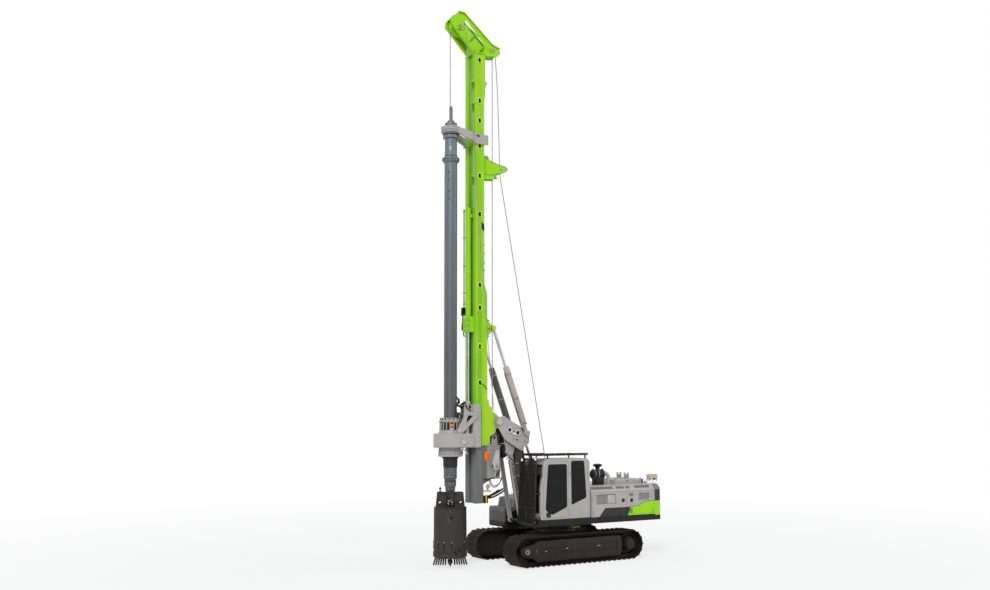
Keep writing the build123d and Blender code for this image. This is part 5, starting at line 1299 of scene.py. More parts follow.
for x in (-1.50, -0.90):
    for y in (-1.0, -0.70, -0.40):
        roof_bits.add(bolt(at(x, y, 2.43), (0, 0, 1), 0.010), "bright")
roof_bits.add(bar(at(-0.271, 0.96, 1.045), at(0.016, 1.04, 1.085), 0.006), "lime")
for x in (-0.25, -0.02):
    roof_bits.add(rod(at(x, 1.0, 1.08), at(x, 1.0, 1.172), 0.014, sides=12), "black")
    roof_bits.add(rod(at(x, 1.0, 1.05), at(x, 1.0, 1.0), 0.02, 0.026, 12), "black")
roof_bits.done("house_grey")

# %% [markdown]
# The counterweight carries two lifting eyes, a seam and bolts at its joint with the house.
# The front locker has a rim under its lid, a hasp, hinges and a step.

# %% Counterweight and front locker
weight_bits = Piece("counterweight_fittings", "house", "dark_grey", "bright", "black")
for y in (-0.62, 0.62):
    weight_bits.add(tube([at(-3.26, y - 0.06, 2.275), at(-3.26, y - 0.055, 2.34),
                          at(-3.26, y, 2.365), at(-3.26, y + 0.055, 2.34),
                          at(-3.26, y + 0.06, 2.275)], 0.016, 10), "dark_grey")
    weight_bits.add(turned_shape([(0.021, 0), (0.04, 0), (0.04, 0.01), (0.021, 0.016)],
                                 at(-3.10, y, 2.29), sides=20), "bright")
weight_bits.add(bar(at(-3.424, -0.50, 1.42), at(-3.418, 0.50, 1.428), 0.001), "black",
                row(2, (0, 0, 0.62)))
for y in (-0.8, 0.8):
    weight_bits.add(turned_shape([(0, 0), (0.045, 0), (0.045, 0.004), (0.03, 0.004), (0.026, 0.001),
                                  (0, 0.001)], at(-3.42, y, 1.30), (-1, 0, 0), 20), "black")
weight_bits.done("weight_green")

locker = Piece("front_locker_fittings", "house", "tank", "black", "bright")
locker.add(bar(at(0.60, -1.386, 1.488), at(1.578, -0.446, 1.503), 0.004), "tank")
locker.add(bar(at(1.568, -0.62, 1.44), at(1.584, -0.57, 1.55), 0.004), "bright",
           row(2, (0, -0.62, 0)))
locker.add(bar(at(1.571, -1.30, 1.20), at(1.576, -0.54, 1.44), 0.002), "tank")
locker.add(bar(at(0.70, -0.452, 1.56), at(0.80, -0.440, 1.60), 0.003), "black",
           row(3, (0.30, 0, 0)))
locker.add(turned_shape([(0, 0), (0.07, 0), (0.07, 0.02), (0.055, 0.035), (0, 0.04)],
                        at(0.30, -0.80, 1.99), sides=28), "black")
locker.add(turned_shape(hoop(0.018, 0.035, 0, 0.012), at(1.35, -0.62, 1.63), sides=20), "bright")
for x in (-0.38, 0.55):
    locker.add(bolt(at(x, -0.60, 1.99), (0, 0, 1), 0.012), "bright", row(4, (0, -0.22, 0)))
locker.add(bar(at(0.80, -1.386, 1.10), at(1.40, -1.378, 1.44), 0.004), "tank")
locker.add(bar(at(1.06, -1.394, 1.34), at(1.14, -1.382, 1.38), 0.004), "black")
locker.done("tank_grey")

# %% [markdown]
# ## Crawlers
#
# Each shoe is held to its chain by four bolts. Their places follow the same loop as the
# shoes: a straight run, a half turn, a straight run and a half turn. A side cover closes
# each track frame, with the idler's bright cap ahead of it and the drive's behind.

# %% Tread bolts and side covers
END_HEIGHT, HALF_BASE = 0.465, 1.960       # the end wheels' height and half their distance
SHOE_INSIDE, SHOE_PLATE, SHOE_PITCH = 0.425, 0.014, 0.190
loop_length = 4 * HALF_BASE + 2 * pi * SHOE_INSIDE
shoe_count = round(loop_length / SHOE_PITCH)


def on_loop(travel, out):
    """Place and outward direction on the shoes' loop, at a height above their inner faces."""
    bend = pi * SHOE_INSIDE
    travel %= loop_length
    half, along = divmod(travel, 2 * HALF_BASE + bend)
    flip = 1 if half == 0 else -1
    if along < 2 * HALF_BASE:
        x, z, turn = -HALF_BASE + along, SHOE_INSIDE + out, 0.0
        direction = Vector((0, 0, flip))
    else:
        turn = (along - 2 * HALF_BASE) / SHOE_INSIDE
        x, z = HALF_BASE + (SHOE_INSIDE + out) * sin(turn), (SHOE_INSIDE + out) * cos(turn)
        direction = Vector((sin(turn), 0, cos(turn))) * flip
    return Vector((flip * x, 0, END_HEIGHT + flip * z)), direction


tread = Piece("tread_bolts", "base", "crawler")
links = Piece("chain_links", "base", "crawler")
for number in range(shoe_count):
    for part in (0.22, 0.76):
        place, out = on_loop((number + part) * loop_length / shoe_count, SHOE_PLATE)
        for y in (1.065, 1.195):
            tread.both(bolt(at(place.x, y, place.z), out, 0.015), "crawler")
    place, out = on_loop((number + 0.5) * loop_length / shoe_count, -0.052)
    for y in (1.06, 1.20):
        links.both(rod(at(place.x, y - 0.055, place.z), at(place.x, y + 0.055, place.z), 0.028,
                       sides=10, rounded=0.004), "crawler")
tread.done("track_steel")
links.done("track_steel")

# %% [markdown]
# The cover's outline keeps clear of the chain all round. Its raised ribs, its pads and the
# two caps are what catches the light on an otherwise dark side.

# %% Frame covers
covers = Piece("track_frame_covers", "base", "chassis", "bright", "black", "dark_grey")
FACE = 1.425
outline = [(-1.56, 0.150), (1.60, 0.150), (1.74, 0.26), (2.06, 0.325), (2.17, 0.40), (2.17, 0.53),
           (2.06, 0.605),
           (1.74, 0.66), (1.56, 0.762), (-1.54, 0.762), (-1.60, 0.62), (-1.62, 0.46), (-1.60, 0.32)]
covers.both(plate([at(x, 1.296, z) for x, z in outline], (0, FACE - 1.296, 0), 0.012), "chassis")
# Inside each loop a flat sheet in chassis paint stands in for the shade between the frame and the
# upper run.
inner = rounded([at(-2.33, 0.960, 0.10), at(2.33, 0.960, 0.10), at(2.33, 0.960, 0.83),
                 at(-2.33, 0.960, 0.83)], 0.36, 10)
covers.both(plate(inner, (0, 0.012, 0), 0.003), "chassis")


def strip(start, end, deep, proud=0.012):
    """A raised rib on the cover between two (x, z) points."""
    run = Vector((end[0] - start[0], 0, end[1] - start[1]))
    side_step = run.normalized().cross(Vector((0, 1, 0))) * deep / 2
    ends = at(start[0], FACE - 0.002, start[1]), at(end[0], FACE - 0.002, end[1])
    corners = [ends[0] - side_step, ends[1] - side_step, ends[1] + side_step, ends[0] + side_step]
    return plate(corners, (0, proud, 0), 0.003)


for rib in (((1.46, 0.410), (0.10, 0.430), 0.022), ((0.86, 0.360), (-1.36, 0.400), 0.022),
            ((-0.30, 0.565), (-1.36, 0.575), 0.03), ((1.40, 0.545), (0.25, 0.560), 0.02),
            ((1.55, 0.60), (1.42, 0.36), 0.03), ((-1.44, 0.62), (-1.40, 0.34), 0.03)):
    covers.both(strip(*rib), "chassis")
for x, z, wide in ((1.29, 0.448, 0.09), (0.52, 0.49, 0.10), (-0.68, 0.503, 0.16)):
    covers.both(bar(at(x - wide / 2, FACE, z - 0.022), at(x + wide / 2, FACE + 0.014, z + 0.022),
                    0.004), "dark_grey")
    covers.both(bar(at(x - wide / 2 + 0.01, FACE + 0.012, z - 0.01),
                    at(x + wide / 2 - 0.01, FACE + 0.018, z + 0.012), 0.003), "bright")
for x in (-1.3, -0.95, -0.6, -0.25, 0.1, 0.45, 0.8, 1.15):
    covers.both(bar(at(x - 0.10, 1.30, 0.165), at(x + 0.10, 1.36, 0.24), 0.01), "chassis")
    covers.both(bolt(at(x, FACE, 0.265), SIDE, 0.013), "dark_grey")
cap = [(0, 0.0), (0.13, 0.0), (0.13, 0.016), (0.105, 0.024), (0, 0.024)]
boss = [(0.035, 0.0), (0.075, 0.0), (0.075, 0.028), (0.066, 0.038), (0.050, 0.038), (0.035, 0.02)]
covers.both(turned_shape(cap, at(1.96, FACE - 0.002, 0.465), SIDE, 32), "chassis")
covers.both(turned_shape(boss, at(1.96, FACE + 0.008, 0.465), SIDE, 28), "bright")
covers.both(turned_shape(hoop(0, 0.034, 0, 0.03), at(1.96, FACE + 0.008, 0.465), SIDE, 20),
            "dark_grey")
covers.both(plate([at(1.58, FACE, 0.40), at(1.68, FACE, 0.40), at(1.66, FACE, 0.53),
                   at(1.60, FACE, 0.53)], (0, 0.014, 0), 0.004), "dark_grey")
covers.both(rod(at(1.62, FACE, 0.50), at(1.62, FACE + 0.022, 0.50), 0.012, sides=12), "bright")
drive = [(0, 0), (0.150, 0), (0.165, -0.012), (0.165, -0.08), (0.21, -0.085), (0.21, -0.10),
         (0, -0.10)]
covers.both(turned_shape(drive, at(-1.96, 1.425, 0.465), SIDE, 40), "chassis")
covers.both(turned_shape(hoop(0.066, 0.080, 0, 0.01), at(-1.96, 1.424, 0.465), SIDE, 32),
            "dark_grey")
for turn in ring(10, at(-1.96, 1.425, 0.465), "Y"):
    covers.add(bolt(at(-1.96, 1.424, 0.465 + 0.12), SIDE, 0.012), "dark_grey",
               [turn, MIRRORED[1] @ turn])
for turn in ring(18, at(-1.96, 1.335, 0.465), "Y"):
    covers.add(bolt(at(-1.96, 1.335, 0.465 + 0.19), SIDE, 0.010), "chassis",
               [turn, MIRRORED[1] @ turn])
for x in (-1.42, 1.40):
    covers.both(rod(at(x, FACE - 0.01, 0.66), at(x, FACE + 0.01, 0.66), 0.02, sides=14),
                "dark_grey")
covers.done("chassis")

# %% [markdown]
# ## Linkage
#
# A parallelogram of arms and links carries the triangle frame, and the triangle carries
# the mast. Pins end in round caps with a bolt, cylinders have a steel pipe along the
# barrel and a hose at each port, and a bundle of black hoses crosses from the house to
# the mast through the gap between the triangle and the mast's back.

# %% Pin caps, triangle rings and bracket
def pin_cap(piece, place, radius):
    """A turned cap with a raised ring round its bolt, on both sides."""
    profile = [(0, 0), (radius, 0), (radius, 0.010), (radius * 0.82, 0.018), (radius * 0.5, 0.018),
               (radius * 0.42, 0.012), (0, 0.012)]
    piece.both(turned_shape(profile, place, SIDE, 28), "pale")
    piece.both(bolt(place + Vector((0, 0.011, 0)), SIDE, radius * 0.2), "bright")


triangle = Piece("triangle_fittings", "triangle", "pale", "bright", "black", "rubber", "rings")
for x, z in ((1.89, 4.06), (1.59, 3.97)):
    ringed = [(0.060, 0), (0.096, 0), (0.096, 0.012), (0.088, 0.018), (0.068, 0.018),
              (0.060, 0.010)]
    triangle.both(turned_shape(ringed, at(x, 0.3835, z), SIDE, 32), "rings")
    triangle.both(turned_shape(hoop(0, 0.06, 0, 0.004), at(x, 0.355, z), SIDE, 24), "black")
triangle.add(plate([at(1.64, 0.374, 3.88), at(1.80, 0.374, 3.92), at(1.81, 0.374, 3.96),
                    at(1.76, 0.374, 3.99), at(1.66, 0.374, 3.96)],
                   (0, 0.03, 0), 0.006), "rings", MIRRORED)
triangle.both(rod(at(1.74, 0.37, 3.86), at(1.66, 0.44, 3.78), 0.028, sides=16, rounded=0.005),
              "pale")
triangle.both(rod(at(1.66, 0.44, 3.78), at(1.645, 0.453, 3.765), 0.022, sides=14), "black")
triangle.both(tube([at(1.80, 0.376, 4.02), at(1.74, 0.40, 4.03), at(1.68, 0.376, 4.0)], 0.010, 8),
              "bright")
pin_cap(triangle, at(1.45, 0.385, 3.49), 0.07)
pin_cap(triangle, at(1.27, 0.385, 3.74), 0.07)
pin_cap(triangle, at(1.29, 0.474, 3.96), 0.09)
pin_cap(triangle, at(1.82, 0.334, 3.335), 0.075)
for x, z in ((2.33, 4.40), (2.04, 4.42), (1.60, 4.18), (1.25, 4.01), (1.22, 3.70), (1.47, 3.47),
             (2.02, 3.79), (2.26, 4.12)):
    triangle.both(bolt(at(x, 0.374, z), SIDE, 0.011), "pale")
edge = [at(2.08, 0.343, 4.478), at(2.30, 0.343, 4.447), at(2.35, 0.343, 4.39)]
triangle.both(tube(edge, 0.008, 6, 3), "bright")
triangle.add(bar(at(1.50, -0.30, 3.56), at(1.62, 0.30, 3.60), 0.006), "black")
triangle.add(tube([at(1.98, 0.15, 3.72), at(1.92, 0.10, 3.88), at(1.96, 0.05, 4.06),
                   at(2.04, 0.0, 4.2)], 0.022), "rubber")
triangle.done("link_grey")

# %% [markdown]
# The links' pipes run close along the bars and stop in unions near the pins. The arms have
# welded pads and a hose loom clipped along their inner sides.

# %% Pipes of the links, arms and cylinders
def beside(base, top, share, offset, y):
    """A place along a bar from base to top pin, moved ahead of it by an offset."""
    run = Vector((top[0] - base[0], 0, top[1] - base[1]))
    ahead = Vector((run.z, 0, -run.x)).normalized()
    return at(base[0], y, base[1]) + run * share + ahead * offset


LINK = (1.45, 1.275), (1.82, 3.335)
ARM = (1.08, 1.43), (1.45, 3.49)
link_pipes = Piece("link_pipes", "links", "pipe", "bright", "black", "rubber", "pale")
for offset, y in ((-0.018, 0.345), (0.026, 0.345)):
    line = [beside(*LINK, s, offset, y) for s in (0.10, 0.14, 0.5, 0.83, 0.87)]
    link_pipes.both(tube(line, 0.013, 8, 4), "pipe")
for share in (0.2, 0.42, 0.64, 0.8):
    low, high = beside(*LINK, share, -0.055, 0.327), beside(*LINK, share, 0.055, 0.327)
    link_pipes.both(plate([low, high, high + Vector((0.005, 0, 0.03)),
                           low + Vector((0.005, 0, 0.03))], (0, 0.034, 0), 0.003), "bright")
for share, offset in ((0.10, -0.018), (0.10, 0.026), (0.87, -0.018), (0.87, 0.026)):
    spot = beside(*LINK, share, offset, 0.345)
    link_pipes.both(rod(spot - Vector((0.004, 0, 0.02)), spot + Vector((0.004, 0, 0.02)), 0.02,
                        sides=6, rounded=0.002), "bright")
link_pipes.both(tube([beside(*LINK, 0.88, -0.018, 0.345), beside(*LINK, 0.93, 0.0, 0.40),
                      beside(*LINK, 0.985, 0.14, 0.38), beside(*LINK, 0.93, 0.19, 0.33)], 0.013),
                "rubber")
link_pipes.done("link_grey")

arm_bits = Piece("arm_fittings", "arms", "arm", "bright", "rubber", "pipe")
for share in (0.25, 0.5, 0.75):
    low, high = beside(*ARM, share, -0.10, 0.276), beside(*ARM, share, 0.10, 0.276)
    arm_bits.both(plate([low, high, high + Vector((0.008, 0, 0.05)),
                         low + Vector((0.008, 0, 0.05))], (0, 0.010, 0), 0.003), "arm")
for offset, coat, radius in ((0.134, "pipe", 0.012), (0.162, "pipe", 0.012)):
    for y in (0.16, 0.24):
        line = [beside(*ARM, s, offset, y) for s in (0.16, 0.2, 0.5, 0.8, 0.84)]
        arm_bits.both(tube(line, radius, 8, 3), coat)
for share in (0.24, 0.42, 0.6, 0.78):
    low, high = beside(*ARM, share, 0.118, 0.13), beside(*ARM, share, 0.178, 0.13)
    arm_bits.both(plate([low, high, high + Vector((0.006, 0, 0.03)),
                         low + Vector((0.006, 0, 0.03))], (0, 0.14, 0), 0.002), "bright")
arm_bits.done("arm_dark")

LUFF = (0.46, 1.5), (1.27, 3.74)
TILT = (1.29, 3.96), (2.50, 7.18)


def barrel_fittings(name, body, line, y, radius, low, high, sleeved=False):
    """Clamp bands, a steel pipe with its ports and a hose end on a cylinder's barrel."""
    run = Vector((line[1][0] - line[0][0], 0, line[1][1] - line[0][1]))
    bits = Piece(name, body, "pale", "bright", "rubber", "pipe", "barrel")
    axis, ahead = run.normalized(), Vector((run.z, 0, -run.x)).normalized()
    base = at(line[0][0], y, line[0][1])
    for reach in (low + 0.10, (low + high) / 2, high - 0.16):
        ringed = hoop(radius + 0.001, radius + 0.007, -0.02, 0.02)
        bits.both(turned_shape(ringed, base + axis * reach, axis, 32), "bright")
    if sleeved:
        bits.both(turned_shape([(0.078, 0.36), (radius - 0.006, 0.37), (radius, 0.385),
                                (radius, 2.165), (radius - 0.006, 2.176), (0.078, 2.176)], base,
                               axis, 32), "barrel")
    pipe_off = ahead * (radius + 0.028)
    points = [base + axis * (low + 0.05) + ahead * (radius - 0.01),
              base + axis * (low + 0.06) + pipe_off,
              base + axis * (low + 0.2) + pipe_off, base + axis * (high - 0.2) + pipe_off,
              base + axis * (high - 0.08) + pipe_off,
              base + axis * (high - 0.06) + ahead * (radius - 0.01)]
    bits.both(tube(points, 0.014, 10, 4), "pipe")
    for reach in (low + 0.06, high - 0.06):
        spot = base + axis * reach
        bits.both(rod(spot + ahead * (radius - 0.006), spot + ahead * (radius + 0.02), 0.024,
                      sides=12, rounded=0.003), "pale")
    spot = base + axis * (low + 0.03) + ahead * (radius - 0.02)
    loop = [spot, spot + ahead * 0.05, spot + ahead * 0.07 - axis * 0.06,
            spot + ahead * 0.03 - axis * 0.13]
    bits.both(tube(loop, 0.016), "rubber")
    for turn in range(8):
        facing = ahead * cos(turn * pi / 4) + Vector((0, 1, 0)) * sin(turn * pi / 4)
        bits.both(bolt(base + axis * high + facing * (radius - 0.012), axis, 0.008), "bright")
    bits.done("link_grey")


barrel_fittings("tilt_barrel_fittings", "tilt_barrels", TILT, 0.43, 0.094, 0.20, 2.10, sleeved=True)
barrel_fittings("luff_barrel_fittings", "luff_barrels", LUFF, 0.285, 0.08, 0.20, 1.45)

# %% [markdown]
# ## Mast
#
# A pressed rim stiffens each lightening hole. Along the far rail runs the feed cylinder's
# pipe in clamps, down to a black valve block. Ears on the front take the rope clamps, and a
# slanted blue patch is left where the lettering of a real mast ends.

# %% Hole rims, ears and pipes
HOLES = (5.5, 6.6, 7.8, 8.51, 10.73, 11.95, 12.9, 13.72, 14.36, 15.68)
SIDE_Y = 0.30                              # the mast's side faces, from the middle


def slot_rim(place, wide, tall, thick, proud):
    """A raised rim round an upright hole with round ends."""
    path = []
    for number in range(24):
        turn = 2 * pi * number / 24
        lift = (tall - wide) / 2 * (1 if sin(turn) >= 0 else -1)
        path.append((cos(turn) * wide / 2, sin(turn) * wide / 2 + lift))
    bm = bmesh.new()
    loops = []
    for grow, height in ((0, 0), (0, proud), (thick, proud * 0.7), (thick * 1.3, 0)):
        ring_points = [(u * (1 + grow * 2 / wide),
                        v + grow * (1 if v > 0 else -1) * abs(v) / (tall / 2)) for u, v in path]
        loops.append([bm.verts.new(place + Vector((u, height, v))) for u, v in ring_points])
    for inner, outer in zip(loops, loops[1:]):
        for number in range(24):
            after = (number + 1) % 24
            bm.faces.new((inner[number], inner[after], outer[after], outer[number]))
    bmesh.ops.recalc_face_normals(bm, faces=bm.faces)
    return bm


mast = Piece("mast_fittings", "mast", "lime", "leaf", "bright", "black", "blue_plate", "rim_lime",
             "rubber", "yellow_lime", "cap_pale")
for z in HOLES:
    mast.both(slot_rim(at(2.905, SIDE_Y - 0.001, z), 0.096, 0.151, 0.030, 0.010), "rim_lime")
patch = [at(2.74, SIDE_Y, 10.18), at(2.845, SIDE_Y, 10.28), at(2.845, SIDE_Y, 10.50),
         at(2.74, SIDE_Y, 10.42)]
mast.both(plate(patch, (0, 0.003, 0), 0.001), "blue_plate")
for z in (14.95, 14.25, 11.90):
    ear = [at(3.058, 0.13, z - 0.02), at(3.16, 0.13, z + 0.03), at(3.16, 0.13, z + 0.05),
           at(3.058, 0.13, z + 0.06)]
    mast.add(plate(ear, (0, 0.12, 0), 0.003), "yellow_lime")
    web = [at(3.058, 0.18, z - 0.24), at(3.075, 0.18, z - 0.24), at(3.15, 0.18, z + 0.03),
           at(3.058, 0.18, z + 0.03)]
    mast.add(plate(web, (0, 0.018, 0), 0.003), "leaf")
    mast.add(bolt(at(3.13, 0.20, z + 0.052), (0, 0, 1), 0.013), "bright")
for y in (-0.22, 0.0, 0.22):
    web = [at(2.70, y, 14.655), at(2.70, y, 14.935), at(2.63, y, 14.935)]
    mast.add(plate(web, (0, 0.014, 0), 0.002), "leaf")
for z in (9.80, 9.52, 9.22, 9.0):
    mast.both(bar(at(2.70, SIDE_Y - 0.002, z), at(2.80, SIDE_Y + 0.02, z + 0.02), 0.004),
              "rim_lime")
    mast.both(rod(at(2.75, SIDE_Y, z - 0.03), at(2.75, SIDE_Y + 0.03, z - 0.03), 0.012, sides=10),
              "leaf")
for z in (5.5, 6.6):
    hook = [at(2.905, 0.29, z), at(2.87, 0.308, z - 0.03), at(2.78, 0.312, z - 0.06),
            at(2.70, 0.312, z - 0.15), at(2.66, 0.30, z - 0.21)]
    mast.add(tube(hook, 0.012), "rubber" if z < 6 else "yellow_lime")
feed = [at(3.075, -0.355, 11.0), at(3.075, -0.355, 9.5), at(3.075, -0.355, 7.75),
        at(3.10, -0.33, 7.62), at(3.14, -0.26, 7.56)]
for offset in (0.0, 0.032):
    mast.add(tube([p + Vector((offset, 0, -offset)) for p in feed], 0.011, 8, 3), "bright")
for z in (10.9, 10.05, 9.15, 8.3, 7.95):
    mast.add(bar(at(3.06, -0.375, z), at(3.13, -0.325, z + 0.05), 0.005), "yellow_lime")
valve = bar(at(3.062, -0.42, 7.60), at(3.17, -0.31, 7.86), 0.014)
mast.add(valve, "black").add(tube([at(3.10, -0.40, 7.62), at(3.12, -0.44, 7.4),
                                   at(3.10, -0.42, 7.1), at(3.08, -0.36, 6.95)], 0.02), "rubber")
mast.add(bar(at(3.062, -0.43, 7.15), at(3.15, -0.30, 7.35), 0.012), "black")
for x, z in ((2.02, 12.29), (2.26, 12.02), (2.56, 12.59)):
    profile = [(0, 0), (0.042, 0), (0.042, 0.006), (0.02, 0.014), (0, 0.014)]
    mast.both(turned_shape(profile, at(x, 0.153, z), SIDE, 20), "bright")
horn = [(2.73, 12.075), (2.42, 12.062), (2.05, 12.162), (1.83, 12.262), (1.795, 12.33),
        (1.85, 12.395), (2.15, 12.435), (2.45, 12.535)]
mast.both(tube([at(x, 0.152, z) for x, z in horn for copy in (0, 1)], 0.011, 6, 3), "leaf")
mast.add(bar(at(2.50, -0.13, 12.66), at(2.73, 0.13, 12.675), 0.003), "leaf")
for z in (11.93, 12.15, 12.40, 12.62):
    mast.both(bolt(at(2.725, 0.148, z), (-1, 0, 0), 0.011), "leaf")
for x in (2.76, 2.86, 2.96):
    for z in (3.614, 3.586):
        mast.both(bolt(at(x, 0.315, z + (0.014 if z > 3.6 else -0.014)),
                       (0, 0, 1 if z > 3.6 else -1), 0.014), "black")
for z in (3.75, 3.95, 4.14):
    mast.both(bolt(at(2.62, 0.291, z), SIDE, 0.012), "leaf")
mast.both(turned_shape([(0, 0), (0.10, 0), (0.10, 0.012), (0.085, 0.02), (0.05, 0.02),
                        (0.042, 0.012), (0, 0.012)], at(2.27, 0.405, 4.31), SIDE, 32), "cap_pale")
mast.both(turned_shape([(0, 0), (0.075, 0), (0.075, 0.014), (0.06, 0.02), (0, 0.02)],
                       at(2.50, 0.476, 7.18), SIDE, 28), "yellow_lime")
for z in (6.93, 7.18, 7.43):
    mast.both(bar(at(2.56, 0.288, z - 0.012), at(2.64, 0.30, z + 0.012), 0.003), "leaf")
mast.done("mast_green")

# %% [markdown]
# The head's two arms have stiffeners between their flanges, bolted axle plates at both
# sheaves and a small lamp bracket at the rear tip.

# %% Mast head fittings
head = Piece("mast_head_fittings", "mast", "leaf", "yellow_lime", "bright", "black", "lime")
for (x, z), radius in (((3.512, 16.70), 0.062), ((2.39, 16.15), 0.056)):
    head.both(turned_shape([(0, 0), (radius, 0), (radius, 0.01), (radius * 0.7, 0.016), (0, 0.016)],
                           at(x, 0.2145, z), SIDE, 28), "bright")
    head.both(bar(at(x - 0.09, 0.2145, z - 0.022), at(x + 0.09, 0.2235, z + 0.022), 0.003), "leaf")
    for shift in (-0.072, 0.072):
        head.both(bolt(at(x + shift, 0.223, z), SIDE, 0.012), "bright")
for (x0, z0), (x1, z1) in (((3.22, 16.26), (3.02, 16.46)), ((3.62, 16.56), (3.36, 16.84)),
                           ((2.86, 15.97), (2.66, 16.20))):
    outline = [at(x0, 0.184, z0), at(x0 + 0.012, 0.184, z0 + 0.010),
               at(x1 + 0.012, 0.184, z1 + 0.010), at(x1, 0.184, z1)]
    head.both(plate(outline, (0, 0.04, 0), 0.002), "leaf")
slot = [(2.63, 16.25), (2.76, 16.19), (3.41, 16.845), (3.33, 16.95)]
rim = [at(x, 0.187, z) for x, z in slot + slot[:1]]
for start, end in zip(rim, rim[1:]):
    head.both(rod(start, end, 0.010, sides=6), "yellow_lime")
for x in (2.72, 2.90, 3.05):
    head.both(bolt(at(x, 0.30, 15.9315), (0, 0, 1), 0.013), "bright")
for x, z in ((2.13, 16.11), (2.33, 16.26), (3.55, 17.10), (3.80, 16.80)):
    head.both(bolt(at(x, 0.184, z), SIDE, 0.011), "bright")
head.add(rod(at(2.11, -0.16, 16.13), at(2.11, 0.16, 16.13), 0.018, sides=12), "black")
head.add(rod(at(3.79, -0.16, 16.90), at(3.79, 0.16, 16.90), 0.02, sides=12), "black")
head.add(rod(at(3.41, -0.16, 17.10), at(3.41, 0.16, 17.10), 0.018, sides=12), "black")
head.done("mast_green")

# %% [markdown]
# The foot section has a blank orange plate, a bumper block with a yellow stripe, a foot
# plate with its bolts and the hoses that come over from the house.

# %% Mast foot fittings
foot = Piece("mast_foot_fittings", "mast", "pale", "orange", "black", "yellow", "bright", "rubber",
             "pipe", "beige")
foot.add(bar(at(2.570, 0.3035, 3.13), at(2.754, 0.3075, 3.405), 0.003), "orange")
foot.add(bar(at(2.64, 0.20, 1.862), at(2.79, 0.335, 2.09), 0.010), "black")
foot.add(bar(at(2.685, 0.3335, 1.865), at(2.725, 0.3385, 2.088), 0.002), "yellow")
foot.add(bar(at(2.64, -0.335, 1.862), at(2.79, -0.20, 2.09), 0.010), "black")
foot.add(bar(at(2.52, 0.20, 2.20), at(2.79, 0.30, 2.245), 0.006), "beige")
foot.add(bar(at(2.53, 0.295, 2.19), at(2.63, 0.305, 2.26), 0.003), "yellow")
foot.add(turned_shape([(0, 0), (0.06, 0), (0.075, 0.03), (0.06, 0.06), (0, 0.06)],
                      at(2.62, 0.25, 2.36), SIDE, 20), "pale")
foot.add(rod(at(2.62, 0.26, 2.30), at(2.62, 0.26, 2.22), 0.02), "bright")
for x in (2.82, 2.92, 3.0):
    foot.both(bolt(at(x, 0.302, 1.93), SIDE, 0.012), "bright")
for z in (2.64, 2.95, 3.25, 3.5):
    foot.both(bolt(at(2.775, 0.319, z), SIDE, 0.010), "bright")
    foot.both(bolt(at(2.235, 0.319, z), SIDE, 0.010), "bright")
for x in (2.24, 2.35, 2.46, 2.57, 2.68):
    foot.both(bolt(at(x, 0.322, 3.572), (0, 0, -1), 0.013), "black")
seam = [at(2.78, 0.319, 2.585), at(2.60, 0.33, 2.57), at(2.44, 0.335, 2.60), at(2.30, 0.335, 2.68),
        at(2.20, 0.31, 2.85)]
foot.add(tube(seam, 0.016), "rubber")
for y, lift in ((0.27, 0.0), (0.20, 0.05), (0.10, 0.02), (-0.05, 0.0)):
    line = [at(2.64, y, 2.02 + lift), at(2.50, y, 2.0 + lift), at(2.30, y + 0.02, 2.08 + lift),
            at(2.12, y, 2.16 + lift), at(2.02, y, 2.22 + lift)]
    foot.add(tube(line, 0.026), "rubber")
loop = [at(2.60, 0.325, 2.56), at(2.58, 0.34, 2.40), at(2.46, 0.34, 2.30), at(2.30, 0.33, 2.36),
        at(2.16, 0.30, 2.50), at(2.14, 0.26, 2.60)]
foot.add(tube(loop, 0.014), "pipe")
foot.add(tube([p + Vector((-0.03, 0.0, 0.04)) for p in loop], 0.012), "rubber")
foot.done("link_grey")

# %% [markdown]
# ## Rotary head
#
# The drive drum is dark between its ribs and has a blank orange square. Bolts stand round
# the case, hose loops rise on both sides of the kelly bar, and under the far side hangs a
# rounded black motor with a beige flange.

# %% Drive drum, case and carriage fittings
def around(radius, angle, z):
    """A place round the kelly bar, by its angle from straight ahead."""
    return AXIS + Vector((radius * cos(radians(angle)), radius * sin(radians(angle)), z))


case = Piece("rotary_head_fittings", "carriage", "pale", "black", "bright", "orange", "rubber",
             "beige", "cap_pale", "dark_grey")
case.add(turned_shape(hoop(0.2995, 0.3005, 4.068, 4.284), AXIS, sides=72), "black")
for turn in ring(18, AXIS):
    case.add(bar(around(0.290, 0, 4.066) + Vector((0, -0.012, 0)),
                 around(0.329, 0, 4.290) + Vector((0, 0.012, 0)), 0.004), "pale", [turn])
for turn in ring(24, AXIS, start=7.5):
    case.add(rod(around(0.338, 0, 4.32), around(0.345, 0, 4.32), 0.012, sides=8), "black", [turn])
for turn in ring(16, AXIS, start=11.25):
    case.add(bar(around(0.319, 0, 4.372) + Vector((0, -0.024, 0)),
                 around(0.3235, 0, 4.418) + Vector((0, 0.024, 0)), 0), "black", [turn])
    case.add(bolt(around(0.262, 0, 4.43), (0, 0, 1), 0.010), "black", [turn])
for turn in ring(20, AXIS, start=-100, arc=200):
    case.add(bolt(around(0.346, 0, 3.988), (0, 0, 1), 0.012), "pale", [turn])
badge = [around(0.331, 60, 4.16), around(0.331, 75, 4.16), around(0.331, 75, 4.245),
         around(0.331, 60, 4.245)]
outward = Vector((cos(radians(67.5)), sin(radians(67.5)), 0))
case.add(plate(badge, outward * 0.010, 0.002), "orange")
case.add(plate([p + Vector((0, 0, -0.12)) - outward * 0.004 for p in badge], outward * 0.02, 0.003),
         "cap_pale")
for x, y in ((3.35, 0.44), (3.56, 0.44), (4.12, 0.16)):
    case.both(bolt(at(x, y, 3.875), (0, 0, 1), 0.015), "bright")
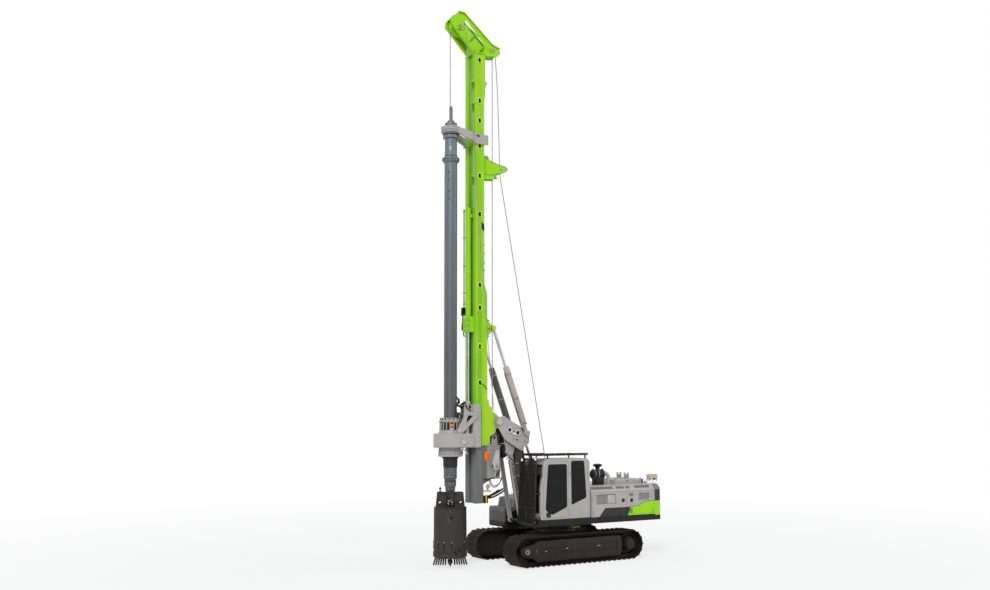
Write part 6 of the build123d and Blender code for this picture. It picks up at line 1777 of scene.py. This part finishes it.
case.both(turned_shape([(0, 0), (0.062, 0), (0.062, 0.008), (0.05, 0.016), (0.03, 0.016),
                        (0.022, 0.008), (0, 0.008)], at(3.60, 0.5145, 3.70), SIDE, 28), "cap_pale")
for x in (3.22, 3.36, 3.50, 3.64):
    case.both(bolt(at(x, 0.46, 3.868), (0, 0, 1), 0.011), "pale")
lug = [at(3.56, 0.30, 3.54), at(3.66, 0.30, 3.54), at(3.655, 0.30, 3.47), at(3.61, 0.30, 3.435),
       at(3.565, 0.30, 3.47)]
case.both(plate([p + Vector((0, 0.13, 0)) for p in lug], (0, 0.03, 0), 0.006), "cap_pale")
case.both(rod(at(3.61, 0.425, 3.485), at(3.61, 0.466, 3.485), 0.018, sides=14), "black")
stay = [at(3.57, 0.42, 3.50), at(3.50, 0.42, 3.42), at(3.43, 0.42, 3.33), at(3.40, 0.42, 3.34),
        at(3.50, 0.42, 3.50)]
case.both(plate(stay, (0, 0.016, 0), 0.003), "cap_pale")
for angle in range(15, 360, 30):
    case.add(bolt(around(0.350, angle, 3.335), (0, 0, 1), 0.014), "bright")
case.add(turned_shape([(0.19, 0), (0.20, 0.0), (0.20, -0.02), (0, -0.02), (0, -0.06), (0.15, -0.07),
                       (0.20, -0.13), (0.20, -0.20), (0.15, -0.26), (0, -0.28), (0, 0), (0.19, 0)],
                      at(3.40, -0.28, 3.54), sides=32), "black")
case.add(turned_shape([(0, 0), (0.215, 0), (0.215, -0.05), (0.20, -0.055), (0, -0.055)],
                      at(3.40, -0.28, 3.54), sides=32), "beige")
for side in (-1, 1):
    y = side * 0.23
    case.add(turned_shape([(0.10, 0), (0.118, 0), (0.118, 0.018), (0.10, 0.022)],
                          at(3.36, y, 3.962), sides=28), "cap_pale")
    case.add(turned_shape(hoop(0.075, 0.098, 0, 0.016), at(3.36, y, 4.24), sides=28), "bright")
    case.add(turned_shape([(0, 0), (0.055, 0), (0.06, 0.03), (0.05, 0.05), (0, 0.055)],
                          at(3.36, y, 4.33), sides=24), "black")
    for step in range(6):
        case.add(bolt(at(3.36 + 0.088 * cos(step * pi / 3), y + 0.088 * sin(step * pi / 3), 4.256),
                      (0, 0, 1), 0.008), "bright")
for side in (-1, 1):
    for number in range(4):
        reach = 0.30 + 0.045 * number
        top = 4.80 + 0.05 * (number % 3)
        start = at(3.40 - 0.04 * number, side * (0.17 + 0.05 * number), 4.32 + 0.02 * number)
        hose = [start, start + Vector((0.02, side * 0.05, 0.22)),
                at(3.56 - 0.03 * number, side * reach, top - 0.05),
                at(3.62 - 0.04 * number, side * (reach + 0.02), top + 0.04),
                at(3.48, side * (reach - 0.02), top + 0.05 - 0.03 * number),
                at(3.34, side * (0.31 - 0.04 * number), 4.82),
                at(3.24, side * (0.28 - 0.05 * number), 4.74)]
        case.add(tube(hose, 0.019, 8, 6), "rubber" if number else "black")
case.done("link_grey")

carriage = Piece("carriage_fittings", "carriage", "pale", "black", "bright", "cap_pale", "rubber",
                 "beige")
for x, z in ((3.06, 4.515), (3.11, 4.44), (3.66, 4.03), (3.59, 4.03), (3.44, 4.78)):
    carriage.both(bolt(at(x, 0.408, z), SIDE, 0.016), "cap_pale")
carriage.both(turned_shape([(0, 0), (0.05, 0), (0.05, 0.012), (0.03, 0.02), (0, 0.02)],
                           at(3.68, 0.408, 4.04), SIDE, 24), "cap_pale")
for z in (3.62, 3.86, 4.10, 4.34, 4.58, 4.80):
    carriage.both(bolt(at(2.955, 0.371, z), SIDE, 0.013), "bright")
for z in (3.60, 4.78):
    carriage.both(bar(at(2.93, 0.370, z), at(3.05, 0.377, z + 0.03), 0.004), "cap_pale")
carriage.both(rod(at(3.35, 0.34, 4.885), at(3.35, 0.42, 4.885), 0.035, sides=20, rounded=0.006),
              "cap_pale")
carriage.both(bar(at(3.31, 0.345, 4.84), at(3.39, 0.40, 4.895), 0.008), "cap_pale")
carriage.add(rod(at(3.14, 0.0, 4.852), at(3.14, 0.0, 4.95), 0.062, 0.052, 24, 0.006), "cap_pale")
carriage.add(bar(at(3.08, -0.30, 4.795), at(3.22, 0.30, 4.835), 0.006), "cap_pale")
for y, reach in ((-0.36, 5.09), (-0.30, 5.04)):
    carriage.add(tube([at(3.44, y, 4.86), at(3.42, y + 0.01, 4.98), at(3.38, y + 0.02, reach)],
                      0.024, 8, 3), "cap_pale")
    carriage.add(tube([at(3.52, y - 0.02, 4.84), at(3.47, y, 4.97), at(3.38, y + 0.02, reach)],
                      0.020, 8, 3), "beige")
    carriage.add(tube([at(3.30, y, 4.86), at(3.26, y - 0.02, 5.0), at(3.32, y, reach),
                       at(3.40, y, reach)], 0.022, 8, 4), "rubber")
carriage.done("link_grey")

# %% [markdown]
# ## Kelly bar
#
# The ring at its top rests on a dark collar with a bright edge. Rows of short lock slots
# are cut below the stop collar, and rings mark the damper spring above the bucket.

# %% Kelly guide, tube and spring fittings
guide = Piece("kelly_guide_fittings", "kelly_guide", "pale", "black", "bright", "leaf", "cap_pale")
guide.add(turned_shape([(0.25, 0), (0.315, 0), (0.322, 0.012), (0.315, 0.024), (0.25, 0.024)],
                       around(0, 0, 13.40), sides=48), "cap_pale")
guide.add(turned_shape(hoop(0.301, 0.309, 0, 0.014), around(0, 0, 13.30), sides=48), "black")
for turn in ring(16, AXIS):
    guide.add(bolt(around(0.275, 0, 13.430), (0, 0, 1), 0.014), "bright", [turn])
for z in (12.99, 13.09, 13.21):
    for x in (2.70, 2.88, 3.08):
        guide.both(bolt(at(x, 0.3658, z), SIDE, 0.012), "bright")
guide.both(bar(at(2.94, 0.3659, 13.17), at(3.05, 0.3700, 13.21), 0.002), "black")
guide.done("kelly_grey")

kelly_bits = Piece("kelly_tube_fittings", "kelly", "black", "bright", "kelly", "cap_pale")
for turn in (0, 120, 240):
    for base in (11.95, 11.72, 11.35, 11.12):
        for side in (-1, 1):
            angle = turn + 35 + side * 6.5
            foot = around(0.1885, angle, base)
            out = Vector((cos(radians(angle)), sin(radians(angle)), 0))
            across = Vector((-out.y, out.x, 0))
            slot = [foot - across * 0.028, foot + across * 0.028,
                    foot + across * 0.036 + Vector((0, 0, 0.05)),
                    foot + across * 0.024 + Vector((0, 0, 0.05)),
                    foot + across * 0.018 + Vector((0, 0, 0.016)),
                    foot - across * 0.028 + Vector((0, 0, 0.016))]
            kelly_bits.add(plate(slot, out * 0.004, 0.001), "black")
kelly_bits.add(turned_shape([(0.189, 0), (0.200, 0.004), (0.200, 0.022), (0.189, 0.026)],
                            around(0, 0, 12.52), sides=40), "kelly")
kelly_bits.add(turned_shape([(0.2455, 0), (0.249, 0.005), (0.249, 0.03), (0.2455, 0.035)],
                            around(0, 0, 13.16), sides=48), "black")
kelly_bits.add(turned_shape([(0.271, 0), (0.273, 0.01), (0.271, 0.02)], around(0, 0, 12.385),
                            sides=48), "black")
patch = [around(0.1895, a, z) for a, z in ((48, 12.66), (66, 12.66), (66, 12.80), (48, 12.80))]
kelly_bits.add(plate(patch, Vector((cos(radians(57)), sin(radians(57)), 0)) * 0.004, 0.001),
               "cap_pale")
for z in (13.70, 13.76, 13.82, 13.88, 13.94):
    kelly_bits.add(turned_shape([(0.048, 0), (0.056, 0.004), (0.056, 0.02), (0.048, 0.024)],
                                around(0, 0, z), sides=24), "kelly")
kelly_bits.add(rod(at(3.77, -0.055, 14.055), at(3.77, 0.055, 14.055), 0.020, sides=16,
                   rounded=0.004), "bright")
kelly_bits.done("kelly_grey")

coils = Piece("damper_coils", "kelly", "bright", "kelly", "black")
for number in range(4):
    z = 2.615 + 0.082 * number
    coils.add(turned_shape([(0.187, z), (0.200, z + 0.012), (0.200, z + 0.046), (0.187, z + 0.058)],
                           AXIS, sides=48), "kelly")
    coils.add(turned_shape([(0.1885, z + 0.060), (0.1935, z + 0.063), (0.1935, z + 0.071),
                            (0.1885, z + 0.074)], AXIS, sides=48), "bright")
coils.done("kelly_grey")
spring = Piece("damper_foot", "kelly_inner", "black", "bright", "kelly", "bucket")
spring.add(turned_shape([(0, 2.39), (0.176, 2.39), (0.176, 2.56), (0.160, 2.575), (0.160, 2.594),
                         (0, 2.594)], AXIS, sides=48), "kelly")
for turn in ring(8, AXIS):
    spring.add(bolt(around(0.1765, 0, 2.47), (1, 0, 0), 0.010), "bright", [turn])
spring.add(turned_shape([(0.1765, 0), (0.182, 0.004), (0.182, 0.020), (0.1765, 0.024)],
                        around(0, 0, 2.53), sides=40), "bucket")
spring.done("kelly_grey")

sleeve = Piece("drive_sleeve_bands", "drive_sleeve", "black", "bright", "cone_rubber")
for z, radius in ((3.235, 0.2460), (3.03, 0.216)):
    sleeve.add(turned_shape([(radius, -0.010), (radius + 0.006, -0.007), (radius + 0.006, 0.007),
                             (radius, 0.010)], around(0, 0, z), sides=48), "cone_rubber")
sleeve.done("kelly_grey")

# %% [markdown]
# ## Bucket
#
# The opening lever and its latch stand between the frame plates. Straps with bolts run up
# from the cutting ring, the gate hangs on a big hinge ring, and the teeth are worn bright.

# %% Bucket fittings
def turned_box(low, high, rounded=0.004):
    """A block drawn along the bucket's own axes."""
    return hung(bar(low, high, rounded))


bucket = Piece("bucket_fittings", "kelly_inner", "bucket", "black", "bright", "machined")
for y in (-1, 1):
    for x in (-0.31, 0.31):
        eye = turned_shape([(0.039, 0), (0.056, 0), (0.056, 0.008), (0.039, 0.010)],
                           (x, 0.171, 1.915), SIDE, 24)
        bmesh.ops.transform(eye, matrix=TURN @ MIRRORED[0 if y > 0 else 1], verts=eye.verts)
        if y < 0:
            bmesh.ops.reverse_faces(eye, faces=eye.faces)
        bucket.add(eye, "bucket")
bucket.add(turned_box((-0.115, 0.152, 1.80), (0.115, 0.160, 2.17)), "black")
bucket.add(turned_box((-0.022, 0.160, 1.86), (0.012, 0.185, 2.255), 0.006), "machined")
bucket.add(turned_box((-0.010, 0.166, 2.02), (0.10, 0.182, 2.05), 0.004), "black")
for z in (1.86, 1.94, 2.02, 2.11):
    bucket.add(hung(bolt((-0.045, 0.160, z), SIDE, 0.014)), "bright")
for low, high in (((-0.20, 0.160, 1.905), (-0.07, 0.185, 1.94)),
                  ((0.05, 0.160, 1.87), (0.20, 0.185, 1.90)),
                  ((-0.12, 0.160, 1.83), (0.14, 0.188, 1.86)),
                  ((0.09, 0.162, 1.90), (0.12, 0.18, 2.16)),
                  ((-0.19, 0.160, 2.165), (0.30, 0.172, 2.185))):
    bucket.add(turned_box(low, high, 0.005), "black")
latch = [Vector((-0.06, 0.19, 1.90)), Vector((-0.02, 0.20, 1.97)), Vector((0.05, 0.20, 2.0)),
         Vector((0.09, 0.19, 1.93)), Vector((0.06, 0.185, 1.85))]
bucket.add(tube([TURN @ p for p in latch], 0.012), "bright")
post = turned_shape([(0, 0), (0.035, 0), (0.035, 0.03), (0.018, 0.035), (0.018, 0.09),
                     (0.034, 0.10), (0.034, 0.135), (0.014, 0.15), (0, 0.155)], (0.31, 0.141, 2.22),
                    sides=20)
bucket.add(hung(post), "black")
for angle in (14, 40, 66, 118, 160, 215, 270, 325):
    foot = around(0.4965, angle, 0.56)
    out = Vector((cos(radians(angle)), sin(radians(angle)), 0))
    across = Vector((-out.y, out.x, 0)) * 0.016
    strap = [foot - across, foot + across, foot + across + Vector((0, 0, 0.20)),
             foot - across + Vector((0, 0, 0.20))]
    bucket.add(plate(strap, out * 0.010, 0.003), "black")
    bucket.add(bolt(foot + Vector((0, 0, 0.215)) + out * 0.001, out, 0.015), "bright")
    bucket.add(bolt(foot + Vector((0, 0, 0.02)) + out * 0.010, out, 0.010), "machined")
rim_at = around(0.492, 65, 1.50)
bucket.add(turned_shape([(0.049, 0), (0.062, 0), (0.062, 0.010), (0.052, 0.014), (0.049, 0.008)],
                        rim_at, (cos(radians(65)), sin(radians(65)), 0), 32), "bucket")
bucket.add(turned_shape([(0.4865, 1.74), (0.4905, 1.744), (0.4905, 1.762), (0.4865, 1.766)], AXIS,
                        sides=64), "black")
bucket.done("bucket_steel")

# %% [markdown]
# ## Ropes and hose bundles
#
# Steel ropes run tight from the winches up behind the mast and over the head's sheaves, so
# they are straight between their guides. A second rope hangs along the mast to a hook
# block. Hoses come off the machine in a bundle, loop below the mast and fan out upward.

# %% Ropes on the mast
ropes = Piece("mast_ropes", "mast", "rope", "black", "bright", "cap_pale", "green_cap")
ROPE = 0.013
ropes.add(tube([at(2.25, 0.05, 16.32), at(2.10, 0.05, 16.05), at(2.06, 0.05, 14.0),
                at(2.02, 0.05, 12.35)], ROPE, steps=2), "rope")
ropes.add(rod(at(2.19, -0.11, 16.12), at(2.22, -0.11, 3.90), ROPE, sides=8), "rope")
ropes.add(rod(at(3.46, 0.02, 16.99), at(2.42, 0.02, 16.34), ROPE, sides=8), "rope")
ropes.add(tube([at(3.41, 0.26, 16.62), at(3.36, 0.44, 15.4), at(3.11, 0.44, 11.1),
                at(2.80, 0.44, 7.7), at(2.385, 0.45, 3.46)], 0.009, steps=3), "rope")
for number in range(14):
    ropes.add(turned_shape([(0.118, -0.011), (0.131, -0.006), (0.131, 0.006), (0.118, 0.011)],
                           at(2.33, -0.155 + 0.024 * number, 3.825), SIDE, 24), "rope")
block = [at(2.385, 0.45, 3.47), at(2.35, 0.45, 3.38), at(2.33, 0.45, 3.05), at(2.36, 0.45, 2.88),
         at(2.45, 0.45, 2.83),
         at(2.54, 0.45, 2.88), at(2.57, 0.45, 3.02), at(2.50, 0.45, 3.24), at(2.42, 0.45, 3.42)]
for y in (-0.05, 0.03):
    ropes.add(plate([p + Vector((0, y, 0)) for p in block], (0, 0.02, 0), 0.005), "cap_pale")
ropes.add(turned_shape([(0, -0.028), (0.115, -0.028), (0.10, 0), (0.115, 0.028), (0, 0.028)],
                       at(2.45, 0.45, 2.98), SIDE, 32), "black")
ropes.add(turned_shape([(0, 0), (0.07, 0), (0.07, 0.012), (0.03, 0.018), (0, 0.018)],
                       at(2.45, 0.50, 2.98), SIDE, 28), "bright")
ropes.add(bolt(at(2.45, 0.518, 2.98), SIDE, 0.016), "green_cap")
ropes.add(tube([at(2.45, 0.45, 2.84), at(2.45, 0.45, 2.74), at(2.50, 0.45, 2.66),
                at(2.46, 0.45, 2.60), at(2.41, 0.45, 2.63)], 0.016), "cap_pale")
ropes.done("drum_steel")

# %% Ropes to the winch and down to the bar
winch = Piece("winch_rope_turns", "house", "rope")
for number in range(18):
    winch.add(turned_shape([(0.186, -0.012), (0.203, -0.007), (0.203, 0.007), (0.186, 0.012)],
                           at(-0.06, -0.215 + 0.025 * number, 1.79), SIDE, 28), "rope")
winch.done("drum_steel")
drum_end, guide_end = at(0.10, 0, 1.97), at(2.005, 0, 12.26)
line = Piece("winch_rope", "triangle", "rope").add(rod(drum_end, guide_end, ROPE, sides=8))
line.done("drum_steel", between=("mast", drum_end, guide_end))
Piece("kelly_rope", "mast", "rope").add(rod(at(3.79, 0, 12.60), at(3.80, 0, 16.62), ROPE,
                                            sides=8)).done("drum_steel")
low_end, top_end = at(3.79, 0, 14.11), at(3.793, 0, 14.60)
reach = Piece("kelly_rope_reach", "kelly_guide",
              "rope").add(rod(low_end, top_end, ROPE - 0.001, sides=8))
reach.done("drum_steel", between=("carriage", low_end, top_end))
swivel = Piece("kelly_rope_socket", "kelly_guide", "bright", "rope")
swivel.add(rod(at(3.79, 0, 14.085), at(3.79, 0, 14.22), 0.024, 0.016, 12, 0.003),
           "bright").done("kelly_grey")

# %% Hose bundles
bundle = Piece("machine_hoses", "triangle", "rubber", "black", "bright")
for number in range(9):
    y = -0.26 + 0.055 * number
    slack = 0.03 * (number % 3)
    bundle.add(tube([at(1.62, y, 3.98), at(1.84, y, 4.22 - slack), at(1.93 + slack, y * 0.9, 4.02),
                     at(1.98, y * 0.8, 3.62 - slack),
                     at(1.96 - slack, y * 0.7, 3.3), at(1.92, y * 0.7, 3.12 + slack),
                     at(1.80, y * 0.9, 3.36)], 0.020, 8, 5), "rubber" if number % 2 else "black")
bundle.add(bar(at(1.90, -0.24, 3.62), at(2.01, 0.24, 3.66), 0.008), "bright")
bundle.done("guard_black")

# %% [markdown]
# ## Floor and light
#
# The rig stands on a pale floor in even light. The floor looks white to the camera and to
# reflections, yet still takes the rig's shadow, because only half of its light is its own.

# %% Floor
def pale_floor():
    """A floor that looks white to the camera and still takes shadows."""
    recipe = Recipe("pale_floor")
    paths = recipe.node("ShaderNodeLightPath", {}, {}, "Is Camera Ray")
    seen = paths.most(Wire(recipe, paths.socket.node.outputs["Is Glossy Ray"]))
    seen = seen.most(Wire(recipe, paths.socket.node.outputs["Is Transmission Ray"]))
    grain = recipe.noise(0.6, 3).rise(0.2, 0.8)
    lit = recipe.node("ShaderNodeBsdfDiffuse", {},
                      {"Color": recipe.mix(grain, (0.80, 0.80, 0.80), (0.84, 0.84, 0.84))})
    glow = recipe.node("ShaderNodeEmission", {}, {"Color": (1, 1, 1, 1), "Strength": 1.0})
    x, y = recipe.axes()[:2]
    far = ((x * x + y * y) ** 0.5).rise(9.0, 30.0)
    recipe.node_output(recipe.node("ShaderNodeMixShader", {},
                                   {0: seen * (far * 0.30 + 0.70), 1: lit, 2: glow}))
    return recipe.material


bm = bmesh.new()
bmesh.ops.create_circle(bm, cap_ends=True, segments=64, radius=120)
mesh = bpy.data.meshes.new("floor")
bm.to_mesh(mesh)
bm.free()
floor = in_scene("floor", mesh)
floor.location.z = cad_box[0][2] - 0.002
floor.data.materials.append(pale_floor())
floor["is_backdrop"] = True

# %% Light
world = bpy.data.worlds.new("studio")
bpy.context.scene.world = world
world.use_nodes = True
tree = world.node_tree
paths, mixer = tree.nodes.new("ShaderNodeLightPath"), tree.nodes.new("ShaderNodeMixShader")
soft, white = tree.nodes["Background"], tree.nodes.new("ShaderNodeBackground")
for background, colour, strength in ((soft, (0.93, 0.96, 1.0, 1), 0.55),
                                     (white, (1, 1, 1, 1), 1.0)):
    background.inputs["Color"].default_value = colour
    background.inputs["Strength"].default_value = strength
shown = paths.outputs["Is Camera Ray"]
for kind in ("Is Glossy Ray", "Is Transmission Ray"):
    either = tree.nodes.new("ShaderNodeMath")
    either.operation = "MAXIMUM"
    tree.links.new(shown, either.inputs[0])
    tree.links.new(paths.outputs[kind], either.inputs[1])
    shown = either.outputs[0]
tree.links.new(shown, mixer.inputs[0])
tree.links.new(soft.outputs[0], mixer.inputs[1])
tree.links.new(white.outputs[0], mixer.inputs[2])
tree.links.new(mixer.outputs[0], tree.nodes["World Output"].inputs[0])
for name, strength, angle, aim in (("key_sun", 1.8, 18, (-0.75, -0.75, -0.72)),
                                   ("fill_sun", 0.5, 40, (0.9, -0.5, -0.4))):
    lamp = bpy.data.lights.new(name, "SUN")
    lamp.energy, lamp.angle = strength, radians(angle)
    sun = in_scene(name, lamp)
    sun.matrix_world = Vector(aim).to_track_quat("-Z", "Y").to_matrix().to_4x4()

# %% [markdown]
# ## Sizes
#
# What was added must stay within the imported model's box, so both boxes are written out.

# %% Boxes
shown_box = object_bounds()
grown = [round(a - b, 3) for low, high in zip(cad_box, shown_box) for a, b in zip(low, high)]
print("grown by", grown)
